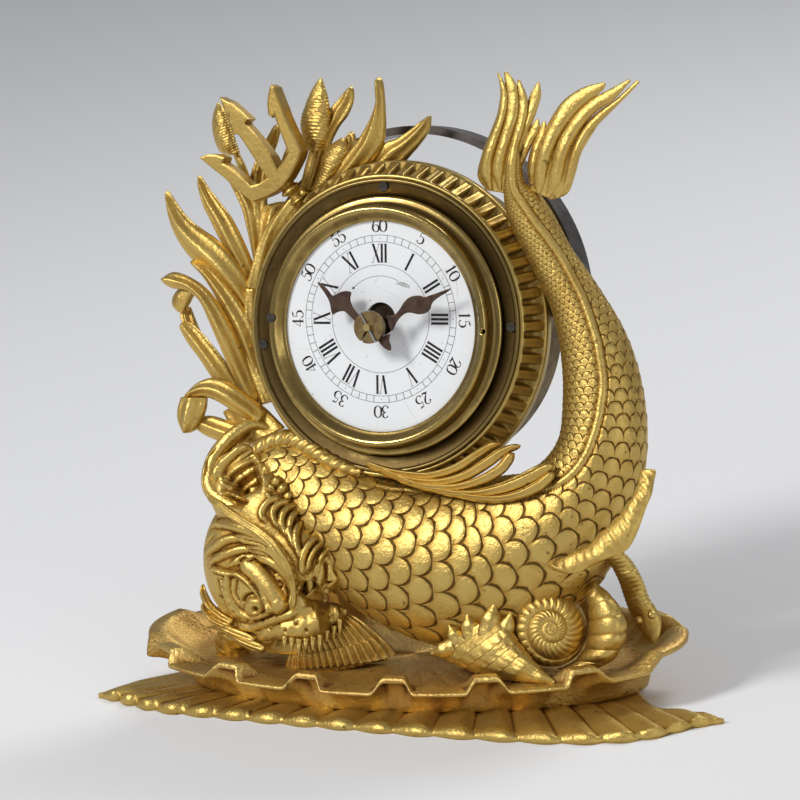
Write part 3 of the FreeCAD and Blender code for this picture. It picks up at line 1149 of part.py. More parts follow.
# Build: figure, the larger castings first, each trimmed by what is already in place
body = fitted(joined([skinned(BODY_SHARES), skinned(BELLY_FOOT_SHARES)]), tray)
save("dolphin_body", body)
head = fitted(joined([ball(HEAD_BALL_SHARES), skinned(SNOUT_SHARES), skinned(JAW_SHARES)]), body, tray)
save("dolphin_head", head)
hood = fitted(joined([skinned(HOOD_SHARES), skinned(GILL_SHARES)]), body, head, tray)
save("gill_hood", hood)
crest = fitted(skinned(CREST_SHARES), body, head, hood)
save("head_crest", crest)
dorsal = fitted(skinned(DORSAL_SHARES), body, crest, hood)
save("dorsal_fin", dorsal)
pectoral = fitted(skinned(PECTORAL_SHARES), body)
save("pectoral_fin", pectoral)
fluke_right = fitted(skinned(FLUKE_RIGHT_SHARES), body)
save("tail_fluke_right", fluke_right)
fluke_left = fitted(skinned(FLUKE_LEFT_SHARES), body, fluke_right)
save("tail_fluke_left", fluke_left)
lower = fitted(joined([spray_stem(SPRAY_STEM_DEG[:3])] + [leaf(path) for path in LEAF_TABLES_SHARES]),
               crest, head)
save("reed_leaves_lower", lower)
upper = fitted(joined([spray_stem(SPRAY_STEM_DEG[2:])] + [leaf(path) for path in UPPER_LEAF_TABLES_SHARES]),
               lower)
save("reed_leaves_upper", upper)
cattails = [fitted(cattail(stem, head_path), lower, upper)
            for stem, head_path in zip(CATTAIL_STEM_SHARES, CATTAIL_HEAD_SHARES)]
save("cattails", group(cattails))
trident = joined([skinned(rows) for rows in (TRIDENT_SHAFT_SHARES, TRIDENT_MID_SHARES, TRIDENT_LEFT_SHARES,
                                             TRIDENT_RIGHT_SHARES)])
save("trident", fitted(trident, lower, upper, *cattails))
throat = fitted(skinned(THROAT_FIN_SHARES), body, head, tray)
save("throat_fin", throat)
cheek = fitted(skinned(CHEEK_FIN_SHARES), head, tray, throat)
save("cheek_fin", cheek)
snail = fitted(joined([ball(SNAIL_SHARES), ball(SNAIL_WHORL_SHARES)]), body, tray)
save("snail_shell", snail)
eel = fitted(skinned(EEL_SHARES), body, pectoral, tray, snail)
save("eel", eel)
conch = fitted(skinned(CONCH_SHARES), body, tray, snail)
save("conch_shell", conch)
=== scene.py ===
import json
import math

import bmesh
import bpy
import numpy as np
from mathutils import Matrix, Vector


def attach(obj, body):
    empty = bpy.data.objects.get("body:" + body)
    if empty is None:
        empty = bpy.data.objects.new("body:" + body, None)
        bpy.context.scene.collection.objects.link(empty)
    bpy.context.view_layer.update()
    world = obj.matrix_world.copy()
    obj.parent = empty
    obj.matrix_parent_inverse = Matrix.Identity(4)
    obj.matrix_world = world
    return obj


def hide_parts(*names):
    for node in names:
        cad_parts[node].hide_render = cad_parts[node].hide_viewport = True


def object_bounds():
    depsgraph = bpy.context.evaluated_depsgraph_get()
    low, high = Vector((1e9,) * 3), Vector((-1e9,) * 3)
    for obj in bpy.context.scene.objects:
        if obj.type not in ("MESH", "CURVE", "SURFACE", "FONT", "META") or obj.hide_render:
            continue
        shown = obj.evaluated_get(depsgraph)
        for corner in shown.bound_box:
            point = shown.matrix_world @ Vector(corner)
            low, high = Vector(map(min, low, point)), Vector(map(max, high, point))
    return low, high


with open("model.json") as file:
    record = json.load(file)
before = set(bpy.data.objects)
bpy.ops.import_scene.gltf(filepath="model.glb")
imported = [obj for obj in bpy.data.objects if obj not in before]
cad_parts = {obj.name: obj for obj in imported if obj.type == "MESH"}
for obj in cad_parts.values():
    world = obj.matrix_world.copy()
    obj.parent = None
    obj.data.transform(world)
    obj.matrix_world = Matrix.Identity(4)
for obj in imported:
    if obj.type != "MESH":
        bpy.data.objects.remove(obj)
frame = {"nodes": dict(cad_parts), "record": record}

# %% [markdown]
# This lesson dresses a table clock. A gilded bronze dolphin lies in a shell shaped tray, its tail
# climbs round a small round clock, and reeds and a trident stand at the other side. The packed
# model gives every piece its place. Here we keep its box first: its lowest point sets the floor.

start_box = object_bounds()
MM = 0.001
DRUM_RADIUS = 40 * MM


def mm(*values):
    """Millimetres as metres."""
    return tuple(value * MM for value in values)


print("nodes:", len(frame["nodes"]), "box:", [tuple(round(v, 4) for v in c) for c in start_box])

# %% [markdown]
# The clock and its dolphin lean back by twelve degrees. It's much easier to shape them upright and
# turn them once, so points of the figure are written in an upright frame: x to the right, y to the
# back, z up. `leaned` turns an array of such points back and sets them over the tray.

# %% The lean
LEAN = math.radians(12)
FIGURE_SHIFT = np.array([-5, 10, -2.2]) * MM
LEAN_TURN = np.array([[1, 0, 0], [0, math.cos(LEAN), math.sin(LEAN)],
                      [0, -math.sin(LEAN), math.cos(LEAN)]])


def leaned(points):
    return np.asarray(points, float) @ LEAN_TURN.T + FIGURE_SHIFT


def upright(points):
    return (np.asarray(points, float) - FIGURE_SHIFT) @ LEAN_TURN


# %% [markdown]
# The photograph's camera was fitted to the round bezel and to the base. With it we can go both
# ways: from a point to its pixel, and from a pixel to the point where its line of sight meets a
# plane. Most ornament is cast in flat layers, one behind the other, so an outline read off the
# photograph and a depth for each layer gives its place in space.

# %% The photograph's camera
PHOTO_SIZE = 800
CAMERA_AZIMUTH = math.radians(26.25)
CAMERA_HEIGHT = math.radians(3.0)
CAMERA_ROLL = math.radians(0.66)
CAMERA_DISTANCE = 1400 * MM
PIXELS_AT_ONE = 5185.0
LOOK_AT = np.array([0, 0, 84]) * MM

VIEW_BACK = np.array([math.sin(CAMERA_AZIMUTH) * math.cos(CAMERA_HEIGHT),
                      -math.cos(CAMERA_AZIMUTH) * math.cos(CAMERA_HEIGHT), math.sin(CAMERA_HEIGHT)])
level = np.array([math.cos(CAMERA_AZIMUTH), math.sin(CAMERA_AZIMUTH), 0])
rise = np.cross(VIEW_BACK, level)
VIEW_RIGHT = level * math.cos(CAMERA_ROLL) - rise * math.sin(CAMERA_ROLL)
VIEW_UP = level * math.sin(CAMERA_ROLL) + rise * math.cos(CAMERA_ROLL)
CAMERA_PLACE = (LOOK_AT + VIEW_BACK * CAMERA_DISTANCE) @ LEAN_TURN.T
EYE = upright(CAMERA_PLACE)


def sight_lines(across, down):
    """Directions of the lines of sight of some pixels, upright."""
    return (VIEW_RIGHT * (across[..., None] - PHOTO_SIZE / 2) - VIEW_UP * (down[..., None] - PHOTO_SIZE / 2)
            - VIEW_BACK * PIXELS_AT_ONE)


def at_photo(across, down, depth):
    """Upright points where the lines of sight of some pixels meet planes of constant y."""
    across, down, depth = np.broadcast_arrays(np.asarray(across, float), down, depth)
    ray = sight_lines(across, down)
    reach = (depth - EYE[1]) / ray[..., 1]
    return EYE + ray * reach[..., None]


def on_level(across, down, height):
    """Points as the clock stands where the lines of sight of some pixels meet a level plane."""
    across, down = np.broadcast_arrays(np.asarray(across, float), down)
    ray = sight_lines(across, down) @ LEAN_TURN.T
    reach = (height - CAMERA_PLACE[2]) / ray[..., 2]
    return CAMERA_PLACE + ray * reach[..., None]


def to_photo(points):
    """Pixels of upright points."""
    away = np.asarray(points, float) - EYE
    deep = -(away @ VIEW_BACK)
    return np.stack([PHOTO_SIZE / 2 + PIXELS_AT_ONE * (away @ VIEW_RIGHT) / deep,
                     PHOTO_SIZE / 2 - PIXELS_AT_ONE * (away @ VIEW_UP) / deep], -1)


print("bezel centre falls on pixel", to_photo(np.array([0, -13, 104]) * MM).round(1))

camera_data = bpy.data.cameras.new("photo_camera")
camera = bpy.data.objects.new("photo_camera", camera_data)
bpy.context.scene.collection.objects.link(camera)
turned = np.stack([VIEW_RIGHT, VIEW_UP, VIEW_BACK]) @ LEAN_TURN.T
camera_turn = Matrix(turned.T.tolist()).to_quaternion()
camera.matrix_world = Matrix.LocRotScale(Vector(CAMERA_PLACE), camera_turn, None)
camera_data.sensor_width = 36
camera_data.lens = camera_data.sensor_width * PIXELS_AT_ONE / PHOTO_SIZE
camera_data.clip_start = 10 * MM
bpy.context.scene.camera = camera
bpy.context.scene.view_settings.view_transform = "Standard"
print("lens", round(camera_data.lens, 1))

# %% [markdown]
# Blender's shader maths is a net of small Math nodes. Written as Python expressions it reads like
# a recipe, so `Wire` wraps one output socket and turns operators into nodes, and `Finish` holds
# one material and makes any other node.

# %% Shader helpers
class Wire:
    """An output socket that can be added, taken away, multiplied and raised to a power."""

    def __init__(self, finish, socket):
        self.finish = finish
        self.socket = socket

    def __add__(self, other):
        return self.finish.sum_of("ADD", self, other)

    def __sub__(self, other):
        return self.finish.sum_of("SUBTRACT", self, other)

    def __rsub__(self, other):
        return self.finish.sum_of("SUBTRACT", other, self)

    def __mul__(self, other):
        return self.finish.sum_of("MULTIPLY", self, other)

    def __pow__(self, other):
        return self.finish.sum_of("POWER", self, other)

    __radd__ = __add__
    __rmul__ = __mul__

    def clipped(self):
        return self.finish.node("ShaderNodeClamp", {}, {0: self})


class Finish:
    """A material with its nodes."""

    def __init__(self, name, metallic=0.0, roughness=0.5, **constants):
        self.material = bpy.data.materials.new(name)
        self.material.use_nodes = True
        self.tree = self.material.node_tree
        self.shader = self.tree.nodes["Principled BSDF"]
        self.shader.inputs["Metallic"].default_value = metallic
        self.shader.inputs["Roughness"].default_value = roughness
        for socket, value in constants.items():
            self.shader.inputs[socket.replace("_", " ")].default_value = value
        self.place = self.node("ShaderNodeTexCoord", output="Object")

    def feed(self, socket, value):
        if isinstance(value, Wire):
            self.tree.links.new(value.socket, socket)
        else:
            socket.default_value = value

    def node(self, kind, settings=None, inputs=None, output=0):
        made = self.tree.nodes.new(kind)
        for name, value in (settings or {}).items():
            if name == "stops":
                ramp = made.color_ramp.elements
                while len(ramp) < len(value):
                    ramp.new(0.5)
                for element, (place, colour) in zip(ramp, value):
                    element.position = place
                    element.color = colour
            else:
                setattr(made, name, value)
        for name, value in (inputs or {}).items():
            self.feed(made.inputs[name], value)
        return Wire(self, made.outputs[output])

    def sum_of(self, operation, first, second):
        return self.node("ShaderNodeMath", {"operation": operation}, {0: first, 1: second})

    def noise(self, scale, detail=3.0, rough=0.5):
        return self.node("ShaderNodeTexNoise", {}, {"Vector": self.place, "Scale": scale, "Detail": detail,
                                                    "Roughness": rough})

    def ramp(self, value, low, high):
        """0 below low, 1 above high and straight between."""
        return self.node("ShaderNodeMapRange", {"clamp": True}, {0: value, 1: low, 2: high, 3: 0.0, 4: 1.0})

    def mix(self, share, first, second):
        return self.node("ShaderNodeMix", {"data_type": "RGBA"}, {0: share, 6: first, 7: second}, output=2)

    def attribute(self, name):
        return self.node("ShaderNodeAttribute", {"attribute_name": name}, output="Fac")

    def bump(self, height, distance):
        normal = self.node("ShaderNodeBump", {}, {"Height": height, "Distance": distance})
        self.feed(self.shader.inputs["Normal"], normal)

    def paint(self, **sockets):
        for name, value in sockets.items():
            self.feed(self.shader.inputs[name.replace("_", " ")], value)
        return self.material


# %% [markdown]
# Fire-gilt bronze is bright only where it has been rubbed. In the hollows the gold is darker and
# more orange, partly unburnished gold and partly painted shade, and the deepest corners get a
# painted brown shade mixed with dirt. Every cast piece below carries a number per point, "relief",
# that is above zero on crests and below zero in hollows. The finish reads it, adds soft blotches
# and fine casting grain, and makes worn crests smoother than hollows.

# %% Gilt finish
GILT_BRIGHT = (0.63, 0.45, 0.135, 1)
GILT_DEEP = (0.43, 0.215, 0.032, 1)
# Brown for dirt specks and for painted shade in corners and scale grooves
GRIME_AND_SHADE = (0.06, 0.03, 0.01, 1)
SCALE_EDGE_SHARE = 0.3


def scale_edges(finish):
    """How far a point lies from the nearest scale's free edge, and 1 where there are scales."""
    counts = finish.node("ShaderNodeUVMap", {"uv_map": "scales"})
    along = finish.node("ShaderNodeSeparateXYZ", {}, {0: counts}, output=0)
    round_it = finish.node("ShaderNodeSeparateXYZ", {}, {0: counts}, output=1)
    row = finish.sum_of("FLOOR", along, 0.0)
    place = round_it - 0.5 * finish.sum_of("MODULO", row, 2.0)
    side = place - finish.sum_of("ROUND", place, 0.0)
    root = (1.0 - side * side * 4.0).clipped() ** 0.5
    edge = root * (1 - SCALE_EDGE_SHARE) + SCALE_EDGE_SHARE
    away = finish.sum_of("ABSOLUTE", along - row - edge, 0.0) * (root * 0.82 + 0.18)
    return away, finish.attribute("scaled")


def gilt_finish(name, rough, grain, bright=GILT_BRIGHT, deep=GILT_DEEP, scales=False, stain=0.35):
    finish = Finish(name, metallic=1.0)
    relief = finish.attribute("relief")
    cloud = finish.noise(90.0, 4.0)
    fine = finish.noise(900.0, 3.0, 0.6)
    # Darker, more orange gold in hollows: partly unburnished gold, partly painted shade
    hollow = finish.ramp(relief + (cloud - 0.5) * 0.5, 0.05, -0.55)
    # Painted brown shade mixed with dirt in the deepest corners
    corner = finish.ramp(relief + (fine - 0.5) * 0.7, -0.35, -1.0)
    patch = finish.ramp(cloud, 0.46, 0.72)
    colour = finish.mix(hollow, bright, deep)
    colour = finish.mix(patch * stain, colour, deep)
    colour = finish.mix(corner * 0.85, colour, GRIME_AND_SHADE)
    speck = finish.ramp(finish.noise(420.0, 2.0), 0.68, 0.74)
    colour = finish.mix(speck * 0.6, colour, GRIME_AND_SHADE)
    crest = finish.ramp(relief, 0.0, 0.6)
    roughness = rough + hollow * 0.14 - crest * 0.07 + (fine - 0.5) * 0.12
    height = fine + cloud * 0.4
    if scales:
        away, scaled = scale_edges(finish)
        # Painted shade: darker gold towards each scale's free edge, and brown painted shade in its groove
        groove = finish.ramp(away, 0.085, 0.02) * scaled
        colour = finish.mix(finish.ramp(away, 0.26, 0.0) * scaled * 0.45, colour, deep)
        colour = finish.mix(groove * 0.8, colour, GRIME_AND_SHADE)
        height = height - groove * 2.2
    finish.bump(height, grain)
    return finish.paint(Base_Color=colour, Roughness=roughness.clipped())


gilt = gilt_finish("gilt_bronze", 0.47, 0.22 * MM)
gilt_scaled = gilt_finish("gilt_scaled", 0.47, 0.22 * MM, scales=True)
gilt_tray = gilt_finish("gilt_tray", 0.52, 0.34 * MM, (0.60, 0.42, 0.135, 1), (0.42, 0.21, 0.06, 1),
                        stain=0.75)
gilt_plain = gilt_finish("gilt_plain", 0.36, 0.06 * MM, (0.52, 0.365, 0.11, 1), (0.36, 0.19, 0.03, 1))
gilt_base = gilt_finish("gilt_base", 0.50, 0.32 * MM, (0.62, 0.44, 0.13, 1), (0.43, 0.22, 0.035, 1))

# %% [markdown]
# The drum's bezel and flange were once gilded too, and have worn to brown brass. The flange's brass
# is darkened further as painted shade behind the bezel, and the pleated ring gets a lighter copy of
# it as painted light. The movement is plain polished brass, the screws and the handle are steel
# with a dull skin.

# %% Brass and steel finishes
METAL_GRAIN = 0.03 * MM
# Bright, dull and dark colour, roughness, and how many patches there are to the metre
METALS = {
    # aged_brass is darkened partly as painted shade behind the bezel; the next entry is its lighter,
    # painted-lit copy for the pleated ring
    "aged_brass": ((0.22, 0.155, 0.055), (0.12, 0.078, 0.028), (0.04, 0.026, 0.013), 0.34, 130.0),
    "aged_brass_lit_rim": ((0.46, 0.33, 0.105), (0.30, 0.20, 0.06), (0.06, 0.04, 0.016), 0.36, 130.0),
    "bezel_brass": ((0.40, 0.285, 0.095), (0.22, 0.148, 0.048), (0.07, 0.045, 0.018), 0.24, 110.0),
    "movement_brass": ((0.78, 0.60, 0.28), (0.66, 0.47, 0.19), (0.35, 0.22, 0.08), 0.22, 70.0),
    "collet_brass": ((0.32, 0.23, 0.10), (0.14, 0.09, 0.045), (0.035, 0.022, 0.015), 0.34, 500.0),
    "hand_steel": ((0.115, 0.075, 0.055), (0.06, 0.038, 0.03), (0.02, 0.013, 0.01), 0.38, 400.0),
    "handle_steel": ((0.17, 0.15, 0.14), (0.075, 0.062, 0.056), (0.025, 0.02, 0.018), 0.30, 150.0),
    "screw_steel": ((0.10, 0.088, 0.075), (0.05, 0.042, 0.035), (0.02, 0.017, 0.014), 0.32, 600.0),
    "bright_steel": ((0.62, 0.62, 0.64), (0.45, 0.45, 0.47), (0.2, 0.19, 0.18), 0.22, 300.0),
    # Near black: painted shade for the brass seen through the dial's centre hole
    "painted_hole_shade": ((0.045, 0.034, 0.022), (0.03, 0.02, 0.013), (0.012, 0.008, 0.006), 0.5, 200.0)}


def worn_metal(name, bright, dull, dark, rough, patches):
    finish = Finish(name, metallic=1.0)
    bright, dull, dark = ((*colour, 1) for colour in (bright, dull, dark))
    cloud = finish.noise(patches, 5.0, 0.6)
    fine = finish.noise(1400.0, 2.0)
    relief = finish.attribute("relief")
    tarnish = finish.ramp(cloud - relief * 0.3, 0.36, 0.62)
    colour = finish.mix(tarnish, bright, dull)
    colour = finish.mix(finish.ramp(finish.noise(patches * 3, 3.0), 0.60, 0.76) * 0.45, colour, dark)
    finish.bump(fine + cloud * 0.5, METAL_GRAIN)
    return finish.paint(Base_Color=colour, Roughness=(rough + tarnish * 0.16 + (fine - 0.5) * 0.1).clipped())


metals = {name: worn_metal(name, *values) for name, values in METALS.items()}

# %% [markdown]
# The dial is white enamel fused on copper: a glassy, faintly grey white with hairlines and a few
# dirty specks, under a clear gloss. The printed marks are black enamel, so they share the gloss.

# %% Enamel finishes
enamel_finish = Finish("white_enamel", roughness=0.18, Coat_Weight=0.6, Coat_Roughness=0.06)
cloudy = enamel_finish.noise(60.0, 3.0)
hairline = enamel_finish.node("ShaderNodeTexVoronoi", {"feature": "DISTANCE_TO_EDGE"},
                              {"Vector": enamel_finish.place, "Scale": 42.0})
crack = enamel_finish.ramp(hairline, 0.006, 0.0) * enamel_finish.ramp(cloudy, 0.52, 0.60)
dirt = enamel_finish.ramp(enamel_finish.noise(700.0, 2.0), 0.70, 0.76)
shade = enamel_finish.mix(cloudy, (0.80, 0.81, 0.82, 1), (0.88, 0.885, 0.885, 1))
shade = enamel_finish.mix(crack * 0.35, shade, (0.30, 0.27, 0.23, 1))
enamel = enamel_finish.paint(Base_Color=enamel_finish.mix(dirt * 0.5, shade, (0.28, 0.24, 0.20, 1)))

ink_finish = Finish("black_enamel", roughness=0.25, Coat_Weight=0.4)
ink = ink_finish.paint(Base_Color=ink_finish.mix(ink_finish.ramp(ink_finish.noise(900.0), 0.55, 0.75),
                                                 (0.012, 0.012, 0.014, 1), (0.07, 0.065, 0.06, 1)))
print("finishes:", len(bpy.data.materials))

# %% [markdown]
# A carried-over piece keeps its mesh and gets the finish of its slot. The hour wheel and the front
# plate show through the dial's centre hole, where they are painted almost black as shade.

# %% Finishes of the carried-over pieces
slot_finish = {**metals, "gilt_bronze": gilt, "enamel": enamel}


def paint_piece(piece, material):
    piece.data.materials.clear()
    piece.data.materials.append(material)


for part in frame["record"]["subparts"]:
    paint_piece(frame["nodes"][part["node"]], slot_finish[part["material_slot"]])
# Painted shade: the brass behind the dial's centre hole is painted near black
for node in ("hour_wheel", "front_plate"):
    paint_piece(frame["nodes"][node], metals["painted_hole_shade"])
paint_piece(frame["nodes"]["bezel_moulding"], metals["bezel_brass"])

# %% [markdown]
# Most pieces below end the same way: a grid of points becomes a closed mesh, it's shaded smooth,
# it gets its relief numbers, its finish and the body that it rides on. `relief` compares each
# point with a smoothed copy of the mesh: a point that stands out is a crest, one that lies back is
# a hollow.

# %% Mesh helpers
RELIEF_FULL = 0.35 * MM
SOFTEN_SHARE = 0.6


def read_points(mesh, field="co"):
    """A vector of every point of a mesh, its place or its "normal"."""
    values = np.empty(len(mesh.vertices) * 3)
    mesh.vertices.foreach_get(field, values)
    return values.reshape(-1, 3)


def around(count):
    """Even angles of a full turn."""
    return np.arange(count) * 2 * np.pi / count


def mark_relief(piece, rounds=14):
    """Stores how far each point stands out of its smoothed surroundings, from -1 to 1."""
    mesh = piece.data
    count = len(mesh.vertices)
    places = read_points(mesh)
    edges = np.empty(len(mesh.edges) * 2, int)
    mesh.edges.foreach_get("vertices", edges)
    one, two = edges.reshape(-1, 2).T
    links = np.bincount(one, minlength=count) + np.bincount(two, minlength=count)
    links = np.maximum(links, 1)[:, None]
    soft = places.copy()
    for _ in range(rounds):
        total = np.empty_like(soft)
        for axis in range(3):
            total[:, axis] = np.bincount(one, soft[two, axis], count)
            total[:, axis] += np.bincount(two, soft[one, axis], count)
        soft = soft * (1 - SOFTEN_SHARE) + total / links * SOFTEN_SHARE
    out = ((places - soft) * read_points(mesh, "normal")).sum(1) / RELIEF_FULL
    stored = mesh.attributes.get("relief") or mesh.attributes.new("relief", "FLOAT", "POINT")
    stored.data.foreach_set("value", np.clip(out, -1, 1).astype(np.float32))


def finished(piece, body, material, slot, *nodes, relief=True, rounds=14, smooth=True):
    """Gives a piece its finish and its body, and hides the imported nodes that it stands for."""
    paint_piece(piece, material)
    if relief:
        mark_relief(piece, rounds)
    for polygon in piece.data.polygons:
        polygon.use_smooth = smooth
    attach(piece, body)
    if nodes:
        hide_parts(*nodes)
    print("%-22s %6d faces" % (piece.name, len(piece.data.polygons)))
    return piece


def linked(name, data):
    """A new object in the scene."""
    piece = bpy.data.objects.new(name, data)
    bpy.context.scene.collection.objects.link(piece)
    return piece


def applied(piece, kind, **settings):
    """Adds one modifier to a piece and applies it."""
    bpy.ops.object.select_all(action="DESELECT")
    bpy.context.view_layer.objects.active = piece
    modifier = piece.modifiers.new(kind.lower(), kind)
    for name, value in settings.items():
        setattr(modifier, name, value)
    bpy.ops.object.modifier_apply(modifier=modifier.name)


def melted(piece, voxel, smooth_rounds):
    """Makes one closed skin of a piece's overlapping forms."""
    applied(piece, "REMESH", mode="VOXEL", voxel_size=voxel)
    applied(piece, "SMOOTH", iterations=smooth_rounds, factor=0.5)


def tube_form(grid):
    """Points and faces of a tube from rings, rows by columns by three, closed at both ends."""
    rows, columns = grid.shape[:2]
    points = np.concatenate([grid.reshape(-1, 3), grid[:1].mean(1), grid[-1:].mean(1)])
    faces = []
    for one in range(0, (rows - 1) * columns, columns):
        for column in range(columns):
            beside = (column + 1) % columns
            faces.append((one + column, one + beside, one + columns + beside, one + columns + column))
    first, last = rows * columns, rows * columns + 1
    for column in range(columns):
        beside = (column + 1) % columns
        faces.append((first, beside, column))
        faces.append((last, (rows - 1) * columns + column, (rows - 1) * columns + beside))
    return points, faces


def cast(name, forms):
    """One piece from several closed forms, with every face turned outwards."""
    points, faces, start = [], [], 0
    for form_points, form_faces in forms:
        points.append(form_points)
        faces += [tuple(corner + start for corner in face) for face in form_faces]
        start += len(form_points)
    mesh = bpy.data.meshes.new(name)
    mesh.from_pydata([tuple(p) for p in np.concatenate(points)], [], faces)
    mesh.update()
    net = bmesh.new()
    net.from_mesh(mesh)
    bmesh.ops.recalc_face_normals(net, faces=net.faces)
    net.to_mesh(mesh)
    net.free()
    return linked(name, mesh)


def leaned_forms(forms):
    return [(leaned(points), faces) for points, faces in forms]


def gilded(name, forms, node, material=gilt, relief=True, rounds=8):
    """One gilt casting of the figure, from closed forms in the upright frame."""
    return finished(cast(name, leaned_forms(forms)), "case", material, "gilt_bronze", node, relief=relief,
                    rounds=rounds)


def smooth_line(points, count):
    """A smooth line through given points, cut into even steps."""
    points = np.asarray(points, float)
    if len(points) == 2:
        share = np.linspace(0, 1, count)[:, None]
        return points[0] * (1 - share) + points[1] * share
    padded = np.concatenate([[2 * points[0] - points[1]], points, [2 * points[-1] - points[-2]]])
    made = []
    for one, two, three, four in zip(padded, padded[1:], padded[2:], padded[3:]):
        t = np.linspace(0, 1, 24, endpoint=False)[:, None]
        made.append(0.5 * (2 * two + (three - one) * t + (2 * one - 5 * two + 4 * three - four) * t ** 2
                           + (3 * two - one - 3 * three + four) * t ** 3))
    line = np.concatenate(made + [points[-1:]])
    along = np.concatenate([[0], np.cumsum(np.linalg.norm(np.diff(line, axis=0), axis=1))])
    even = np.linspace(0, along[-1], count)
    return np.stack([np.interp(even, along, column) for column in line.T], -1)


def eased(values, count):
    """A short list of values as a smooth run of count values."""
    values = np.atleast_1d(np.asarray(values, float))
    if len(values) == 1:
        return np.full(count, values[0])
    place = np.linspace(0, len(values) - 1, count)
    step = np.minimum(place.astype(int), len(values) - 2)
    part = place - step
    part = part * part * (3 - 2 * part)
    return values[step] * (1 - part) + values[step + 1] * part


def evened(values, rounds):
    """The values after some rounds in which each becomes the mean of itself and its neighbours."""
    values = values.copy()
    for _ in range(rounds):
        values[1:-1] = (values[:-2] + values[1:-1] + values[2:]) / 3
    return values


# %% [markdown]
# ## The clock's face
# Pieces of the clock are drawn flat on the dial's plane: `x` to the right, `up` from the hand
# arbor, and a depth behind the bezel's opening. `on_face` sets such points upright in space and
# leans them with the drum.

# %% The dial's plane
AXIS_HEIGHT = 104 * MM
OPENING_FORWARD = 13 * MM
DIAL_SLIP = 2.0 * MM
DIAL_FRONT = 1.6 * MM


def on_face(across, up, deep):
    across, up, deep = np.broadcast_arrays(np.asarray(across, float), up, deep)
    return leaned(np.stack([across, deep - OPENING_FORWARD, AXIS_HEIGHT + up], -1))


def ring_point(radius, degrees):
    """Across and up of a point by its radius and its angle clockwise from twelve."""
    turn = np.radians(degrees)
    return np.stack([radius * np.sin(turn), radius * np.cos(turn)], -1)


def slab(outline, front, behind):
    """A flat form from an outline of (across, up) points, between two depths."""
    outline = np.asarray(outline, float)
    count = len(outline)
    points = np.concatenate([on_face(outline[:, 0], outline[:, 1], depth) for depth in (front, behind)])
    sides = [(i, (i + 1) % count, count + (i + 1) % count, count + i) for i in range(count)]
    return points, [tuple(range(count)), tuple(range(2 * count - 1, count - 1, -1))] + sides


print("dial centre:", leaned(np.array([0, DIAL_FRONT - OPENING_FORWARD, AXIS_HEIGHT + DIAL_SLIP])).round(4))

# %% [markdown]
# The dial's marks are black enamel, a few hundredths of a millimetre thick. Every mark is drawn as
# a pen would draw it: a line with a width that swells and thins. `pen` turns such a line into a
# flat form. The numerals are laid out radially, feet to the centre, as on old French dials.

# %% Pen strokes
MARK_LIFT = 0.03 * MM
HAIR = 0.11 * MM


def pen(line, widths, steps=2):
    """A flat ribbon along a line of (across, up) points, with a width at each point."""
    line = smooth_line(line, steps)[:, :2] if steps > 2 else np.asarray(line, float)
    widths = eased(widths, len(line))
    ahead = np.gradient(line, axis=0)
    ahead /= np.linalg.norm(ahead, axis=1)[:, None]
    side = np.stack([-ahead[:, 1], ahead[:, 0]], -1) * widths[:, None] / 2
    outline = np.concatenate([line + side, (line - side)[::-1]])
    return slab(outline + [0, DIAL_SLIP], DIAL_FRONT - MARK_LIFT, DIAL_FRONT + MARK_LIFT)


def turned_flat(points, degrees, radius):
    """Figure points, written upright about their own middle, carried to their place on the ring."""
    turn = math.radians(degrees)
    across, up = np.asarray(points, float).T
    up = up + radius
    return np.stack([across * math.cos(turn) + up * math.sin(turn),
                     up * math.cos(turn) - across * math.sin(turn)], -1)


def circle_marks(radius, width, start=0, stop=360, pieces=24):
    marks = []
    edges = np.linspace(start, stop, pieces + 1)
    for first, last in zip(edges[:-1], edges[1:]):
        marks.append(pen(ring_point(radius, np.linspace(first, last, 9)), [width]))
    return marks


TRACK_OUTER = 22.66 * MM
TRACK_INNER = 20.85 * MM
CHAPTER_CIRCLE = 14.6 * MM
marks = circle_marks(TRACK_OUTER, HAIR) + circle_marks(TRACK_INNER, HAIR) + circle_marks(CHAPTER_CIRCLE, HAIR)
for minute in range(60):
    if minute % 5:
        marks.append(pen(ring_point(np.array([TRACK_INNER, TRACK_OUTER]), minute * 6), [HAIR * 1.3]))
    else:
        dot = ring_point((TRACK_INNER + TRACK_OUTER) / 2, minute * 6)
        marks.append(pen(dot + np.array([[-HAIR, 0], [0, 0], [HAIR, 0]]) * 1.3, [HAIR, 2.4 * HAIR, HAIR]))
print("track marks:", len(marks))

# %% [markdown]
# Roman figures have thick and thin strokes: in a V the left stroke is thick and the right one is a
# hairline, in an X too. Hairline serifs close their heads and feet.

# %% Roman numerals
ROMAN_MIDDLE = 17.75 * MM
ROMAN_HALF = 2.5 * MM
ROMAN_THICK = 0.66 * MM
ROMAN_WIDTHS = {"I": 1.15 * MM, "V": 2.35 * MM, "X": 2.35 * MM}
HOURS = ("XII", "I", "II", "III", "IIII", "V", "VI", "VII", "VIII", "IX", "X", "XI")


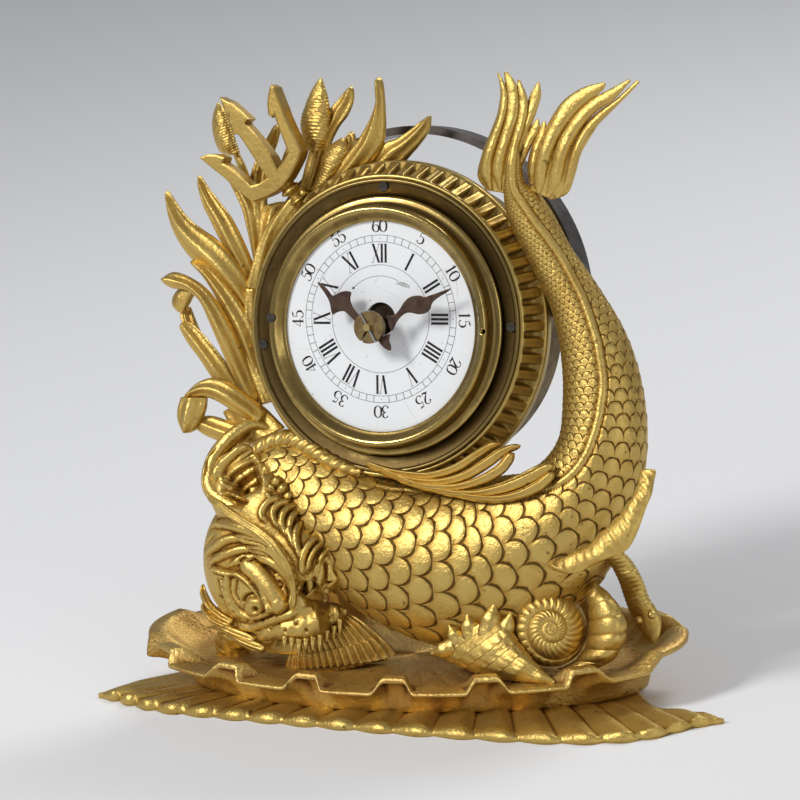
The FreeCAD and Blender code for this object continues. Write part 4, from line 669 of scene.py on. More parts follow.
def roman_strokes(letter, start):
    """Lines and widths of one letter whose left edge is at start."""
    wide = ROMAN_WIDTHS[letter]
    top, foot, middle = ROMAN_HALF, -ROMAN_HALF, start + wide / 2
    serif = wide * 0.36
    if letter == "I":
        strokes = [(((middle, foot), (middle, top)), ROMAN_THICK)]
        ends = [(middle, top), (middle, foot)]
    elif letter == "V":
        strokes = [(((start + 0.35 * MM, top), (middle, foot)), ROMAN_THICK),
                   (((middle, foot), (start + wide - 0.25 * MM, top)), HAIR)]
        ends = [(start + 0.35 * MM, top), (start + wide - 0.25 * MM, top)]
        serif = 0.4 * MM
    else:
        strokes = [(((start + 0.3 * MM, top), (start + wide - 0.3 * MM, foot)), ROMAN_THICK),
                   (((start + 0.2 * MM, foot), (start + wide - 0.2 * MM, top)), HAIR)]
        ends = [(start + 0.3 * MM, top), (start + wide - 0.3 * MM, foot), (start + 0.2 * MM, foot),
                (start + wide - 0.2 * MM, top)]
        serif = 0.4 * MM
    return strokes + [(((x - serif, y), (x + serif, y)), HAIR) for x, y in ends]


for hour, letters in enumerate(HOURS):
    start = -sum(ROMAN_WIDTHS[letter] for letter in letters) / 2
    for letter in letters:
        for line, width in roman_strokes(letter, start):
            marks.append(pen(turned_flat(line, hour * 30, ROMAN_MIDDLE), [width]))
        start += ROMAN_WIDTHS[letter]
print("with hours:", len(marks))

# %% [markdown]
# The minutes outside the track are small upright figures with fat bowls and hairline joins. Each
# is a few pen lines in a box one unit high, with the pen's width as a share of the height.

# %% Arabic numerals
FIGURE_HEIGHT = 3.35 * MM
FIGURE_FOOT = 23.45 * MM
FIGURE_SHARES = {
    "0": [([(0, 1), (-0.24, 0.82), (-0.30, 0.5), (-0.24, 0.18), (0, 0)], [0.04, 0.14, 0.17, 0.14, 0.04]),
          ([(0, 0), (0.24, 0.18), (0.30, 0.5), (0.24, 0.82), (0, 1)], [0.04, 0.14, 0.17, 0.14, 0.04])],
    "1": [([(0.03, 1), (0.03, 0)], [0.16]),
          ([(-0.16, 0.84), (-0.03, 0.88), (0.04, 0.99)], [0.03, 0.06, 0.05]),
          ([(-0.16, 0.01), (0.22, 0.01)], [0.035])],
    "2": [([(-0.24, 0.72), (-0.17, 0.92), (0.03, 1), (0.23, 0.86), (0.20, 0.62), (-0.02, 0.30),
            (-0.27, 0.03)],
           [0.14, 0.05, 0.06, 0.16, 0.15, 0.07, 0.04]),
          ([(-0.27, 0.03), (-0.08, 0.10), (0.10, 0.03), (0.28, 0.12)], [0.05, 0.15, 0.13, 0.04])],
    "3": [([(-0.22, 0.84), (-0.02, 1), (0.19, 0.86), (0.16, 0.64), (-0.06, 0.55)],
           [0.12, 0.05, 0.14, 0.12, 0.03]),
          ([(-0.06, 0.55), (0.18, 0.46), (0.25, 0.24), (0.06, 0.01), (-0.17, 0.04), (-0.26, 0.20)],
           [0.03, 0.12, 0.17, 0.07, 0.06, 0.13])],
    "4": [([(0.10, 1), (0.10, 0)], [0.15]), ([(0.08, 0.99), (-0.12, 0.60), (-0.32, 0.29)], [0.04]),
          ([(-0.32, 0.29), (0.32, 0.29)], [0.05]), ([(-0.06, 0.01), (0.26, 0.01)], [0.035])],
    "5": [([(-0.16, 0.97), (0.02, 0.95), (0.22, 1.02)], [0.05, 0.13, 0.04]),
          ([(-0.15, 0.97), (-0.18, 0.55)], [0.05]),
          ([(-0.18, 0.55), (0.04, 0.63), (0.23, 0.48), (0.25, 0.22), (0.05, 0.01), (-0.17, 0.03),
            (-0.25, 0.18)],
           [0.03, 0.06, 0.15, 0.17, 0.07, 0.06, 0.12])],
    "6": [([(0.22, 0.87), (0.06, 0.99), (-0.16, 0.85), (-0.27, 0.48), (-0.23, 0.16), (-0.02, 0)],
           [0.10, 0.05, 0.10, 0.17, 0.15, 0.05]),
          ([(-0.02, 0), (0.20, 0.10), (0.27, 0.30), (0.16, 0.53), (-0.04, 0.58), (-0.22, 0.44)],
           [0.04, 0.12, 0.16, 0.10, 0.04, 0.03])]}
FIGURE_STEP = 0.66
for count in range(1, 13):
    figures = str(count * 5)
    for index, figure in enumerate(figures):
        shift = (index - (len(figures) - 1) / 2) * FIGURE_STEP
        for line, widths in FIGURE_SHARES[figure]:
            placed = (np.array(line) + [shift, 0]) * FIGURE_HEIGHT
            marks.append(pen(turned_flat(placed, count * 30, FIGURE_FOOT), np.array(widths) * FIGURE_HEIGHT,
                             14))
print("with minutes:", len(marks))

# %% [markdown]
# Above the arbor a hairline arc ends in an arrowhead at the left and in a small scribbled feather
# at the right: it tells which way to turn the hands.

# %% The arrow
ARROW_RADIUS = 11.6 * MM
marks += circle_marks(ARROW_RADIUS, HAIR, -43, 27, 6)
marks.append(pen(ring_point(ARROW_RADIUS, np.array([-46.5, -44, -42])), mm(0.05, 0.7, 0.1)))
for lane, (first, last) in enumerate(((26, 38), (29, 42), (27, 44), (31, 47), (35, 46))):
    radius = ARROW_RADIUS + (lane - 2) * 0.34 * MM
    marks.append(pen(ring_point(radius + 0.2 * MM * np.array([-1, 0.4, 1]), np.linspace(first, last, 3)),
                     [HAIR]))
finished(cast("dial_marks", marks), "case", ink, "enamel", relief=False, smooth=False)

# %% [markdown]
# The bezel is a turned ring: a bold convex moulding with a fine bead at the opening's lip. As on
# the lathe, we draw its half section once and spin it about the clock's axis. The hole of the missing
# screw is then drilled into its crown, right of the dial.

# %% Bezel moulding
OPENING_RADIUS = 28.5 * MM
BEZEL_OUTER = 35.2 * MM
BEZEL_SECTION_MM = (
    (28.5, 1.6), (28.5, 0.85), (28.8, 0.60), (29.2, 0.50), (29.45, 0.28), (29.9, -0.05), (30.4, -0.60),
    (30.9, -1.10), (31.4, -1.36), (31.9, -1.36), (32.35, -1.08), (32.65, -0.5), (32.8, 0.4), (32.95, 1.9),
    (33.2, 2.75), (33.8, 3.15), (34.5, 3.2), (35.0, 3.4), (35.18, 3.8), (35.18, 4.7), (32.65, 4.7),
    (32.65, 1.6))
SPIN_STEPS = 192
CROWN_RADIUS = (OPENING_RADIUS + BEZEL_OUTER) / 2
HOLE_RADIUS = 0.62 * MM
EMPTY_HOLE_DEG = 92.0
face_middle = Vector(on_face(0.0, 0.0, 0.0))
face_axis = Vector(leaned([0, 1, 0]) - leaned([0, 0, 0]))


def turned_ring(name, section_mm, steps=SPIN_STEPS):
    """A ring made by spinning a half section about the hands' axis."""
    bpy.ops.object.select_all(action="DESELECT")
    section = np.array(section_mm) * MM
    mesh = bpy.data.meshes.new(name)
    places = on_face(section[:, 0], 0.0, section[:, 1])
    count = len(section)
    mesh.from_pydata([tuple(p) for p in places], [(i, (i + 1) % count) for i in range(count)], [])
    piece = linked(name, mesh)
    bpy.context.view_layer.objects.active = piece
    piece.select_set(True)
    bpy.ops.object.mode_set(mode="EDIT")
    bpy.ops.mesh.select_all(action="SELECT")
    bpy.ops.mesh.spin(steps=steps, angle=2 * math.pi, center=face_middle, axis=face_axis)
    bpy.ops.mesh.select_all(action="SELECT")
    bpy.ops.mesh.remove_doubles(threshold=0.005 * MM)
    bpy.ops.mesh.normals_make_consistent(inside=False)
    bpy.ops.object.mode_set(mode="OBJECT")
    return piece


def drilled(piece, across, up, radius, front, behind):
    """Bores a straight round hole through a piece, along the hands' axis."""
    bpy.ops.object.select_all(action="DESELECT")
    place = on_face(across, up, (front + behind) / 2)
    bpy.ops.mesh.primitive_cylinder_add(vertices=24, radius=radius, depth=behind - front, location=place,
                                        rotation=(math.radians(90) - LEAN, 0, 0))
    drill = bpy.context.object
    applied(piece, "BOOLEAN", operation="DIFFERENCE", object=drill)
    bpy.data.objects.remove(drill)


bezel = turned_ring("bezel_ring", BEZEL_SECTION_MM)
hole_at = ring_point(CROWN_RADIUS, EMPTY_HOLE_DEG)
drilled(bezel, hole_at[0], hole_at[1], HOLE_RADIUS, -3 * MM, 3 * MM)
finished(bezel, "case", metals["bezel_brass"], "gilt_bronze", "bezel_moulding", rounds=6)

# %% [markdown]
# The flange behind the bezel has a raised outer lip. Behind it the drum carries a flared ring of
# pleats: sixty narrow grooves pressed into its slope.

# %% Flange and pleated ring
FLANGE_SECTION_MM = (
    (33.4, 4.7), (38.4, 4.7), (38.75, 4.5), (38.95, 4.1), (39.4, 3.95), (39.85, 4.15), (40.0, 4.6),
    (40.0, 5.9), (33.4, 5.9))
RING_SECTION_MM = (
    (40.0, 4.7), (40.5, 4.62), (40.9, 4.75), (41.2, 5.2), (41.45, 5.9), (41.75, 6.7), (42.1, 7.5),
    (42.45, 8.3), (42.8, 9.1), (43.15, 9.9), (43.5, 10.7), (43.8, 11.3), (44.0, 11.8), (44.35, 12.0),
    (44.65, 12.2), (44.7, 12.6), (44.7, 14.6), (44.5, 15.0), (40.0, 15.0))
PLEAT_COUNT = 60
GROOVE_DEPTH = 2.3 * MM
# The flange's aged brass is darkened partly as painted shade
finished(turned_ring("lipped_flange", FLANGE_SECTION_MM), "case", metals["aged_brass"], "aged_brass",
         "bezel_flange", rounds=6)

pleated = turned_ring("pleated_ring", RING_SECTION_MM, steps=PLEAT_COUNT * 20)
places = upright(read_points(pleated.data))
rise = places[:, 2] - AXIS_HEIGHT
radius = np.hypot(places[:, 0], rise)
deep = places[:, 1] + OPENING_FORWARD
deep_mm = deep / MM
phase = np.mod(np.arctan2(places[:, 0], rise) * PLEAT_COUNT / (2 * np.pi), 1) - 0.5
sloped = np.clip((deep_mm - 5.3) / 0.8, 0, 1) * np.clip((11.7 - deep_mm) / 0.7, 0, 1) * (radius > 40.6 * MM)
shift = sloped * (0.2 * MM * np.cos(np.pi * phase) - GROOVE_DEPTH * np.exp(-(phase / 0.21) ** 6)) / radius
places[:, 0] += places[:, 0] * shift
places[:, 2] += rise * shift
pleated.data.vertices.foreach_set("co", leaned(places).ravel())
# The pleated ring gets the lighter copy of the aged brass as painted light
finished(pleated, "case", metals["aged_brass_lit_rim"], "aged_brass", "fluted_ring", rounds=26)

# %% [markdown]
# The hands are sawn from thin steel and filed: the hour hand has a spade with hollow sides, the
# minute hand a long egg and a short tail. Their outlines are read off the photograph on each
# hand's own plane, and a small bevel rounds the filed edges.

# %% Hands
HOUR_HAND_DEPTH = -3.2 * MM
MINUTE_HAND_DEPTH = -4.4 * MM
HAND_THICK = 0.5 * MM
HAND_HUB = 3.4 * MM
HAND_VOXEL = 0.09 * MM
HOUR_HAND_PIXELS = (
    (358.0, 314.6), (353.6, 309.2), (350.4, 302.4), (349.8, 297.2), (350.9, 292.6), (347.0, 291.0),
    (341.4, 291.6), (336.4, 294.2), (331.6, 295.2), (327.2, 289.6), (322.0, 284.6), (317.0, 281.8),
    (319.4, 286.2), (324.4, 293.0), (328.4, 300.0), (330.2, 306.0), (331.0, 311.2), (332.8, 314.8),
    (335.8, 312.8), (340.2, 311.4), (344.6, 311.6), (350.0, 316.4), (356.0, 321.6))
MINUTE_HAND_PIXELS = (
    (386.0, 315.8), (393.6, 315.0), (399.0, 309.8), (403.4, 302.8), (407.8, 298.2), (413.4, 295.8),
    (419.6, 295.6), (424.4, 297.0), (429.4, 295.4), (436.6, 293.0), (443.8, 290.4), (451.0, 288.2),
    (446.2, 292.6), (439.6, 296.4), (433.8, 300.6), (431.2, 304.2), (430.2, 308.0), (427.8, 311.4),
    (423.6, 313.8), (417.8, 314.4), (412.0, 313.0), (406.4, 313.0), (401.4, 315.8), (396.2, 322.2),
    (391.0, 331.0))
MINUTE_TAIL_PIXELS = (
    (377.0, 339.0), (380.0, 343.6), (383.6, 347.6), (389.8, 350.8), (390.4, 346.0), (388.6, 340.0),
    (389.0, 334.0))


def hand_outline(pixels, depth):
    places = at_photo(np.array(pixels)[:, 0], np.array(pixels)[:, 1], depth - OPENING_FORWARD)
    return np.stack([places[:, 0], places[:, 2] - AXIS_HEIGHT], -1)


def hand_piece(name, outlines, depth, bore, body, node):
    """A flat hand from outlines and a hub, cut out with a fine bevel."""
    forms = []
    for outline in outlines:
        closed = smooth_line(np.concatenate([outline, outline[:1]]), 5 * len(outline))[:-1]
        forms.append(slab(closed, depth, depth + HAND_THICK))
    hub = [ring_point(HAND_HUB, degrees) for degrees in range(0, 360, 6)]
    forms.append(slab(hub, depth - 0.02 * MM, depth + HAND_THICK + 0.02 * MM))
    piece = cast(name, forms)
    melted(piece, HAND_VOXEL, 3)
    drilled(piece, 0.0, 0.0, bore, depth - 2 * MM, depth + 2 * MM)
    return finished(piece, body, metals["hand_steel"], "hand_steel", node, rounds=8)


hand_piece("hour_spade", [hand_outline(HOUR_HAND_PIXELS, HOUR_HAND_DEPTH)], HOUR_HAND_DEPTH, 2.3 * MM,
           "hour", "hour_hand")
hand_piece("minute_egg", [hand_outline(MINUTE_HAND_PIXELS, MINUTE_HAND_DEPTH),
                          hand_outline(MINUTE_TAIL_PIXELS, MINUTE_HAND_DEPTH)], MINUTE_HAND_DEPTH, 1.0 * MM,
           "minute", "minute_hand")

# %% [markdown]
# ## The dolphin's body
# The body is one long tube. Its path table holds the middle of the body, its half width across
# and its half depth, in shares of the drum's radius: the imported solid's path, corrected against the
# photograph. We skin it with a fine grid, because the scales are cast in relief and have to catch the
# light as real edges.

# %% Tubes along a path
BODY_SHARES = (
    (-1.12, -0.10, 1.58, 0.05, 0.05),
    (-1.04, -0.09, 1.57, 0.20, 0.15),
    (-0.92, -0.08, 1.52, 0.32, 0.22),
    (-0.74, -0.05, 1.42, 0.40, 0.28),
    (-0.36, -0.05, 1.22, 0.44, 0.35),
    (0.01, -0.05, 1.06, 0.50, 0.39),
    (0.39, -0.03, 0.98, 0.56, 0.41),
    (0.77, 0.00, 1.03, 0.56, 0.41),
    (1.12, 0.00, 1.21, 0.48, 0.37),
    (1.35, 0.03, 1.47, 0.37, 0.31),
    (1.48, 0.04, 1.77, 0.31, 0.27),
    (1.49, 0.05, 2.12, 0.28, 0.24),
    (1.43, 0.05, 2.45, 0.24, 0.21),
    (1.31, 0.03, 2.76, 0.185, 0.17),
    (1.16, 0.00, 3.03, 0.155, 0.14),
    (1.03, -0.03, 3.28, 0.155, 0.12),
    (0.96, -0.06, 3.43, 0.135, 0.10),
    (0.928, -0.10, 3.53, 0.09, 0.08),
    (0.930, -0.12, 3.61, 0.066, 0.07),
    (0.940, -0.14, 3.70, 0.056, 0.06),
    (0.955, -0.155, 3.79, 0.03, 0.03),
    (0.970, -0.16, 3.85, 0.006, 0.006))
DEPTH_AXIS = np.array([0, 1, 0])


def unit(vectors):
    return vectors / np.linalg.norm(vectors, axis=-1, keepdims=True)


BODY_ROWS = 480
BODY_COLUMNS = 196
SCALES_ROUND = 17
ROW_SHARE = 0.80

# Rows of the grid lie close where the scales are small, so that each scale gets as many of them
line = smooth_line(np.array(BODY_SHARES) * DRUM_RADIUS, 1600)
scale_width = 2 * np.pi * np.sqrt((line[:, 3] ** 2 + line[:, 4] ** 2) / 2) / SCALES_ROUND
step_length = np.linalg.norm(np.gradient(line[:, :3], axis=0), axis=1)
row_count = np.cumsum(step_length / (scale_width * ROW_SHARE))
even = np.linspace(row_count[0], row_count[-1], BODY_ROWS)
line = np.stack([np.interp(even, row_count, column) for column in line.T], -1)
row_count = even
body_middle, body_wide, body_deep = line[:, :3], line[:, 3], line[:, 4]
girth = 2 * np.pi * np.sqrt((body_wide ** 2 + body_deep ** 2) / 2)
scale_width = girth / SCALES_ROUND
round_count = np.arange(BODY_COLUMNS) / BODY_COLUMNS * SCALES_ROUND
along = unit(np.gradient(body_middle, axis=0))
across = unit(np.cross(along, DEPTH_AXIS))
inward = unit(np.cross(across, along))
turn = around(BODY_COLUMNS)
body_grid = (body_middle[:, None] + across[:, None] * (body_wide[:, None] * np.cos(turn))[..., None]
             + inward[:, None] * (body_deep[:, None] * np.sin(turn))[..., None])
print("rows of scales:", int(row_count[-1]), "widest", round(scale_width.max() / MM, 1), "mm")


def grid_normals(grid):
    """Outward directions of a grid of rings."""
    along = np.gradient(grid, axis=0)
    round_it = np.roll(grid, -1, axis=1) - np.roll(grid, 1, axis=1)
    out = unit(np.cross(round_it, along))
    side = ((grid - grid.mean(1, keepdims=True)) * out).sum()
    return out if side > 0 else -out


body_out = grid_normals(body_grid)
print("body grid", body_grid.shape)

# %% [markdown]
# Scales overlap like roof tiles, and their round edges point to the tail. Along the body we count
# rows, round the body we count scales, and every other row is set over by half a scale. A point
# belongs to the scale whose free edge it hasn't passed yet. Each scale rises from its root to its
# free edge and then drops to the next, with a soft crown across it.

# %% Scales
SCALE_RISE_SHARE = 0.12
FINER_INSIDE = 1.45


def scale_relief(rows_along, scales_round):
    """Height of overlapping scales, from 0 to 1, over counts of rows and of scales."""
    row = np.floor(rows_along)
    part = rows_along - row

    def beside(row):
        place = scales_round - 0.5 * np.mod(row, 2)
        return place - np.round(place)

    def free_edge(side):
        return 0.3 + 0.7 * np.sqrt(np.clip(1 - (2 * side) ** 2, 0, 1))

    first = beside(row)
    passed = part > free_edge(first)
    side = np.where(passed, beside(row + 1), first)
    place = np.where(passed, part - 1, part)
    to_edge = free_edge(side) - place
    rise = 0.35 + 0.65 * np.clip((place + 0.5) / 1.5, 0, 1)
    crown = 1 - 0.25 * (2 * side) ** 2
    return rise * crown * np.clip(to_edge / 0.13, 0, 1) ** 0.5


# %% [markdown]
# A smooth raised band parts the large scales of the flank from smaller ones on the inner side. Its
# course is read off the photograph: each pixel picks the nearest point of the side that faces the
# camera.

# %% The side band
BAND_PIXELS = (
    (380, 486), (432, 491), (480, 494), (530, 490), (556, 484), (578, 467), (592, 440), (600, 410),
    (603, 380), (598, 345), (588, 310), (572, 275), (556, 248), (536, 222), (520, 200))
BAND_HALF = 1.15 * MM
BAND_RISE = 0.75 * MM
BAND_FADE_ROWS = 16
END_FADE_ROWS = 12
body_pixels = to_photo(body_grid)
facing = (body_out * unit(EYE - body_grid)).sum(-1) > 0.12


def nearest_on_body(pixels):
    """Grid places, as row and column, of pixels on the body's visible side."""
    rows, columns = np.nonzero(facing)
    seen = body_pixels[rows, columns]
    picked = [np.argmin(((seen - pixel) ** 2).sum(-1)) for pixel in pixels]
    return np.stack([rows[picked], columns[picked]], -1)


band = nearest_on_body(smooth_line(BAND_PIXELS, 60))
band_column = np.interp(np.arange(BODY_ROWS), band[:, 0], np.unwrap(band[:, 1], period=BODY_COLUMNS))
band_column = evened(band_column, 12)
column_step = girth / BODY_COLUMNS
half_round = BODY_COLUMNS / 2
away = (np.arange(BODY_COLUMNS)[None] - band_column[:, None] + half_round) % BODY_COLUMNS - half_round
away = away * column_step[:, None]
row_number = np.arange(BODY_ROWS)[:, None]
in_reach = np.clip((row_number - band[0, 0]) / BAND_FADE_ROWS + 0.5, 0, 1)
inner_side = ((away > 0) & (away < 0.5 * girth[:, None])) & (row_number > band[0, 0])
fine_scale = np.where(inner_side, FINER_INSIDE, 1.0)
height = scale_relief(row_count[:, None] * fine_scale, round_count[None] * fine_scale) / fine_scale
height = height * scale_width[:, None] * SCALE_RISE_SHARE
profile = np.clip(1 - (away / BAND_HALF) ** 2, 0, 1) ** 0.5
moat = np.exp(-((np.abs(away) - BAND_HALF * 1.15) / (0.35 * MM)) ** 2)
near = in_reach * np.clip(1.6 - np.abs(away) / BAND_HALF, 0, 1)
height = height * (1 - near) + in_reach * (profile * BAND_RISE - moat * 0.2 * MM)
neck = np.clip((row_count[:, None] - 1.5) / 1.5, 0, 1)
neck = neck * np.clip((BODY_ROWS - row_number) / END_FADE_ROWS - 1, 0, 1)
height = height * neck - 0.25 * MM
scaled = neck * (1 - near)
body_form = tube_form(body_grid + body_out * height[..., None])

# %% [markdown]
# Under the belly a plain rock like foot ties the body to the tray. Its surface is rough, so it's a
# tube with a little noise on it. Both make one casting.

# %% Body casting
BELLY_FOOT_SHARES = (
    (0.66, 0.02, 0.80, 0.30, 0.20), (0.66, 0.06, 0.56, 0.22, 0.16), (0.66, 0.12, 0.38, 0.22, 0.16),
    (0.66, 0.16, 0.20, 0.28, 0.20))
rough = np.random.default_rng(7)


def lumps(shape, amount, soften=3):
    """Smooth random bumps over a grid."""
    field = rough.normal(size=shape)
    for _ in range(soften):
        field = (field + np.roll(field, 1, 0) + np.roll(field, -1, 0) + np.roll(field, 1, 1)
                 + np.roll(field, -1, 1)) / 5
    return field / np.abs(field).max() * amount


def upright_tube(shares, rows, columns):
    """A tube along a nearly upright path, whose width runs along X."""
    line = smooth_line(np.array(shares) * DRUM_RADIUS, rows)
    turn = around(columns)
    ring = np.stack([np.cos(turn), np.sin(turn), 0 * turn], -1)
    return line[:, None, :3] + ring[None] * np.stack([line[:, 3], line[:, 4], 0 * line[:, 3]], -1)[:, None]


foot_grid = upright_tube(BELLY_FOOT_SHARES, 60, 72)
foot_grid = foot_grid + grid_normals(foot_grid) * lumps((60, 72), 0.5 * MM)[..., None]


def mark_scales(piece):
    """Stores the counts of rows and scales as a UV map, and where the skin has scales."""
    mesh = piece.data
    corner = np.empty(len(mesh.loops), int)
    mesh.loops.foreach_get("vertex_index", corner)
    size = np.empty(len(mesh.polygons), int)
    mesh.polygons.foreach_get("loop_total", size)
    face = np.repeat(np.arange(len(size)), size)
    on_body = corner < BODY_ROWS * BODY_COLUMNS
    row, column = np.minimum(corner // BODY_COLUMNS, BODY_ROWS - 1), corner % BODY_COLUMNS
    closing = np.bincount(face, on_body & (column == BODY_COLUMNS - 1)) > 0
    column = np.where(closing[face] & (column == 0), BODY_COLUMNS, column)
    inside = (np.bincount(face, inner_side[row, column % BODY_COLUMNS]) > size / 2)[face]
    finer = np.where(inside, FINER_INSIDE, 1.0) * on_body
    places = np.stack([row_count[row], column / BODY_COLUMNS * SCALES_ROUND], -1) * finer[:, None]
    mesh.uv_layers.new(name="scales").data.foreach_set("uv", places.astype(np.float32).ravel())
    share = np.zeros(len(mesh.vertices), np.float32)
    share[:BODY_ROWS * BODY_COLUMNS] = scaled.ravel()
    mesh.attributes.new("scaled", "FLOAT", "POINT").data.foreach_set("value", share)


body_piece = cast("scaled_body", leaned_forms([body_form, tube_form(foot_grid)]))
mark_scales(body_piece)
finished(body_piece, "case", gilt_scaled, "gilt_bronze", "dolphin_body", rounds=10)

# %% [markdown]
# ## Leaves and fins
# Reeds, flukes and fins are thin castings with rounded edges and grooves along them. One helper
# makes them all: it takes a left and a right edge in space, lays a crowned and grooved face
# between them, closes it with a back, and gives a watertight form.

# %% Blade helper
def blade_form(left, right, thick, crown=0.0, grooves=0, groove_depth=0.0, columns=24, cross=None):
    """A closed thin form between two edges of the same number of points, with rounded ends."""
    rows = len(left)
    from_end = np.minimum(np.arange(rows), np.arange(rows)[::-1])[:, None] / (rows - 1)
    end = np.sqrt(1 - (1 - np.clip(from_end / 0.045, 0.004, 1)) ** 2)
    left, right = (left + right) / 2 + (left - right) / 2 * end, (left + right) / 2 + (right - left) / 2 * end
    across = np.linspace(0, 1, columns)
    centred = 2 * across - 1
    thick = eased(thick, rows)[:, None] * end
    crown = eased(crown, rows)[:, None] * end
    rounded = np.sqrt(np.clip(1 - centred ** 4, 0, 1))[None]
    flat = left[:, None] + (right - left)[:, None] * across[None, :, None]
    along = np.gradient((left + right) / 2, axis=0)
    out = unit(np.cross(right - left, along))
    out = np.where(((EYE - left) * out).sum(-1, keepdims=True) > 0, out, -out)
    place = np.linspace(0, 1, rows)[:, None]
    wave = np.cos(2 * np.pi * (grooves * across[None]))
    fade = np.clip(np.minimum(place * 8, (1 - place) * 6), 0, 1)
    relief = (wave - 1) / 2 * groove_depth * fade * rounded
    if cross is not None:
        relief = relief + cross(place, across[None]) * rounded
    arch = crown * (1 - centred ** 2)[None]
    front = flat + out[:, None] * (arch + thick / 2 * rounded + relief)[..., None]
    behind = flat + out[:, None] * (arch * 0.8 - thick / 2 * rounded + relief * 0.3)[..., None]
    return tube_form(np.concatenate([front, behind[:, ::-1][:, 1:-1]], axis=1))


def photo_line(pixels, depth, rows):
    """An even line in space from pixels of the photograph and depths in mm, larger to the back."""
    line = smooth_line(pixels, rows)
    return at_photo(line[:, 0], line[:, 1], eased(np.array(depth) * MM, rows))


def photo_blade(left_pixels, right_pixels, left_depth, right_depth, thick, rows=70, **more):
    """A blade whose edges are read off the photograph, each at its own depths."""
    left = photo_line(left_pixels, left_depth, rows)
    right = photo_line(right_pixels, right_depth, rows)
    return blade_form(left, right, thick, **more)


def round_tube(places, radii, rows=40, columns=20, swell=None):
    """A round tube along places in space, in metres, closed at both ends."""
    middle = smooth_line(places, rows)
    along = unit(np.gradient(middle, axis=0))
    side = unit(np.cross(along, VIEW_BACK + 0.01))
    other = np.cross(along, side)
    turn = around(columns)
    radius = eased(radii, rows)[:, None] * np.ones(columns)
    if swell is not None:
        radius = radius * (1 + swell(np.linspace(0, 1, rows)[:, None], turn[None]))
    return tube_form(middle[:, None] + side[:, None] * (radius * np.cos(turn))[..., None]
                     + other[:, None] * (radius * np.sin(turn))[..., None])


# %% [markdown]
# Rounder castings lie between two outlines that are read off the photograph, and the trident is a
# flat plate inside one outline.

# %% Cast shapes between two outlines
PIXELS_PER_MM = 3.72


def photo_body(left_pixels, right_pixels, depth, bulge, rows=80, columns=40, swell=None):
    """A round form between two outlines on the photograph; bulge is its half depth in mm."""
    left, right = (photo_line(pixels, depth, rows) for pixels in (left_pixels, right_pixels))
    turn = around(columns)
    grow = np.ones((rows, columns))
    if swell is not None:
        grow = grow + swell(np.linspace(0, 1, rows)[:, None], turn[None])
    deep = eased(np.array(bulge) * MM, rows)[:, None]
    return tube_form((left + right)[:, None] / 2
                     + (right - left)[:, None] / 2 * (np.cos(turn) * grow)[..., None]
                     + VIEW_BACK * (deep * np.sin(turn) * grow)[..., None])


def photo_plate(outline, depth, thick, bevel):
    """A flat plate with filed edges, sawn to an outline on the photograph; sizes in mm."""
    curve = bpy.data.curves.new("outline", "CURVE")
    curve.dimensions = "2D"
    curve.fill_mode = "BOTH"
    curve.extrude = thick / 2 - bevel
    curve.bevel_depth = bevel
    curve.bevel_resolution = 1
    curve.offset = -bevel
    spline = curve.splines.new("POLY")
    spline.points.add(len(outline) - 1)
    for point, (across, down) in zip(spline.points, outline):
        point.co = (across / PIXELS_PER_MM, -down / PIXELS_PER_MM, 0, 1)
    spline.use_cyclic_u = True
    holder = bpy.data.objects.new("outline", curve)
    mesh = holder.to_mesh()
    flat = np.array([corner.co for corner in mesh.vertices])
    faces = [list(face.vertices) for face in mesh.polygons]
    holder.to_mesh_clear()
    bpy.data.objects.remove(holder)
    bpy.data.curves.remove(curve)
    place = at_photo(flat[:, 0] * PIXELS_PER_MM, -flat[:, 1] * PIXELS_PER_MM, depth * MM)
    place[:, 1] -= flat[:, 2] * MM
    return place, faces


# %% [markdown]
# The tail ends in two flukes. Each is a sheaf of rounded lobes that start together in a full base
# beside the tail's tip and sweep up and out to points. Fine beads run along the valleys.

# %% Tail flukes
def fluke_beads(place, turn):
    return 0.035 * np.sin(place * 290) * (np.abs(np.cos(turn)) > 0.72) * np.clip((1 - place) * 5, 0, 1)


LOBE_BULGE = (1.2, 2.8, 2.9, 2.3, 1.6, 0.9, 0.3)
LEFT_LOBES = (
    (((489, 191), (479, 174), (481, 157), (487, 140), (495.5, 120), (500, 98), (499.5, 84), (497, 73)),
     ((492, 191), (493, 176), (493.5, 160), (499, 140), (505, 120), (508, 103), (506, 87), (499, 73)),
     (-3.8, -4.6, -5.0, -5.2)),
    (((498, 190), (490, 174), (491, 160), (497, 140), (503, 120), (506, 103), (505, 86), (504, 72)),
     ((502, 190), (505, 173), (507, 158), (512, 138), (518, 118), (519, 101), (516, 84), (508, 72)),
     (-3.6, -4.2, -4.6, -4.8)),
    (((505, 188), (502, 172), (504, 158), (510, 138), (516, 118), (518, 100), (517, 88), (517, 80)),
     ((509, 187), (514, 168), (520, 146), (525, 128), (528, 112), (527, 96), (520, 80)),
     (-3.4, -3.9, -4.2, -4.4)),
    (((510, 178), (512, 157), (517, 138), (523, 115), (530, 95), (537.5, 82)),
     ((514, 176), (522, 150), (529, 132), (536, 114), (541, 96), (540, 83)), (-2.0, -2.6, -3.2, -3.6)),
    (((512, 182), (514, 165), (522, 143), (530, 128), (536.5, 119)),
     ((517, 180), (525, 161), (533, 143), (540, 129), (539, 119)), (-2.8, -3.2, -3.6, -3.8)))
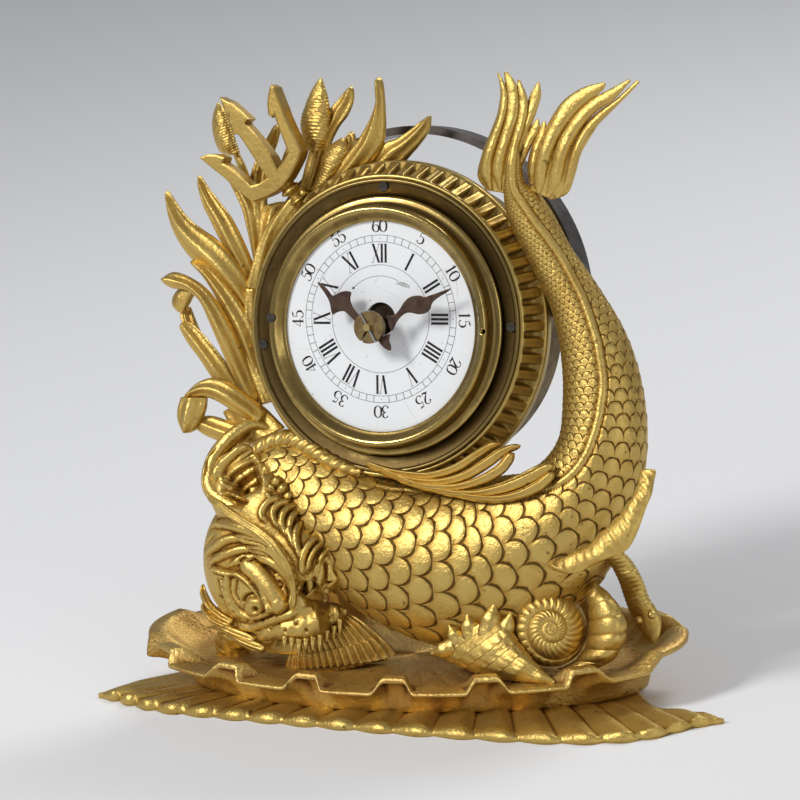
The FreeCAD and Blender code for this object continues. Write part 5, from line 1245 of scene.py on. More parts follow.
RIGHT_LOBES = (
    (((529, 184), (527, 167), (531, 148), (538, 132), (543, 121)),
     ((534, 184), (537, 166), (541, 149), (547, 134), (546, 122)), (-3.4, -4.0, -4.4, -4.4)),
    (((536, 193), (532, 180), (534, 159), (542, 136), (550, 120), (561, 103), (573, 93), (587, 86),
      (604, 82)),
     ((540, 194), (546, 184), (549, 166), (557, 143), (568, 124), (580, 109), (593, 98), (603, 90),
      (606, 84)), (-3.6, -4.6, -5.0, -5.2)),
    (((545, 197), (545, 181), (549, 164), (556, 142), (567, 123), (580, 108), (594, 97), (610, 89),
      (629, 79)),
     ((550, 198), (559, 189), (564, 176), (567, 161), (574, 142), (585, 124), (599, 110), (614, 100),
      (631, 81)), (-3.4, -4.4, -4.8, -5.0)),
    (((554, 199), (559, 189), (563, 176), (567, 160), (574, 142), (585, 124), (600, 110), (616, 99),
      (637, 80)),
     ((560, 197), (570, 187), (575, 172), (580, 152), (589, 135), (602, 121), (615, 108), (628, 95),
      (640, 82)), (-3.0, -3.8, -4.2, -4.2)))
LEFT_BASE = (
    ((486, 190), (477.5, 176), (481, 157), (488, 138), (499, 110)),
    ((504, 193), (517, 178), (524, 156), (529, 134), (525, 108)))
RIGHT_BASE = (
    ((530, 190), (530, 176), (534, 157), (544, 133), (560, 108)),
    ((552, 200), (568, 193), (575.5, 174), (582, 152), (598, 125)))
for name, lobes, base, node in (("fluke_left", LEFT_LOBES, LEFT_BASE, "tail_fluke_left"),
                                ("fluke_right", RIGHT_LOBES, RIGHT_BASE, "tail_fluke_right")):
    fluke = [photo_body(*base, (-3.2, -3.6, -4.0), (1.0, 2.2, 2.3, 1.4, 0.4), 80, 36)]
    fluke += [photo_body(left, right, depth, LOBE_BULGE, 190, 30, fluke_beads)
              for left, right, depth in lobes]
    gilded(name, fluke, node, rounds=10)

# %% [markdown]
# Reeds grow up the left side from a root that hugs the drum behind its fluted ring. Both edges of
# each leaf are read off the photograph, from its tip down to where it passes behind the bezel. The
# leaves are crowned and grooved, and some curl over at the tip.

# %% Reeds
RING_RIM_RADIUS = 44.7 * MM
RING_BACK = 15 * MM
SPRAY_STEM_HALF = 2.2 * MM


def root_form(degrees):
    """A curved root along the drum's rim."""
    radius = RING_RIM_RADIUS + SPRAY_STEM_HALF - 0.3 * MM
    depth = RING_BACK - OPENING_FORWARD - SPRAY_STEM_HALF / 2
    places = ring_point(radius, np.array(degrees))
    line = np.array([(across, depth, AXIS_HEIGHT + up) for across, up in places])
    return round_tube(line, [SPRAY_STEM_HALF * 0.9], 50, 24,
                      lambda place, turn: 0.12 * np.sin(turn * 5 + place * 9))


# Left edge, right edge, depths in mm that grow to the back, crown in mm
LOWER_LEAVES = (
    (((199, 175), (199, 186), (204, 204), (213, 222), (222, 240), (233, 258), (245, 276), (258, 298)),
     ((201, 175), (208, 187), (219, 202), (230, 217), (240, 236), (249, 256), (257, 276), (264, 298)),
     (3.0, 3.0, 5.0), 1.2),
    (((167, 191), (168, 208), (173, 226), (182, 243), (194, 258), (210, 271), (228, 289), (244, 310),
      (258, 334)),
     ((169, 190), (177, 204), (188, 219), (201, 230), (216, 241), (230, 255), (243, 272), (254, 290),
      (266, 318)), (0.0, 1.0, 3.6), 1.8),
    (((189, 263), (196, 268), (206, 279), (219, 300), (231, 324), (242, 346), (252, 372), (262, 402)),
     ((195, 258), (208, 266), (222, 280), (238, 300), (252, 322), (262, 348), (272, 376), (286, 404)),
     (0.0, 0.4, 3.4), 1.6),
    (((161, 281), (172, 287), (188, 290), (201, 301), (210, 319), (220, 342), (231, 368), (243, 392),
      (256, 408)),
     ((163, 277), (174, 273), (190, 278), (206, 289), (219, 305), (232, 328), (244, 354), (254, 378),
      (264, 402)), (-2.6, -1.6, 2.6), 1.7),
    (((179, 325), (188, 341), (201, 358), (213, 376), (226, 392), (242, 404)),
     ((186, 320), (198, 330), (212, 346), (226, 364), (237, 382), (250, 398)), (1.0, 1.4, 3.0), 1.2),
    (((181, 308), (182, 318), (187, 328), (194, 338)), ((190, 306), (194, 318), (198, 328), (204, 340)),
     (2.6, 2.6), 0.6),
    (((186, 399), (194, 397), (206, 396), (220, 401), (234, 410), (248, 420), (262, 428)),
     ((187, 394), (197, 384), (212, 379), (227, 382), (242, 392), (256, 402), (270, 414)), (-3.0, -2.4, 0.6),
     1.8),
    (((183, 396), (180, 408), (180, 420), (184, 430), (188, 433)),
     ((206, 396), (205, 408), (201, 420), (196, 429), (190, 433)), (-2.4, -2.6), 1.8),
    (((194, 426), (206, 434), (220, 440), (234, 446)), ((200, 417), (212, 417), (228, 422), (246, 428)),
     (-0.5, -1.0), 1.4),
    (((224, 410), (232, 424), (240, 436), (252, 446)), ((250, 400), (262, 408), (272, 418), (284, 430)),
     (1.0, 0.6), 1.4),
    (((228, 178), (236, 193), (243, 208), (248, 226), (252, 244), (256, 264), (260, 290)),
     ((240, 180), (252, 194), (260, 210), (262, 228), (263, 246), (264, 264), (268, 290)), (5.0, 5.6, 6.0),
     1.0),
    (((276, 123), (268, 138), (259, 156), (252, 176), (250, 196), (252, 220)),
     ((281, 127), (277, 143), (270, 160), (266, 178), (266, 196), (266, 220)), (6.0, 6.4), 0.8),
    (((266, 204), (261, 222), (260, 240), (260, 258), (262, 276)),
     ((288, 200), (284, 216), (280, 232), (275, 250), (272, 268)), (5.0, 5.6), 1.2))
UPPER_LEAVES = (
    (((350, 86), (340, 99), (332, 109), (330, 121), (322, 138), (316, 158), (308, 184), (304, 204)),
     ((354, 87), (353, 101), (347, 115), (338, 128), (330, 145), (326, 164), (320, 184), (314, 204)),
     (6.0, 6.6), 1.0),
    (((344, 140), (350, 133), (354, 134), (355, 142), (350, 152), (342, 164)),
     ((342, 141), (346, 142), (349, 143), (348, 149), (342, 156), (336, 166)), (4.6, 5.0), 1.0),
    (((376, 77), (376, 90), (376.5, 103), (371, 120), (360, 140), (346, 158), (332, 177), (318, 195),
      (308, 208)),
     ((382, 77), (384, 91), (385, 108), (385, 126), (382, 144), (372, 160), (356, 173), (340, 186),
      (328, 200)), (2.6, 3.0, 4.6), 1.6),
    (((430, 115), (421, 122), (410, 131), (398, 139), (386, 144), (378, 156), (368, 166), (352, 180)),
     ((432, 116), (429, 130), (420, 143), (411, 153), (400, 164), (388, 170), (374, 176), (358, 188)),
     (4.0, 4.4, 6.0), 1.4),
    (((290, 142), (286, 152), (281, 168), (276, 184)), ((300, 146), (298, 160), (294, 174), (290, 190)),
     (6.4, 6.6), 0.8))


LEAF_SPREAD = 1.16


def leaf_forms(leaves):
    """One blade for each row of a table of leaves."""
    forms = []
    for left, right, depth, crown in leaves:
        left, right = smooth_line(left, 100), smooth_line(right, 100)
        middle, half = (left + right) / 2, (right - left) / 2 * LEAF_SPREAD
        forms.append(photo_blade(middle - half, middle + half, depth, depth, mm(1.2, 2.6, 2.8),
                                 crown=crown * 1.2 * MM, grooves=2, groove_depth=0.8 * MM, rows=100,
                                 columns=32))
    return forms


curled_tip = photo_body(((186, 284), (178, 290), (173, 298), (173, 306), (178, 312)),
                        ((198, 290), (193, 297), (190, 303), (187, 308), (183, 313)), (0.4,),
                        (1.4, 2.0, 2.0, 1.6, 0.6), rows=40, columns=28,
                        swell=lambda place, turn: 0.06 * np.cos(turn * 6))
gilded("reeds_left", leaf_forms(LOWER_LEAVES) + [curled_tip, root_form((242, 262, 282))], "reed_leaves_lower")
gilded("reeds_top", leaf_forms(UPPER_LEAVES) + [root_form((282, 302, 322))], "reed_leaves_upper")

# %% [markdown]
# Three bulrushes stand among the reeds: spindles covered with small seed bumps in slanting rows.
# Two of them show the stalk that runs down to the root.

# %% Bulrushes
def seed_bumps(place, turn):
    rows_up = place * 21
    bumps = np.abs(np.sin(np.pi * rows_up)) * np.abs(np.sin(turn * 4.5 + np.floor(rows_up) * 0.9 + 0.4))
    return 0.07 * bumps * np.clip((1 - place) * 5, 0, 1)


RUSHES = (
    (((230, 156), (219, 150), (213, 132), (213, 116), (217, 103)),
     ((240, 152), (236, 142), (232, 127), (226, 112), (219, 102)), (3.4,), (2.2, 3.6, 3.6, 2.8, 0.4),
     seed_bumps),
    (((309, 151), (303, 138), (301, 122), (306, 104), (313, 88), (319, 79)),
     ((320, 152), (328, 138), (331, 122), (329, 104), (326, 90), (322, 78)), (5.4,),
     (2.6, 4.0, 4.2, 3.4, 1.8, 0.4), seed_bumps),
    (((311, 190), (319, 172), (322, 157), (331, 145), (341, 138)),
     ((322, 196), (334, 178), (343, 164), (349, 152), (347, 139)), (3.6,), (2.4, 3.4, 3.8, 3.4, 1.2),
     seed_bumps),
    (((232, 152), (238, 168), (246, 190)), ((239, 152), (246, 166), (254, 188)), (4.6,), (1.4,), None),
    (((310, 148), (304, 170), (298, 196)), ((319, 148), (314, 172), (308, 198)), (6.2,), (1.6,), None))
rush_forms = [photo_body(*outlines, 130, 54, swell) for *outlines, swell in RUSHES]
gilded("bulrushes", rush_forms, "cattails", rounds=4)

# %% [markdown]
# The dorsal fin is a spray of acanthus fingers. They start as parallel flutes along the body's upper
# edge and peel off one after another, curling up against the drum.

# %% Dorsal fin
FINGER_THICK = mm(2.6, 2.4, 2.0, 1.2)
DORSAL_FINGERS = (
    (((366, 462), (400, 470), (430, 472), (456, 464), (474, 452), (490, 442), (500, 441)),
     ((366, 468), (398, 477), (430, 480), (458, 472), (480, 458), (494, 449), (502, 446)),
     (-9.0, -10.5, -10.6, -9.6), (-10.0, -11.5, -11.6, -10.0)),
    (((380, 468), (410, 477), (440, 479), (464, 472), (484, 459), (500, 448), (520, 443)),
     ((380, 474), (410, 484), (440, 487), (468, 480), (492, 466), (506, 455), (522, 448)),
     (-9.6, -11.2, -11.2, -9.6), (-10.6, -12.2, -12.2, -10.2)),
    (((396, 474), (424, 483), (452, 485), (476, 478), (496, 466), (505, 455), (513, 451)),
     ((396, 481), (424, 490), (454, 492), (480, 486), (502, 475), (512, 464), (516, 455)),
     (-10.4, -12.0, -12.0, -10.6), (-11.4, -12.9, -13.0, -11.2)),
    (((420, 482), (448, 490), (474, 490), (500, 483), (520, 474), (540, 464), (553, 462)),
     ((420, 488), (448, 496), (478, 498), (506, 493), (530, 484), (547, 474), (555, 468)),
     (-10.8, -12.6, -12.4, -10.6), (-11.6, -13.4, -13.4, -11.4)),
    (((440, 487), (466, 494), (492, 496), (516, 491), (534, 482), (546, 474), (553, 471)),
     ((440, 492), (468, 500), (496, 503), (522, 499), (542, 490), (552, 481), (556, 474)),
     (-11.0, -12.8, -12.8, -11.2), (-11.8, -13.6, -13.6, -12.0)))
dorsal_forms = [
    photo_blade(*finger, FINGER_THICK, crown=1.0 * MM, grooves=2, groove_depth=0.5 * MM, columns=22)
    for finger in DORSAL_FINGERS]
gilded("dorsal_fingers", dorsal_forms, "dorsal_fin")

# %% [markdown]
# The side fin is one broad thin leaf with a wavy edge and fine ribs that run across it.

# %% Side fin
FIN_LEFT = (
    (548, 565), (572.7, 553.6), (589, 545.5), (605.5, 529), (622, 512.7), (635.5, 491), (641, 471),
    (648, 469))
FIN_RIGHT = (
    (548, 568), (562, 572.7), (575.5, 572.7), (597, 564), (614, 556), (628, 549), (638, 531), (646, 508),
    (652, 494), (655, 477), (658.5, 469.5))


def fin_ribs(place, across):
    ribs = 0.10 * MM * np.cos(place * 2 * np.pi * 17 + across * 3.0) * np.sin(np.pi * across) ** 0.5
    return ribs + 0.8 * MM * np.sin(place * 2 * np.pi * 3.6 + 0.6) * across ** 2


fin_form = photo_blade(FIN_LEFT, FIN_RIGHT, (-14.6, -13.8, -12.0, -8.6), (-16.6, -15.8, -13.2, -9.6),
                       mm(1.8, 1.6, 1.4, 1.2), rows=150, crown=mm(0.2, 1.2, 0.4), cross=fin_ribs, columns=48)
gilded("side_fin", [fin_form], "pectoral_fin")

# %% [markdown]
# ## The head
# The head is carved in low relief on a bold round form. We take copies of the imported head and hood,
# melt them into one skin with a voxel remesh, and then carve: every stroke is a line read off the
# photograph, with a width in pixels and a height. A point of the skin that faces the camera and
# lies near a stroke is pushed out or in along its normal. The far side of the head gets the brow and
# the eye as a mirror image.

# %% Carving helpers
FACING_FROM = 0.1
HEAD_VOXEL = 0.36 * MM


def melted_copy(name, nodes, voxel, smooth_rounds):
    """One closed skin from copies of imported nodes."""
    net = bmesh.new()
    for node in nodes:
        net.from_mesh(frame["nodes"][node].data)
    bmesh.ops.remove_doubles(net, verts=net.verts, dist=0.001 * MM)
    mesh = bpy.data.meshes.new(name)
    net.to_mesh(mesh)
    net.free()
    piece = linked(name, mesh)
    melted(piece, voxel, smooth_rounds)
    return piece


def skin_of(piece):
    """Upright places, outward directions and photograph pixels of a mesh's points."""
    places = upright(read_points(piece.data))
    normals = read_points(piece.data, "normal") @ LEAN_TURN
    return places, normals, to_photo(places)


def distance_to(pixels, line):
    """Distance of pixels to a finely cut line, and the share of the line's length passed there."""
    away = np.full(len(pixels), np.inf)
    passed = np.zeros(len(pixels))
    for index, point in enumerate(line):
        gap = np.hypot(pixels[:, 0] - point[0], pixels[:, 1] - point[1])
        closer = gap < away
        away[closer] = gap[closer]
        passed[closer] = index / (len(line) - 1)
    return away, passed


def carve(piece, strokes, mirror_depth=None):
    """Pushes the visible skin out along ridges and in along grooves.
    A stroke is a line of pixels, half width in pixels, height in mm, and thinning at both ends.
    With a mirror depth, the strokes go on the far side, as a mirror at that depth would show them."""
    places, normals, pixels = skin_of(piece)
    shown, facing, side = places, normals, 1.0
    if mirror_depth is not None:
        shown = places * (1, -1, 1) + np.array([0, 2 * mirror_depth, 0])
        facing = normals * (1, -1, 1)
        pixels = to_photo(shown)
        side = np.clip((places[:, 1] - mirror_depth) / (2 * MM), 0, 1)
    faces_camera = (facing * unit(EYE - shown)).sum(-1)
    weight = np.clip((faces_camera - FACING_FROM) * 4, 0, 1) * side
    seen = np.nonzero(weight > 0)[0]
    raised = np.zeros(len(seen))
    sunk = np.zeros(len(seen))
    for line, half, height, ends in strokes:
        fine = smooth_line(line, 60) if len(line) > 1 else np.array(line, float)
        low, high = fine.min(0) - half * 2, fine.max(0) + half * 2
        near = np.nonzero(((pixels[seen] > low) & (pixels[seen] < high)).all(1))[0]
        if not len(near):
            continue
        away, passed = distance_to(pixels[seen][near], fine) if len(fine) > 1 else (
            np.hypot(*(pixels[seen][near] - fine[0]).T), np.full(len(near), 0.5))
        thin = 1.0
        if ends:
            thin = np.clip(np.minimum(passed, 1 - passed) / ends, 0.15, 1) ** 0.6
        share = away / (half * thin)
        bump = np.where(share < 1, np.sqrt(np.clip(1 - share ** 2, 0, 1)), 0) * np.clip(thin, 0.3, 1)
        if height > 0:
            raised[near] = np.maximum(raised[near], bump * height)
        else:
            soft = np.exp(-(share * 1.2) ** 2) * np.clip(thin, 0.3, 1)
            sunk[near] = np.minimum(sunk[near], soft * height)
    push = np.zeros(len(places))
    push[seen] = (raised + sunk) * weight[seen] * MM
    moved = leaned(places + normals * push[:, None])
    piece.data.vertices.foreach_set("co", moved.ravel())
    piece.data.update()
    print(piece.name, "carved with", len(strokes), "strokes")


def touch(piece, pixels, sink=0.0):
    """Upright places where pixels meet the side of a piece that faces the camera."""
    places, normals, seen = skin_of(piece)
    faces_camera = (normals * unit(EYE - places)).sum(-1)
    found = []
    for pixel in np.asarray(pixels, float):
        close = np.hypot(seen[:, 0] - pixel[0], seen[:, 1] - pixel[1])
        score = close + np.where(faces_camera > 0.05, 0, 1e3)
        near = np.argsort(score)[:12]
        nearest = near[np.argmin(places[near] @ -VIEW_BACK + score[near] * MM)]
        found.append(places[nearest] - normals[nearest] * sink)
    return np.array(found)


# %% [markdown]
# The brow is an acanthus leaf whose lobes flow from the lower right to the upper left and curl at
# their ends. Below it lies the eye between two lids, with a row of punched dots under it. A smooth
# tongue shaped lobe with a round end comes down between the eye and the crest.

# %% Face strokes
BROW_LOBES = (
    (((285, 566), (276, 549), (262, 536), (246, 529), (230, 525), (217, 524), (210, 528)), 5.0, 1.5, 0.12),
    (((289, 576), (282, 558), (268, 545), (252, 539.5), (238, 538), (225, 541), (213, 549), (206, 556)), 4.4,
     1.5, 0.12),
    (((291, 586), (286, 568), (274, 555), (258, 549), (243, 549), (229, 553), (216, 559), (209, 566)), 4.2,
     1.3, 0.12),
    (((293, 594), (288, 578), (277, 565), (262, 558), (249, 557.5), (238, 561), (228, 566)), 4.0, 1.2, 0.12),
    (((250, 566), (258, 573), (266, 583), (273, 595), (278, 604)), 9.5, 2.0, 0.0),
    (((278, 604),), 10.0, 2.2, 0.0),
    (((212, 511), (206, 520), (202, 533), (200, 546)), 3.0, 0.8, 0.2),
    (((219, 517), (212, 521), (206, 531)), 2.6, 0.8, 0.2))
BROW_CUTS = (
    (((240, 562), (244, 558), (248, 560)), 1.8, -1.2, 0.1),
    (((251, 563), (256, 559.5), (262, 561)), 1.8, -1.2, 0.1),
    (((262, 565), (270, 568), (277, 574)), 1.3, -0.9, 0.1),
    (((285, 584), (288, 594), (286, 604)), 1.5, -1.0, 0.1),
    (((278, 580), (283, 584), (280, 588)), 1.4, -0.8, 0.1),
    (((214, 534), (207, 543), (204, 551)), 1.4, -0.7, 0.1),
    (((271, 548), (259, 541.5), (244, 537)), 1.2, -0.8, 0.1),
    (((277, 561), (265, 551.5), (250, 548)), 1.2, -0.8, 0.1))
EYE_STROKES = (
    (((252.5, 607),), 14.0, -1.6, 0.0),
    (((253.5, 607),), 10.0, 2.5, 0.0),
    (((255.8, 608.6),), 5.0, -3.0, 0.0),
    (((241, 604), (244, 597), (251, 594), (259, 597)), 2.2, -1.6, 0.1),
    (((215, 569), (226.5, 573), (238, 574.5), (248, 581), (256.5, 591), (263.5, 601), (269, 610)), 2.8, 1.6,
     0.0),
    (((228, 577), (228, 592), (233.5, 605.5), (241, 614), (251.5, 617.5), (261.5, 616), (270, 612)), 2.6, 1.3,
     0.0),
    (((236, 581), (234.5, 592), (238, 601)), 1.8, -0.9, 0.0),
    (((217, 577), (219, 590), (224, 604), (232, 617)), 1.6, -0.8, 0.1))
EYE_DOTS = tuple((((across, down),), 1.25, -1.2, 0.0) for across, down in (
    (222.5, 588), (224, 597.3), (228.6, 605.3), (233.4, 612.6), (240, 618.6), (247.5, 621), (255, 621),
    (262.5, 619.4), (221, 580)))
FACE_WEAR = (
    (((198, 560), (203, 580), (213, 600), (228, 618)), 3.0, 0.8, 0.1),
    (((236, 624), (250, 628), (264, 624), (280, 618), (298, 612)), 4.0, 0.9, 0.1))

# %% [markdown]
# To the right of the crest the hood opens: an arched rim, a dark hollow, rough knobs and a row of
# curled finger fronds that fan down towards the gills. The slats between the crest and the fronds
# are the crest's own leaf teeth.

# %% Hood strokes
HOOD_RIMS = (
    (((214, 482), (220, 468), (232, 456), (246, 446), (262, 440), (276, 437)), 3.4, 1.6, 0.1),
    (((224, 476), (236, 463), (252, 452), (270, 446), (288, 446)), 1.6, -1.0, 0.1))
HOOD_HOLLOW = (
    (((224, 488), (238, 480), (252, 473), (262, 470)), 13.0, -8.0, 0.15),
    (((222, 496), (232, 500), (246, 502)), 6.0, -3.5, 0.2))
HOOD_FOLDS = (
    (((262, 456), (246, 463), (232, 472), (224, 482)), 2.2, 0.8, 0.15),
    (((266, 463), (252, 470), (238, 480), (228, 491)), 2.2, 0.8, 0.15),
    (((268, 474), (256, 481), (244, 490), (236, 499)), 2.2, 0.8, 0.15))
KNOBS = tuple((((across, down),), size, rise, 0.0) for across, down, size, rise in (
    (276, 482, 4.5, 2.0), (284, 479, 5.0, 1.8), (291, 485, 4.6, 1.8), (282, 489, 4.5, 2.0),
    (296, 494, 4.8, 1.8), (288, 496, 4.0, 1.8), (271, 488, 3.6, 1.4), (303, 500, 4.0, 1.4),
    (314, 507, 3.5, 1.2), (320, 514, 3.5, 1.2), (322, 524, 3.6, 1.3), (330, 531, 3.4, 1.2),
    (302, 489, 3.2, 1.2), (268, 495, 3.0, 1.0)))
FRONDS = (
    (((281, 498), (271, 500), (264.5, 506), (261.5, 514), (266, 523)), 3.3, 1.2, 0.12),
    (((291, 501), (279, 504), (273, 511), (274, 520), (279, 529)), 3.3, 1.4, 0.12),
    (((300, 504), (288, 508), (282, 516), (282, 526), (288, 538)), 3.4, 1.5, 0.12),
    (((314, 506), (300, 510), (291, 518), (289, 530), (292, 541), (296, 550)), 3.6, 1.7, 0.12),
    (((318, 515), (305, 519), (297, 529), (296, 541), (299, 552), (302, 560)), 3.6, 1.7, 0.12),
    (((331, 532), (318, 537), (308, 546), (303, 558), (303, 568), (306, 576)), 3.6, 1.7, 0.12),
    (((326, 541), (316, 549), (310, 560), (308, 572)), 2.6, 1.8, 0.12),
    (((330, 548), (322, 556), (317, 568), (315, 580)), 2.4, 1.4, 0.12))
GILL_CUTS = (
    (((304, 584), (311, 594), (315, 606)), 8.0, -4.0, 0.1),
    (((326, 582), (330, 594), (330, 604)), 6.0, -3.0, 0.1),
    (((334, 536), (338, 548), (340, 562), (338, 576)), 4.0, -2.5, 0.1),
    (((318, 560), (316, 574), (312, 588)), 2.2, -1.4, 0.1),
    (((326, 560), (326, 576), (322, 592)), 2.4, -1.6, 0.1))

head = melted_copy("dolphin_face", ("dolphin_head", "gill_hood"), HEAD_VOXEL, 14)
carve(head, BROW_LOBES + BROW_CUTS + FACE_WEAR + HOOD_RIMS + HOOD_HOLLOW)
carve(head, HOOD_FOLDS)
head_places = upright(read_points(frame["nodes"]["dolphin_head"].data))
head_depth = (head_places[:, 1].min() + head_places[:, 1].max()) / 2
carve(head, BROW_LOBES + BROW_CUTS + FACE_WEAR, mirror_depth=head_depth)
carve(head, EYE_STROKES + EYE_DOTS, mirror_depth=head_depth)
print("head's middle depth", round(head_depth / MM, 1), "mm")
carve(body_piece, HOOD_HOLLOW)
mark_relief(body_piece, 10)
carve(head, EYE_STROKES + KNOBS + FRONDS + GILL_CUTS)
carve(head, EYE_DOTS)

# %% [markdown]
# The rest of the snout is set on the carved skin: a drooping upper lip with small pits, a round nose
# with a smaller bump beside it, and a row of peg teeth.

# %% Snout and teeth
def ball_form(place, half_axes, rows=18, columns=28):
    rise = np.linspace(0, np.pi, rows)[1:-1]
    turn = around(columns)
    ring = np.stack([np.sin(rise)[:, None] * np.cos(turn), np.sin(rise)[:, None] * np.sin(turn),
                     np.cos(rise)[:, None] * np.ones(columns)], -1)
    return tube_form(np.asarray(place) + ring * np.asarray(half_axes))


JAW_HOLLOW = (
    (((266, 648), (284, 652), (304, 653), (324, 646), (338, 634)), 9.0, -6.0, 0.1),
    (((240, 632), (256, 638), (270, 641)), 3.0, -1.2, 0.1))
carve(head, JAW_HOLLOW)
JAW_LOWER = ((247, 641), (262, 641), (280, 640), (300, 641), (318, 638), (336, 628), (347, 614))
JAW_UPPER = ((250, 629), (266, 622), (284, 617), (300, 612), (316, 605), (333, 602), (346, 608))
JAW_PITS = (
    (0.22, 1.3), (0.36, 1.7), (0.47, 1.2), (0.56, 1.9), (0.74, 1.1), (0.79, 1.6), (0.93, 1.2), (0.30, 0.9))


def jaw_skin(place, turn):
    """Bosses of the nose, small pits and low ripples, as shares of the jaw's thickness."""
    skin = (0.34 * np.exp(-((place - 0.66) / 0.075) ** 2) + 0.22 * np.exp(-((place - 0.90) / 0.05) ** 2)
            + 0.10 * np.exp(-((place - 0.36) / 0.06) ** 2)) * np.exp(-((turn - 1.5) / 0.9) ** 2)
    for along_jaw, round_jaw in JAW_PITS:
        skin = skin - 0.26 * np.exp(-((place - along_jaw) / 0.014) ** 2 - ((turn - round_jaw) / 0.15) ** 2)
    return skin + 0.03 * np.sin(place * 55) * np.sin(turn * 4)


jaw_depth = touch(head, (np.array(JAW_LOWER) + np.array(JAW_UPPER)) / 2)[:, 1] / MM
print("jaw depths", jaw_depth.round(1))
snout_forms = [photo_body(JAW_LOWER, JAW_UPPER, jaw_depth + 0.8, (0.8, 2.4, 3.2, 3.6, 3.8, 3.2, 1.0), 220, 90,
                          jaw_skin)]
TOOTH_ROOTS = (
    (285, 637), (292, 638), (299, 639), (306, 639), (313, 637), (320, 635), (327, 631), (334, 626),
    (340, 619))
for index, (across, down) in enumerate(TOOTH_ROOTS):
    root = at_photo(across, down, (np.interp(across, np.array(JAW_LOWER)[:, 0], jaw_depth) - 1.6) * MM)
    tip = root + np.array([0.3, -0.9, -2.8 - 0.8 * (index % 3)]) * MM
    snout_forms.append(round_tube([root, (root + tip) / 2, tip], mm(0.9, 0.65, 0.2), 14, 12))

# %% [markdown]
# The crest is a ribbon: a broad curled leaf at the top, and a narrow double lip that sweeps round
# the hood and down beside the brow. A row of leaf teeth stands along the lip.

# %% Crest
LEAF_OUTER = ((257, 412), (245, 421), (233, 434), (221, 443), (208, 455), (203, 471), (202, 483), (206, 495))
LEAF_INNER = (
    (258.5, 414), (254, 431), (245, 443), (232, 451.5), (223, 460), (217, 470), (214.5, 481), (213, 493))
LIP_MIDDLE = (
    (204, 484), (209, 496), (218, 504), (232, 514.5), (248, 524.5), (263, 534), (276, 547.5), (286, 564),
    (292, 581), (294, 596), (293, 608))
leaf_outer_depth = (-1.4, -4.4, -7.4, -10.2, -12.6, -13.6)
leaf_inner_depth = (-0.4, -2.6, -5.8, -8.8, -11.4, -12.6)
leaf_form = photo_blade(LEAF_OUTER, LEAF_INNER, leaf_outer_depth, leaf_inner_depth, mm(0.9, 1.3, 1.5),
                        rows=120, crown=mm(-0.6, -1.8, -0.8), grooves=1, groove_depth=0.4 * MM, columns=30)


def laid_lip(pixels, half, lift, rows=160, **more):
    """A narrow blade that follows pixels over the head's skin, lifted towards the viewer."""
    line = evened(smooth_line(touch(head, smooth_line(pixels, 24)), rows), 30) + VIEW_BACK * lift
    side = unit(np.cross(unit(np.gradient(line, axis=0)), VIEW_BACK))
    wide = eased(half, rows)[:, None]
    return blade_form(line - side * wide, line + side * wide, 2.6 * MM, columns=22, **more)


lip_form = laid_lip(LIP_MIDDLE, mm(0.9, 1.3, 1.25, 1.2, 0.8), 1.0 * MM, crown=0.5 * MM,
                    grooves=1, groove_depth=0.6 * MM)
crest_path = smooth_line(np.array((
    (-0.98, -0.02, 1.86), (-1.12, -0.10, 1.92), (-1.26, -0.18, 1.82), (-1.36, -0.24, 1.66),
    (-1.33, -0.32, 1.48), (-1.12, -0.38, 1.36), (-0.84, -0.40, 1.24), (-0.66, -0.40, 1.10),
    (-0.56, -0.38, 0.94), (-0.56, -0.34, 0.76))) * DRUM_RADIUS, 80)
crest_root = round_tube(crest_path + mm(0.6, 1.6, -0.4), mm(1.2, 2.2, 2.4, 2.0, 1.8, 1.2), 90, 20)
crest_forms = [leaf_form, lip_form, crest_root]
CREST_TEETH = 12
TOOTH_ROOT_PIXELS = ((236, 521), (258, 534), (276, 551), (286, 570), (291, 592))
TOOTH_TIP_PIXELS = ((250, 523), (271, 537), (288, 555), (297, 575), (299, 596))
tooth_roots, tooth_tips = (smooth_line(touch(head, smooth_line(pixels, CREST_TEETH), sink), CREST_TEETH)
                           for pixels, sink in ((TOOTH_ROOT_PIXELS, 0.9 * MM), (TOOTH_TIP_PIXELS, -0.1 * MM)))
crest_forms += [round_tube([root, (root + tip) / 2 + VIEW_BACK * 0.5 * MM, tip], mm(0.9, 1.35, 0.35), 20, 16)
                for root, tip in zip(tooth_roots, tooth_tips)]
gilded("crest_lip", crest_forms, "head_crest")

# %% [markdown]
# The ridge over the hood is a rope of slanted flutes that runs on along the body's upper edge.

# %% Fluted ridge
RIDGE_PIXELS = (
    (226, 470), (231, 459), (240, 449), (251, 441), (264, 436), (278, 436), (292, 439), (306, 446),
    (320, 455), (334, 463), (348, 470), (362, 475))
RIDGE_RADII = mm(0.8, 2.0, 2.5, 2.5, 2.1, 1.2)
ridge_path = evened(smooth_line(touch(body_piece, RIDGE_PIXELS, -0.5 * MM), 60), 8)


def rope(place, turn):
    return 0.22 * np.abs(np.sin(place * 44 + turn * 1.2)) - 0.10


extras = cast("snout", leaned_forms(snout_forms + [round_tube(ridge_path, RIDGE_RADII, 260, 40, rope)]))
bpy.ops.object.select_all(action="DESELECT")
extras.select_set(True)
head.select_set(True)
bpy.context.view_layer.objects.active = head
bpy.ops.object.join()
finished(head, "case", gilt, "gilt_bronze", "dolphin_head", "gill_hood", rounds=12)

# %% [markdown]
# ## Tray and base plate
# The tray is a shallow scallop shell with a crimped rim: box pleats, about 28 mm apart, that push
# the rim out and down and then in and up. We lay rings of points from the foot up the outside,
# over the rim and down to the floor, and let the pleats grow towards the rim. Pleats are spaced by
# length along the rim, as a chaser would set them out.

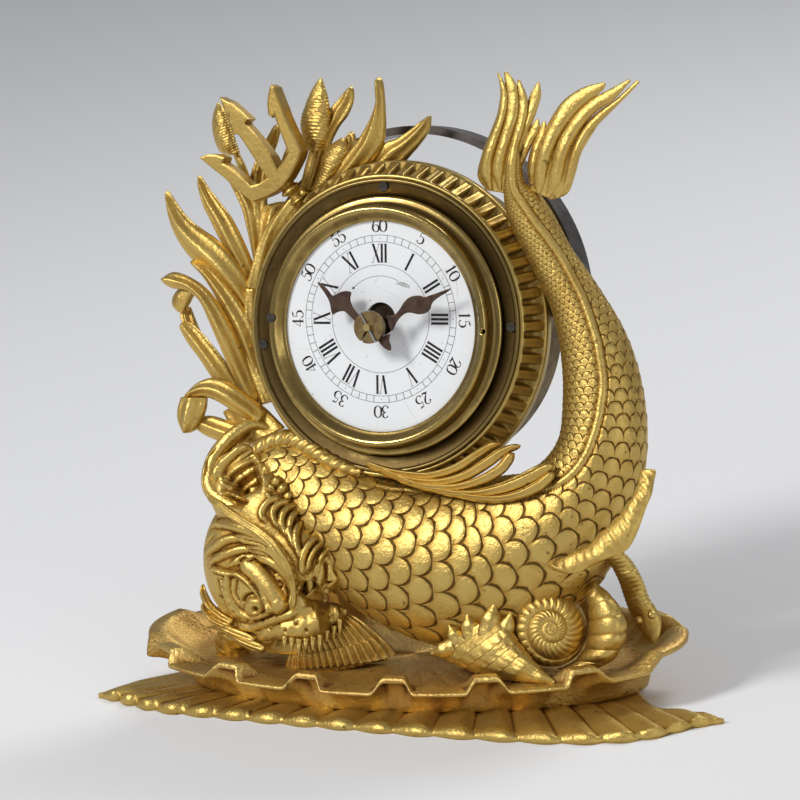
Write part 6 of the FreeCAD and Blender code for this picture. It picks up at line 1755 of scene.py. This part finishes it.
# %% Tray
TRAY_HALF_LENGTH = 83 * MM
TRAY_HALF_DEPTH = 35 * MM
TRAY_MIDDLE = np.array([-5, 20]) * MM
TRAY_FOOT = 2.25 * MM
TRAY_FLOOR = 9.5 * MM
TRAY_FRONT_RIM = 12.5 * MM
TRAY_BACK_RIM = 20 * MM
PLEATS = 14
PLEAT_AT_PIXEL = (394, 676)
ROUND_STEPS = 800


def tray_angle(place):
    return math.atan2((place[1] - TRAY_MIDDLE[1]) / TRAY_HALF_DEPTH,
                      (place[0] - TRAY_MIDDLE[0]) / TRAY_HALF_LENGTH)


turn = around(ROUND_STEPS)
step = np.hypot(TRAY_HALF_LENGTH * np.sin(turn), TRAY_HALF_DEPTH * np.cos(turn))
arc = np.concatenate([[0], np.cumsum(step)])
arc = arc[:-1] / arc[-1]
pleat_start = np.interp(tray_angle(on_level(*PLEAT_AT_PIXEL, TRAY_FRONT_RIM)) % (2 * np.pi), turn, arc)
pleat_phase = np.mod(PLEATS * (arc - pleat_start) + 0.5, 1) - 0.5
pleat_box = np.clip((0.17 - np.abs(pleat_phase)) / 0.13 + 0.5, 0, 1)
pleat_box = pleat_box * pleat_box * (3 - 2 * pleat_box)
pleat_box = 1 - (1 - pleat_box) * np.clip((0.965 - np.abs(np.cos(turn))) / 0.05, 0, 1)

# Rings as share of the half axes, height share from foot to rim (outside) or floor to rim (inside)
OUTSIDE = (
    (0.82, 0.0), (0.828, 0.10), (0.838, 0.25), (0.852, 0.42), (0.875, 0.58), (0.905, 0.71), (0.94, 0.80),
    (0.965, 0.84), (0.985, 0.85), (0.999, 0.87), (1.003, 0.93), (0.999, 0.985), (0.992, 1.0))
INSIDE = (
    (0.985, 1.0), (0.972, 0.97), (0.955, 0.88), (0.935, 0.74), (0.91, 0.56), (0.88, 0.36), (0.85, 0.17),
    (0.82, 0.05), (0.79, 0.0), (0.74, 0.0), (0.68, 0.0), (0.61, 0.0), (0.53, 0.0), (0.44, 0.0), (0.34, 0.0),
    (0.22, 0.0), (0.10, 0.0))
OUTSIDE_RINGS = 34
INSIDE_RINGS = 80
GRAIN_FROM_RING = 39
outside_share, outside_rise = smooth_line(OUTSIDE, OUTSIDE_RINGS).clip(0, 1.01).T
inside_share, inside_rise = smooth_line(INSIDE, INSIDE_RINGS).clip(0, 1.01).T
slope = (TRAY_BACK_RIM - TRAY_FRONT_RIM) / (2 * TRAY_HALF_DEPTH)
PLEAT_IN = 2.6 * MM
PLEAT_RISE = 0.2 * MM
PLEAT_DROP = 3.1 * MM
RIM_WIDTH = 1.7 * MM


def tray_ring(share, rise, bottom, inward=0.0):
    """One ring of the tray; rise 1 is the rim."""
    grow = rise ** 1.2
    out = -PLEAT_IN * grow * pleat_box - inward
    across = TRAY_HALF_LENGTH * share + out
    deep = TRAY_HALF_DEPTH * share + out
    x = TRAY_MIDDLE[0] + across * np.cos(turn)
    y = TRAY_MIDDLE[1] + deep * np.sin(turn)
    rim = TRAY_FRONT_RIM + slope * (y - TRAY_MIDDLE[1] + TRAY_HALF_DEPTH)
    top = rim + PLEAT_RISE * pleat_box - PLEAT_DROP * (1 - pleat_box)
    return np.stack([x, y, bottom + (top - bottom) * rise], -1)


tray_rings = [tray_ring(share, rise, TRAY_FOOT) for share, rise in zip(outside_share, outside_rise)]
for share, rise in zip(inside_share, inside_rise):
    ring = tray_ring(share, rise, TRAY_FLOOR, RIM_WIDTH)
    radial = np.clip((share - 0.25) / 0.5, 0, 1) * np.clip((1 - share) * 8, 0, 1)
    ring[:, 2] += radial * 0.35 * MM * (np.abs(np.sin(np.pi * PLEATS * 3 * (arc - pleat_start))) - 0.7)
    tray_rings.append(ring)
tray_grid = np.array(tray_rings)
grain = np.random.default_rng(11)
inside_rows = np.arange(len(tray_grid)) >= GRAIN_FROM_RING
tray_grid[inside_rows, :, 2] += grain.normal(size=(inside_rows.sum(), ROUND_STEPS)) * 0.05 * MM
finished(cast("crimped_tray", [tube_form(tray_grid)]), "case", gilt_tray, "gilt_bronze", "shell_tray",
         rounds=10)

# %% [markdown]
# The base plate is a long leaf with a point at each end. Rays fan out over its front and end in a
# scalloped edge. We lay a grid from the back edge to the front edge, lift the rays out of it, and
# close it with a flat underside.

# %% Base plate
PLATE_HALF_LENGTH = 94 * MM
PLATE_FRONT = 23 * MM
PLATE_BACK = 50 * MM
PLATE_THICK = 1.7 * MM
RAY_RISE = 1.4 * MM
SCALLOP_DEPTH = 1.6 * MM
RAYS = 15
FRONT_SHARES = (
    (-1.0, -0.06), (-0.77, -0.48), (-0.55, -0.64), (-0.06, -0.87), (0.20, -0.96), (0.60, -1.0), (0.82, -0.76),
    (0.93, -0.25), (1.0, 0.0))
BACK_SHARES = (
    (-1.0, -0.06), (-0.95, 0.16), (-0.86, 0.36), (-0.70, 0.64), (-0.42, 0.92), (0.0, 1.0), (0.42, 0.80),
    (0.60, 0.54), (0.69, 0.30), (0.78, 0.13), (0.90, 0.08), (1.0, 0.0))


def plate_edge(shares, count):
    line = smooth_line(shares, 400)
    deep = np.where(line[:, 1] < 0, PLATE_FRONT, PLATE_BACK)
    x = np.linspace(-0.9995, 0.9995, count) * PLATE_HALF_LENGTH
    return x, np.interp(x, line[:, 0] * PLATE_HALF_LENGTH, line[:, 1] * deep)


PLATE_COLUMNS = 620
plate_x, front_y = plate_edge(FRONT_SHARES, PLATE_COLUMNS)
_, back_y = plate_edge(BACK_SHARES, PLATE_COLUMNS)
hub = np.array([-5, 70]) * MM
ray_pitch = 2 * PLATE_HALF_LENGTH / RAYS


def ray_wave(x, y):
    """Rays that fan out from a hub behind the plate: a steep side and a gentle one."""
    foot = hub[0] + (x - hub[0]) * (hub[1] + PLATE_FRONT) / np.maximum(hub[1] - y, 1 * MM)
    part = np.mod((foot + PLATE_HALF_LENGTH) / ray_pitch, 1)
    return np.sin(np.pi * part ** 1.6) ** 0.7


share = np.linspace(0, 1, 60)[:, None] ** 0.8
from_points = 1 - np.abs(plate_x / PLATE_HALF_LENGTH)
scallop = SCALLOP_DEPTH * (1 - ray_wave(plate_x, front_y)) * np.clip(from_points * 12, 0, 1)
front_line = front_y + scallop
plate_y = back_y * (1 - share) + front_line * share
wave = ray_wave(plate_x[None], plate_y)
ahead = np.clip((10 * MM - plate_y) / (14 * MM), 0, 1)
tip = np.clip(from_points * 14, 0.25, 1)[None]
edge_round = np.clip((1 - share) * 26, 0, 1) ** 0.5 * np.clip(share * 60, 0, 1) ** 0.5
top_z = PLATE_THICK * (0.5 + 0.5 * edge_round) * (0.6 + 0.4 * tip) + RAY_RISE * wave * ahead * tip * (
    0.45 + 0.55 * edge_round)
plate_top = np.stack([np.broadcast_to(plate_x, top_z.shape), plate_y, top_z], -1)
under_share = np.linspace(1, 0, 12)[:, None]
under_y = back_y * (1 - under_share) + front_line * under_share
plate_under = np.stack([np.broadcast_to(plate_x, under_y.shape), under_y, np.zeros_like(under_y)], -1)
plate_grid = np.concatenate([plate_top, plate_under]).swapaxes(0, 1)
finished(cast("rayed_plate", [tube_form(plate_grid)]), "case", gilt_base, "gilt_bronze", "base_plate",
         rounds=10)

# %% [markdown]
# ## Shells, eel and trident
# The coiled shell is a flat dome that faces the viewer. A logarithmic spiral groove and curved
# ribs are sunk into it, so that each whorl reads as a ribbed tube. Its last whorl passes round the
# right side as a horn of broad rolls, with a small spike on top.

# %% Coiled shell
COIL_RADIUS = 9.7 * MM
COIL_DOME = 6.0 * MM
COIL_WHORLS = 3.1
COIL_RIBS = 12
COIL_STEPS = 300
coil_middle = at_photo(np.array([551.0]), np.array([629.0]), -7.0 * MM)[0]
COIL_RIGHT = unit(np.cross(np.array([0, 0, 1]), VIEW_BACK))
COIL_UP = np.cross(VIEW_BACK, COIL_RIGHT)
polar = np.linspace(0, np.pi, 230)[1:-1, None]
turn = around(COIL_STEPS)[None]
reach = np.sin(polar)
whorls_in = COIL_WHORLS * np.log(1 / np.clip(reach, 0.07, 1)) / np.log(1 / 0.07)
in_whorl = np.abs(np.sin(np.pi * (whorls_in + turn / (2 * np.pi)))) ** 0.55
rib = np.abs(np.sin(COIL_RIBS * turn + 2.4 * whorls_in + 2.0 * in_whorl)) ** 0.6
front = np.clip(np.cos(polar) * 6, 0, 1)
lift = reach * (1.9 * MM * (in_whorl - 1) + 0.75 * MM * (rib - 1) * in_whorl) * front
bulk = COIL_DOME * np.sign(np.cos(polar)) * np.abs(np.cos(polar)) ** 0.8
coil_grid = (coil_middle + COIL_RIGHT * (COIL_RADIUS * reach * np.cos(turn))[..., None]
             + COIL_UP * (COIL_RADIUS * 1.04 * reach * np.sin(turn))[..., None]
             + VIEW_BACK * (bulk + lift)[..., None])


def rolls(place, turn):
    return 0.13 * (np.abs(np.sin(place * np.pi * 6.5)) ** 0.35 - 0.85)


horn_form = photo_body(((586, 592), (588, 607), (589, 623), (587, 639), (582, 652), (571, 663), (556, 669)),
                       ((598, 584), (612, 596), (623, 613), (627, 630), (622, 648), (608, 664), (580, 672)),
                       (-5.0,), (2.4, 5.4, 6.4, 6.6, 5.6, 4.0, 2.0), 200, 56, rolls)
spike_form = photo_body(((587, 597), (591, 590), (594.5, 583)), ((602, 598), (599, 591), (596, 583)), (-6.5,),
                        (2.0, 1.4, 0.3), 24, 18)
gilded("coiled_shell", [tube_form(coil_grid), horn_form, spike_form], "snail_shell")

# %% [markdown]
# The conch lies on its side: a cone from a crown of spikes at the upper left to a point at the
# lower right, with rows of scalloped marks round it.

# %% Conch
def conch_rows(place, turn):
    part = place ** 0.8 * 8.5
    marks = np.abs(np.sin(turn * 8 + np.floor(part) * 0.8)) ** 0.7
    ridge = np.mod(part, 1)
    return (0.055 * ridge * marks - 0.03) * np.clip((1 - place) * 6, 0, 1)


CONCH_SPIKES = (
    ((450, 648), (431, 654), 2.8),
    ((457, 638), (449, 625), 2.6),
    ((472, 632), (467, 612), 3.2),
    ((491, 628), (494.5, 602), 3.8),
    ((505, 634), (511, 612), 2.8))
conch_forms = [photo_body(((434, 652), (447, 661), (468, 670), (496, 678), (526, 683), (552, 685)),
                          ((498, 611), (510, 621), (517, 637), (528, 653), (541, 668), (555, 681)),
                          (-11, -12.5, -14.5, -16), (5.0, 6.4, 6.0, 4.6, 2.8, 0.5), 240, 96, conch_rows)]
for root_pixel, tip_pixel, wide in CONCH_SPIKES:
    root, tip = at_photo(np.array([root_pixel[0], tip_pixel[0]]), np.array([root_pixel[1], tip_pixel[1]]),
                         np.array([-13.0, -14.0]) * MM)
    conch_forms.append(round_tube([root + (root - tip) * 0.3, root, tip],
                                  [wide * MM, wide * 0.8 * MM, 0.4 * MM], 24, 24,
                                  lambda place, turn: 0.05 * np.abs(np.sin(turn * 3))))
gilded("conch", conch_forms, "conch_shell")

# %% [markdown]
# A small eel hangs behind the side fin and looks over the rim: a round body, a flat wedge of a head
# with a closed mouth, and two bead eyes.

# %% Eel
def eel_skin(place, turn):
    mouth = np.exp(-((place - 0.93) / 0.05) ** 2) * np.exp(-((np.cos(turn) + 0.75) / 0.12) ** 2)
    return 0.02 * np.sin(place * 150) * (place < 0.6) - 0.2 * mouth


eel_forms = [photo_body(
    ((600, 552), (611, 566), (619, 582), (625, 600), (630, 613), (636, 626), (646, 638), (653, 644)),
    ((620, 548), (633, 562), (643, 580), (649, 597), (656, 608), (661, 620), (660, 634), (656, 644)),
    (-2, 1, 5, 6, 5), (3.0, 3.4, 3.4, 3.4, 3.2, 2.6, 1.4, 0.4), 160, 40, eel_skin)]
eel_eye_at = at_photo(np.array([639.0, 652.0]), np.array([620.0, 615.0]), 2.6 * MM)
eel_forms += [ball_form(place, mm(1.15, 1.15, 1.15), 14, 18) for place in eel_eye_at]
gilded("little_eel", eel_forms, "eel")

# %% [markdown]
# The trident is sawn from one thick plate and filed to a bevel, with barbs on each prong. Its
# outline is read off the photograph. Below it the shaft carries two turned collars.

# %% Trident
TRIDENT_DEPTH = -2.6
TRIDENT_OUTLINE = (
    (223, 97), (234, 102), (244, 110.5), (253, 119), (249, 123), (256, 131), (266, 143), (275.5, 155.5),
    (281.5, 168), (286.5, 161), (291.5, 152.5), (287, 141), (283, 131), (279.5, 121), (278, 115.5),
    (275.5, 118), (271.5, 114.5), (270.5, 104), (271.5, 94), (274, 84.5), (278.5, 87), (282, 96), (286, 106),
    (290, 117), (295.5, 129), (301.5, 141), (305.5, 151), (303, 159), (298, 169), (293, 178), (286.5, 186),
    (280, 191.5), (271, 196), (262, 199.5), (256.5, 202), (249, 196.5), (238.5, 187.5), (226, 176.5),
    (214, 167), (202.5, 157.5), (211, 154), (220, 154), (229, 157.5), (227.5, 163), (232, 165.5),
    (240, 171.5), (248, 178.5), (255, 185), (262.5, 183), (270, 178), (265.5, 170.5), (258.5, 160),
    (252, 150), (245.5, 140), (241.5, 134.5), (237, 134.5), (232.5, 123), (227.5, 110))
trident_plate = photo_plate(TRIDENT_OUTLINE, TRIDENT_DEPTH, 5.0, 0.6)
shaft_pixels = np.array([(283, 180), (291, 190), (300, 201), (310, 213)])
shaft_places = at_photo(shaft_pixels[:, 0], shaft_pixels[:, 1], np.array([-2.0, -1.0, 0.5, 2.0]) * MM)
shaft_line = smooth_line(shaft_places, 100)


def turned_shaft(place, turn):
    return (0.75 * np.exp(-((place - 0.28) / 0.07) ** 2) + 0.65 * np.exp(-((place - 0.56) / 0.06) ** 2)
            - 0.2 * np.exp(-((place - 0.42) / 0.05) ** 2))


trident_forms = [trident_plate, round_tube(shaft_line, mm(1.7, 1.7, 2.2), 120, 36, turned_shaft)]
trident_piece = gilded("fishers_trident", trident_forms, "trident", gilt_plain, relief=False)
for polygon in trident_piece.data.polygons[:len(trident_plate[1])]:
    polygon.use_smooth = False

# %% [markdown]
# Small leaf fins lie at both sides of the jaw: at the left curled cheek leaves, at the right a long
# ribbed fan that spreads over the tray's floor.

# %% Cheek and throat fins
CHEEK_SHARES = (
    (-1.12, -0.10, 0.66, 0.12, 0.10),
    (-1.24, -0.06, 0.52, 0.13, 0.10),
    (-1.32, 0.02, 0.36, 0.13, 0.10),
    (-1.36, 0.08, 0.24, 0.12, 0.08))
cheek_grid = upright_tube(CHEEK_SHARES, 50, 48)
cheek_grid = cheek_grid + grid_normals(cheek_grid) * lumps((50, 48), 0.7 * MM)[..., None]
CHEEK_LEAVES = (
    (((202, 584), (200, 594), (206, 607), (218, 619), (232, 627)),
     ((204, 584), (208, 594), (214, 604), (224, 613), (236, 620)), -9.0),
    (((205, 598), (201, 608), (206, 618), (218, 627), (234, 633)),
     ((207, 598), (208, 607), (214, 615), (226, 622), (238, 627)), -10.0),
    (((206, 628), (222, 632), (238, 640), (254, 645)), ((207, 626), (224, 624), (242, 630), (258, 637)),
     -12.0),
    (((222, 634), (236, 642), (250, 650), (264, 654)), ((223, 632), (238, 634), (254, 640), (268, 646)),
     -13.0))
cheek_forms = [tube_form(cheek_grid)]
for first, second, depth in CHEEK_LEAVES:
    depths = (depth + 3, depth, depth - 1)
    cheek_forms.append(photo_blade(first, second, depths, depths, mm(0.8, 2.0, 2.0), crown=mm(0.3, 1.0, 0.6),
                                   grooves=2, groove_depth=0.5 * MM, columns=20))
gilded("cheek_leaves", cheek_forms, "cheek_fin")

FAN_EDGES = (
    ((345, 610), (368, 625), (388, 643), (399, 657)),
    ((292, 640), (290, 650), (287, 660), (284, 668)))
fan_form = photo_blade(*FAN_EDGES, (-5.0, -5.0, -3.0, -0.5), (-8.0, -8.5, -8.0, -7.0), mm(1.4, 1.4, 1.0),
                       crown=mm(1.0, 3.0, 5.0, 6.5), grooves=15, groove_depth=0.9 * MM, rows=90, columns=150)
THROAT_SHARES = ((-0.84, -0.12, 0.58), (-0.60, -0.05, 0.44), (-0.34, 0.02, 0.36), (-0.14, 0.03, 0.30))
throat_root = round_tube(np.array(THROAT_SHARES) * DRUM_RADIUS, mm(4.0, 3.6, 2.6, 1.2), 60, 32)
gilded("throat_fan", [fan_form, throat_root], "throat_fin", gilt_base)

# %% [markdown]
# The clock stands on a plain pale floor that sweeps up into a pale wall far behind it, far enough
# for a camera that looks at the clock's back.

# %% Floor and backdrop
FLOOR_HALF = 2.4
WALL_RISE = 2.4
SWEEP_RADIUS = 1.0
SWEEP_STEPS = 24


def pale(name, colour):
    finish = Finish(name, roughness=0.9)
    cloud = finish.noise(3.0, 2.0)
    return finish.paint(Base_Color=finish.mix(cloud * 0.3, colour, (0.78, 0.78, 0.78, 1)))


bpy.ops.object.select_all(action="DESELECT")
bpy.ops.mesh.primitive_plane_add(size=2 * FLOOR_HALF, location=(0, 0, start_box[0][2]))
floor = bpy.context.object
floor.name = "floor"
bpy.ops.object.mode_set(mode="EDIT")
net = bmesh.from_edit_mesh(floor.data)
for edge in net.edges:
    edge.select_set(min(corner.co.y for corner in edge.verts) > FLOOR_HALF / 2)
net.select_flush(False)
bmesh.update_edit_mesh(floor.data)
bpy.ops.mesh.extrude_region_move(TRANSFORM_OT_translate={"value": (0, 0, WALL_RISE)})
bpy.ops.object.mode_set(mode="OBJECT")
bend = floor.modifiers.new("sweep", "BEVEL")
bend.width = SWEEP_RADIUS
bend.segments = SWEEP_STEPS
bpy.ops.object.modifier_apply(modifier="sweep")
bpy.ops.object.shade_smooth()
floor.data.materials.append(pale("pale_floor", (0.84, 0.84, 0.845, 1)))
print("floor at", start_box[0][2])

# %% [markdown]
# The key light of the photograph stands high at the left and in front: the numerals of the ring
# and the fluted rim are bright there, and shadows fall to the lower right. A broad weak fill from
# the right front opens the hollows, a rim light stands behind, and the world is a plain pale grey.

# %% Lights and world
MIDDLE = Vector((0, 0, 0.08))
# Place and size in metres, and watts
LAMPS = {"key_light": ((-0.55, -0.75, 0.85), 0.32, 9.6), "fill_light": ((0.9, -0.55, 0.35), 0.6, 1.6),
         "rim_light": ((0.25, 0.8, 0.9), 0.4, 4.5)}
for name, (place, size, watts) in LAMPS.items():
    lamp = bpy.data.lights.new(name, "AREA")
    lamp.size = size
    lamp.energy = watts
    holder = linked(name, lamp)
    holder.location = place
    holder.rotation_euler = (MIDDLE - Vector(place)).to_track_quat("-Z", "Y").to_euler()
    print(name, watts, "W")

world = bpy.data.worlds.new("studio")
world.use_nodes = True
bpy.context.scene.world = world
surround = world.node_tree.nodes["Background"]
surround.inputs["Color"].default_value = (0.80, 0.82, 0.86, 1)
surround.inputs["Strength"].default_value = 0.35
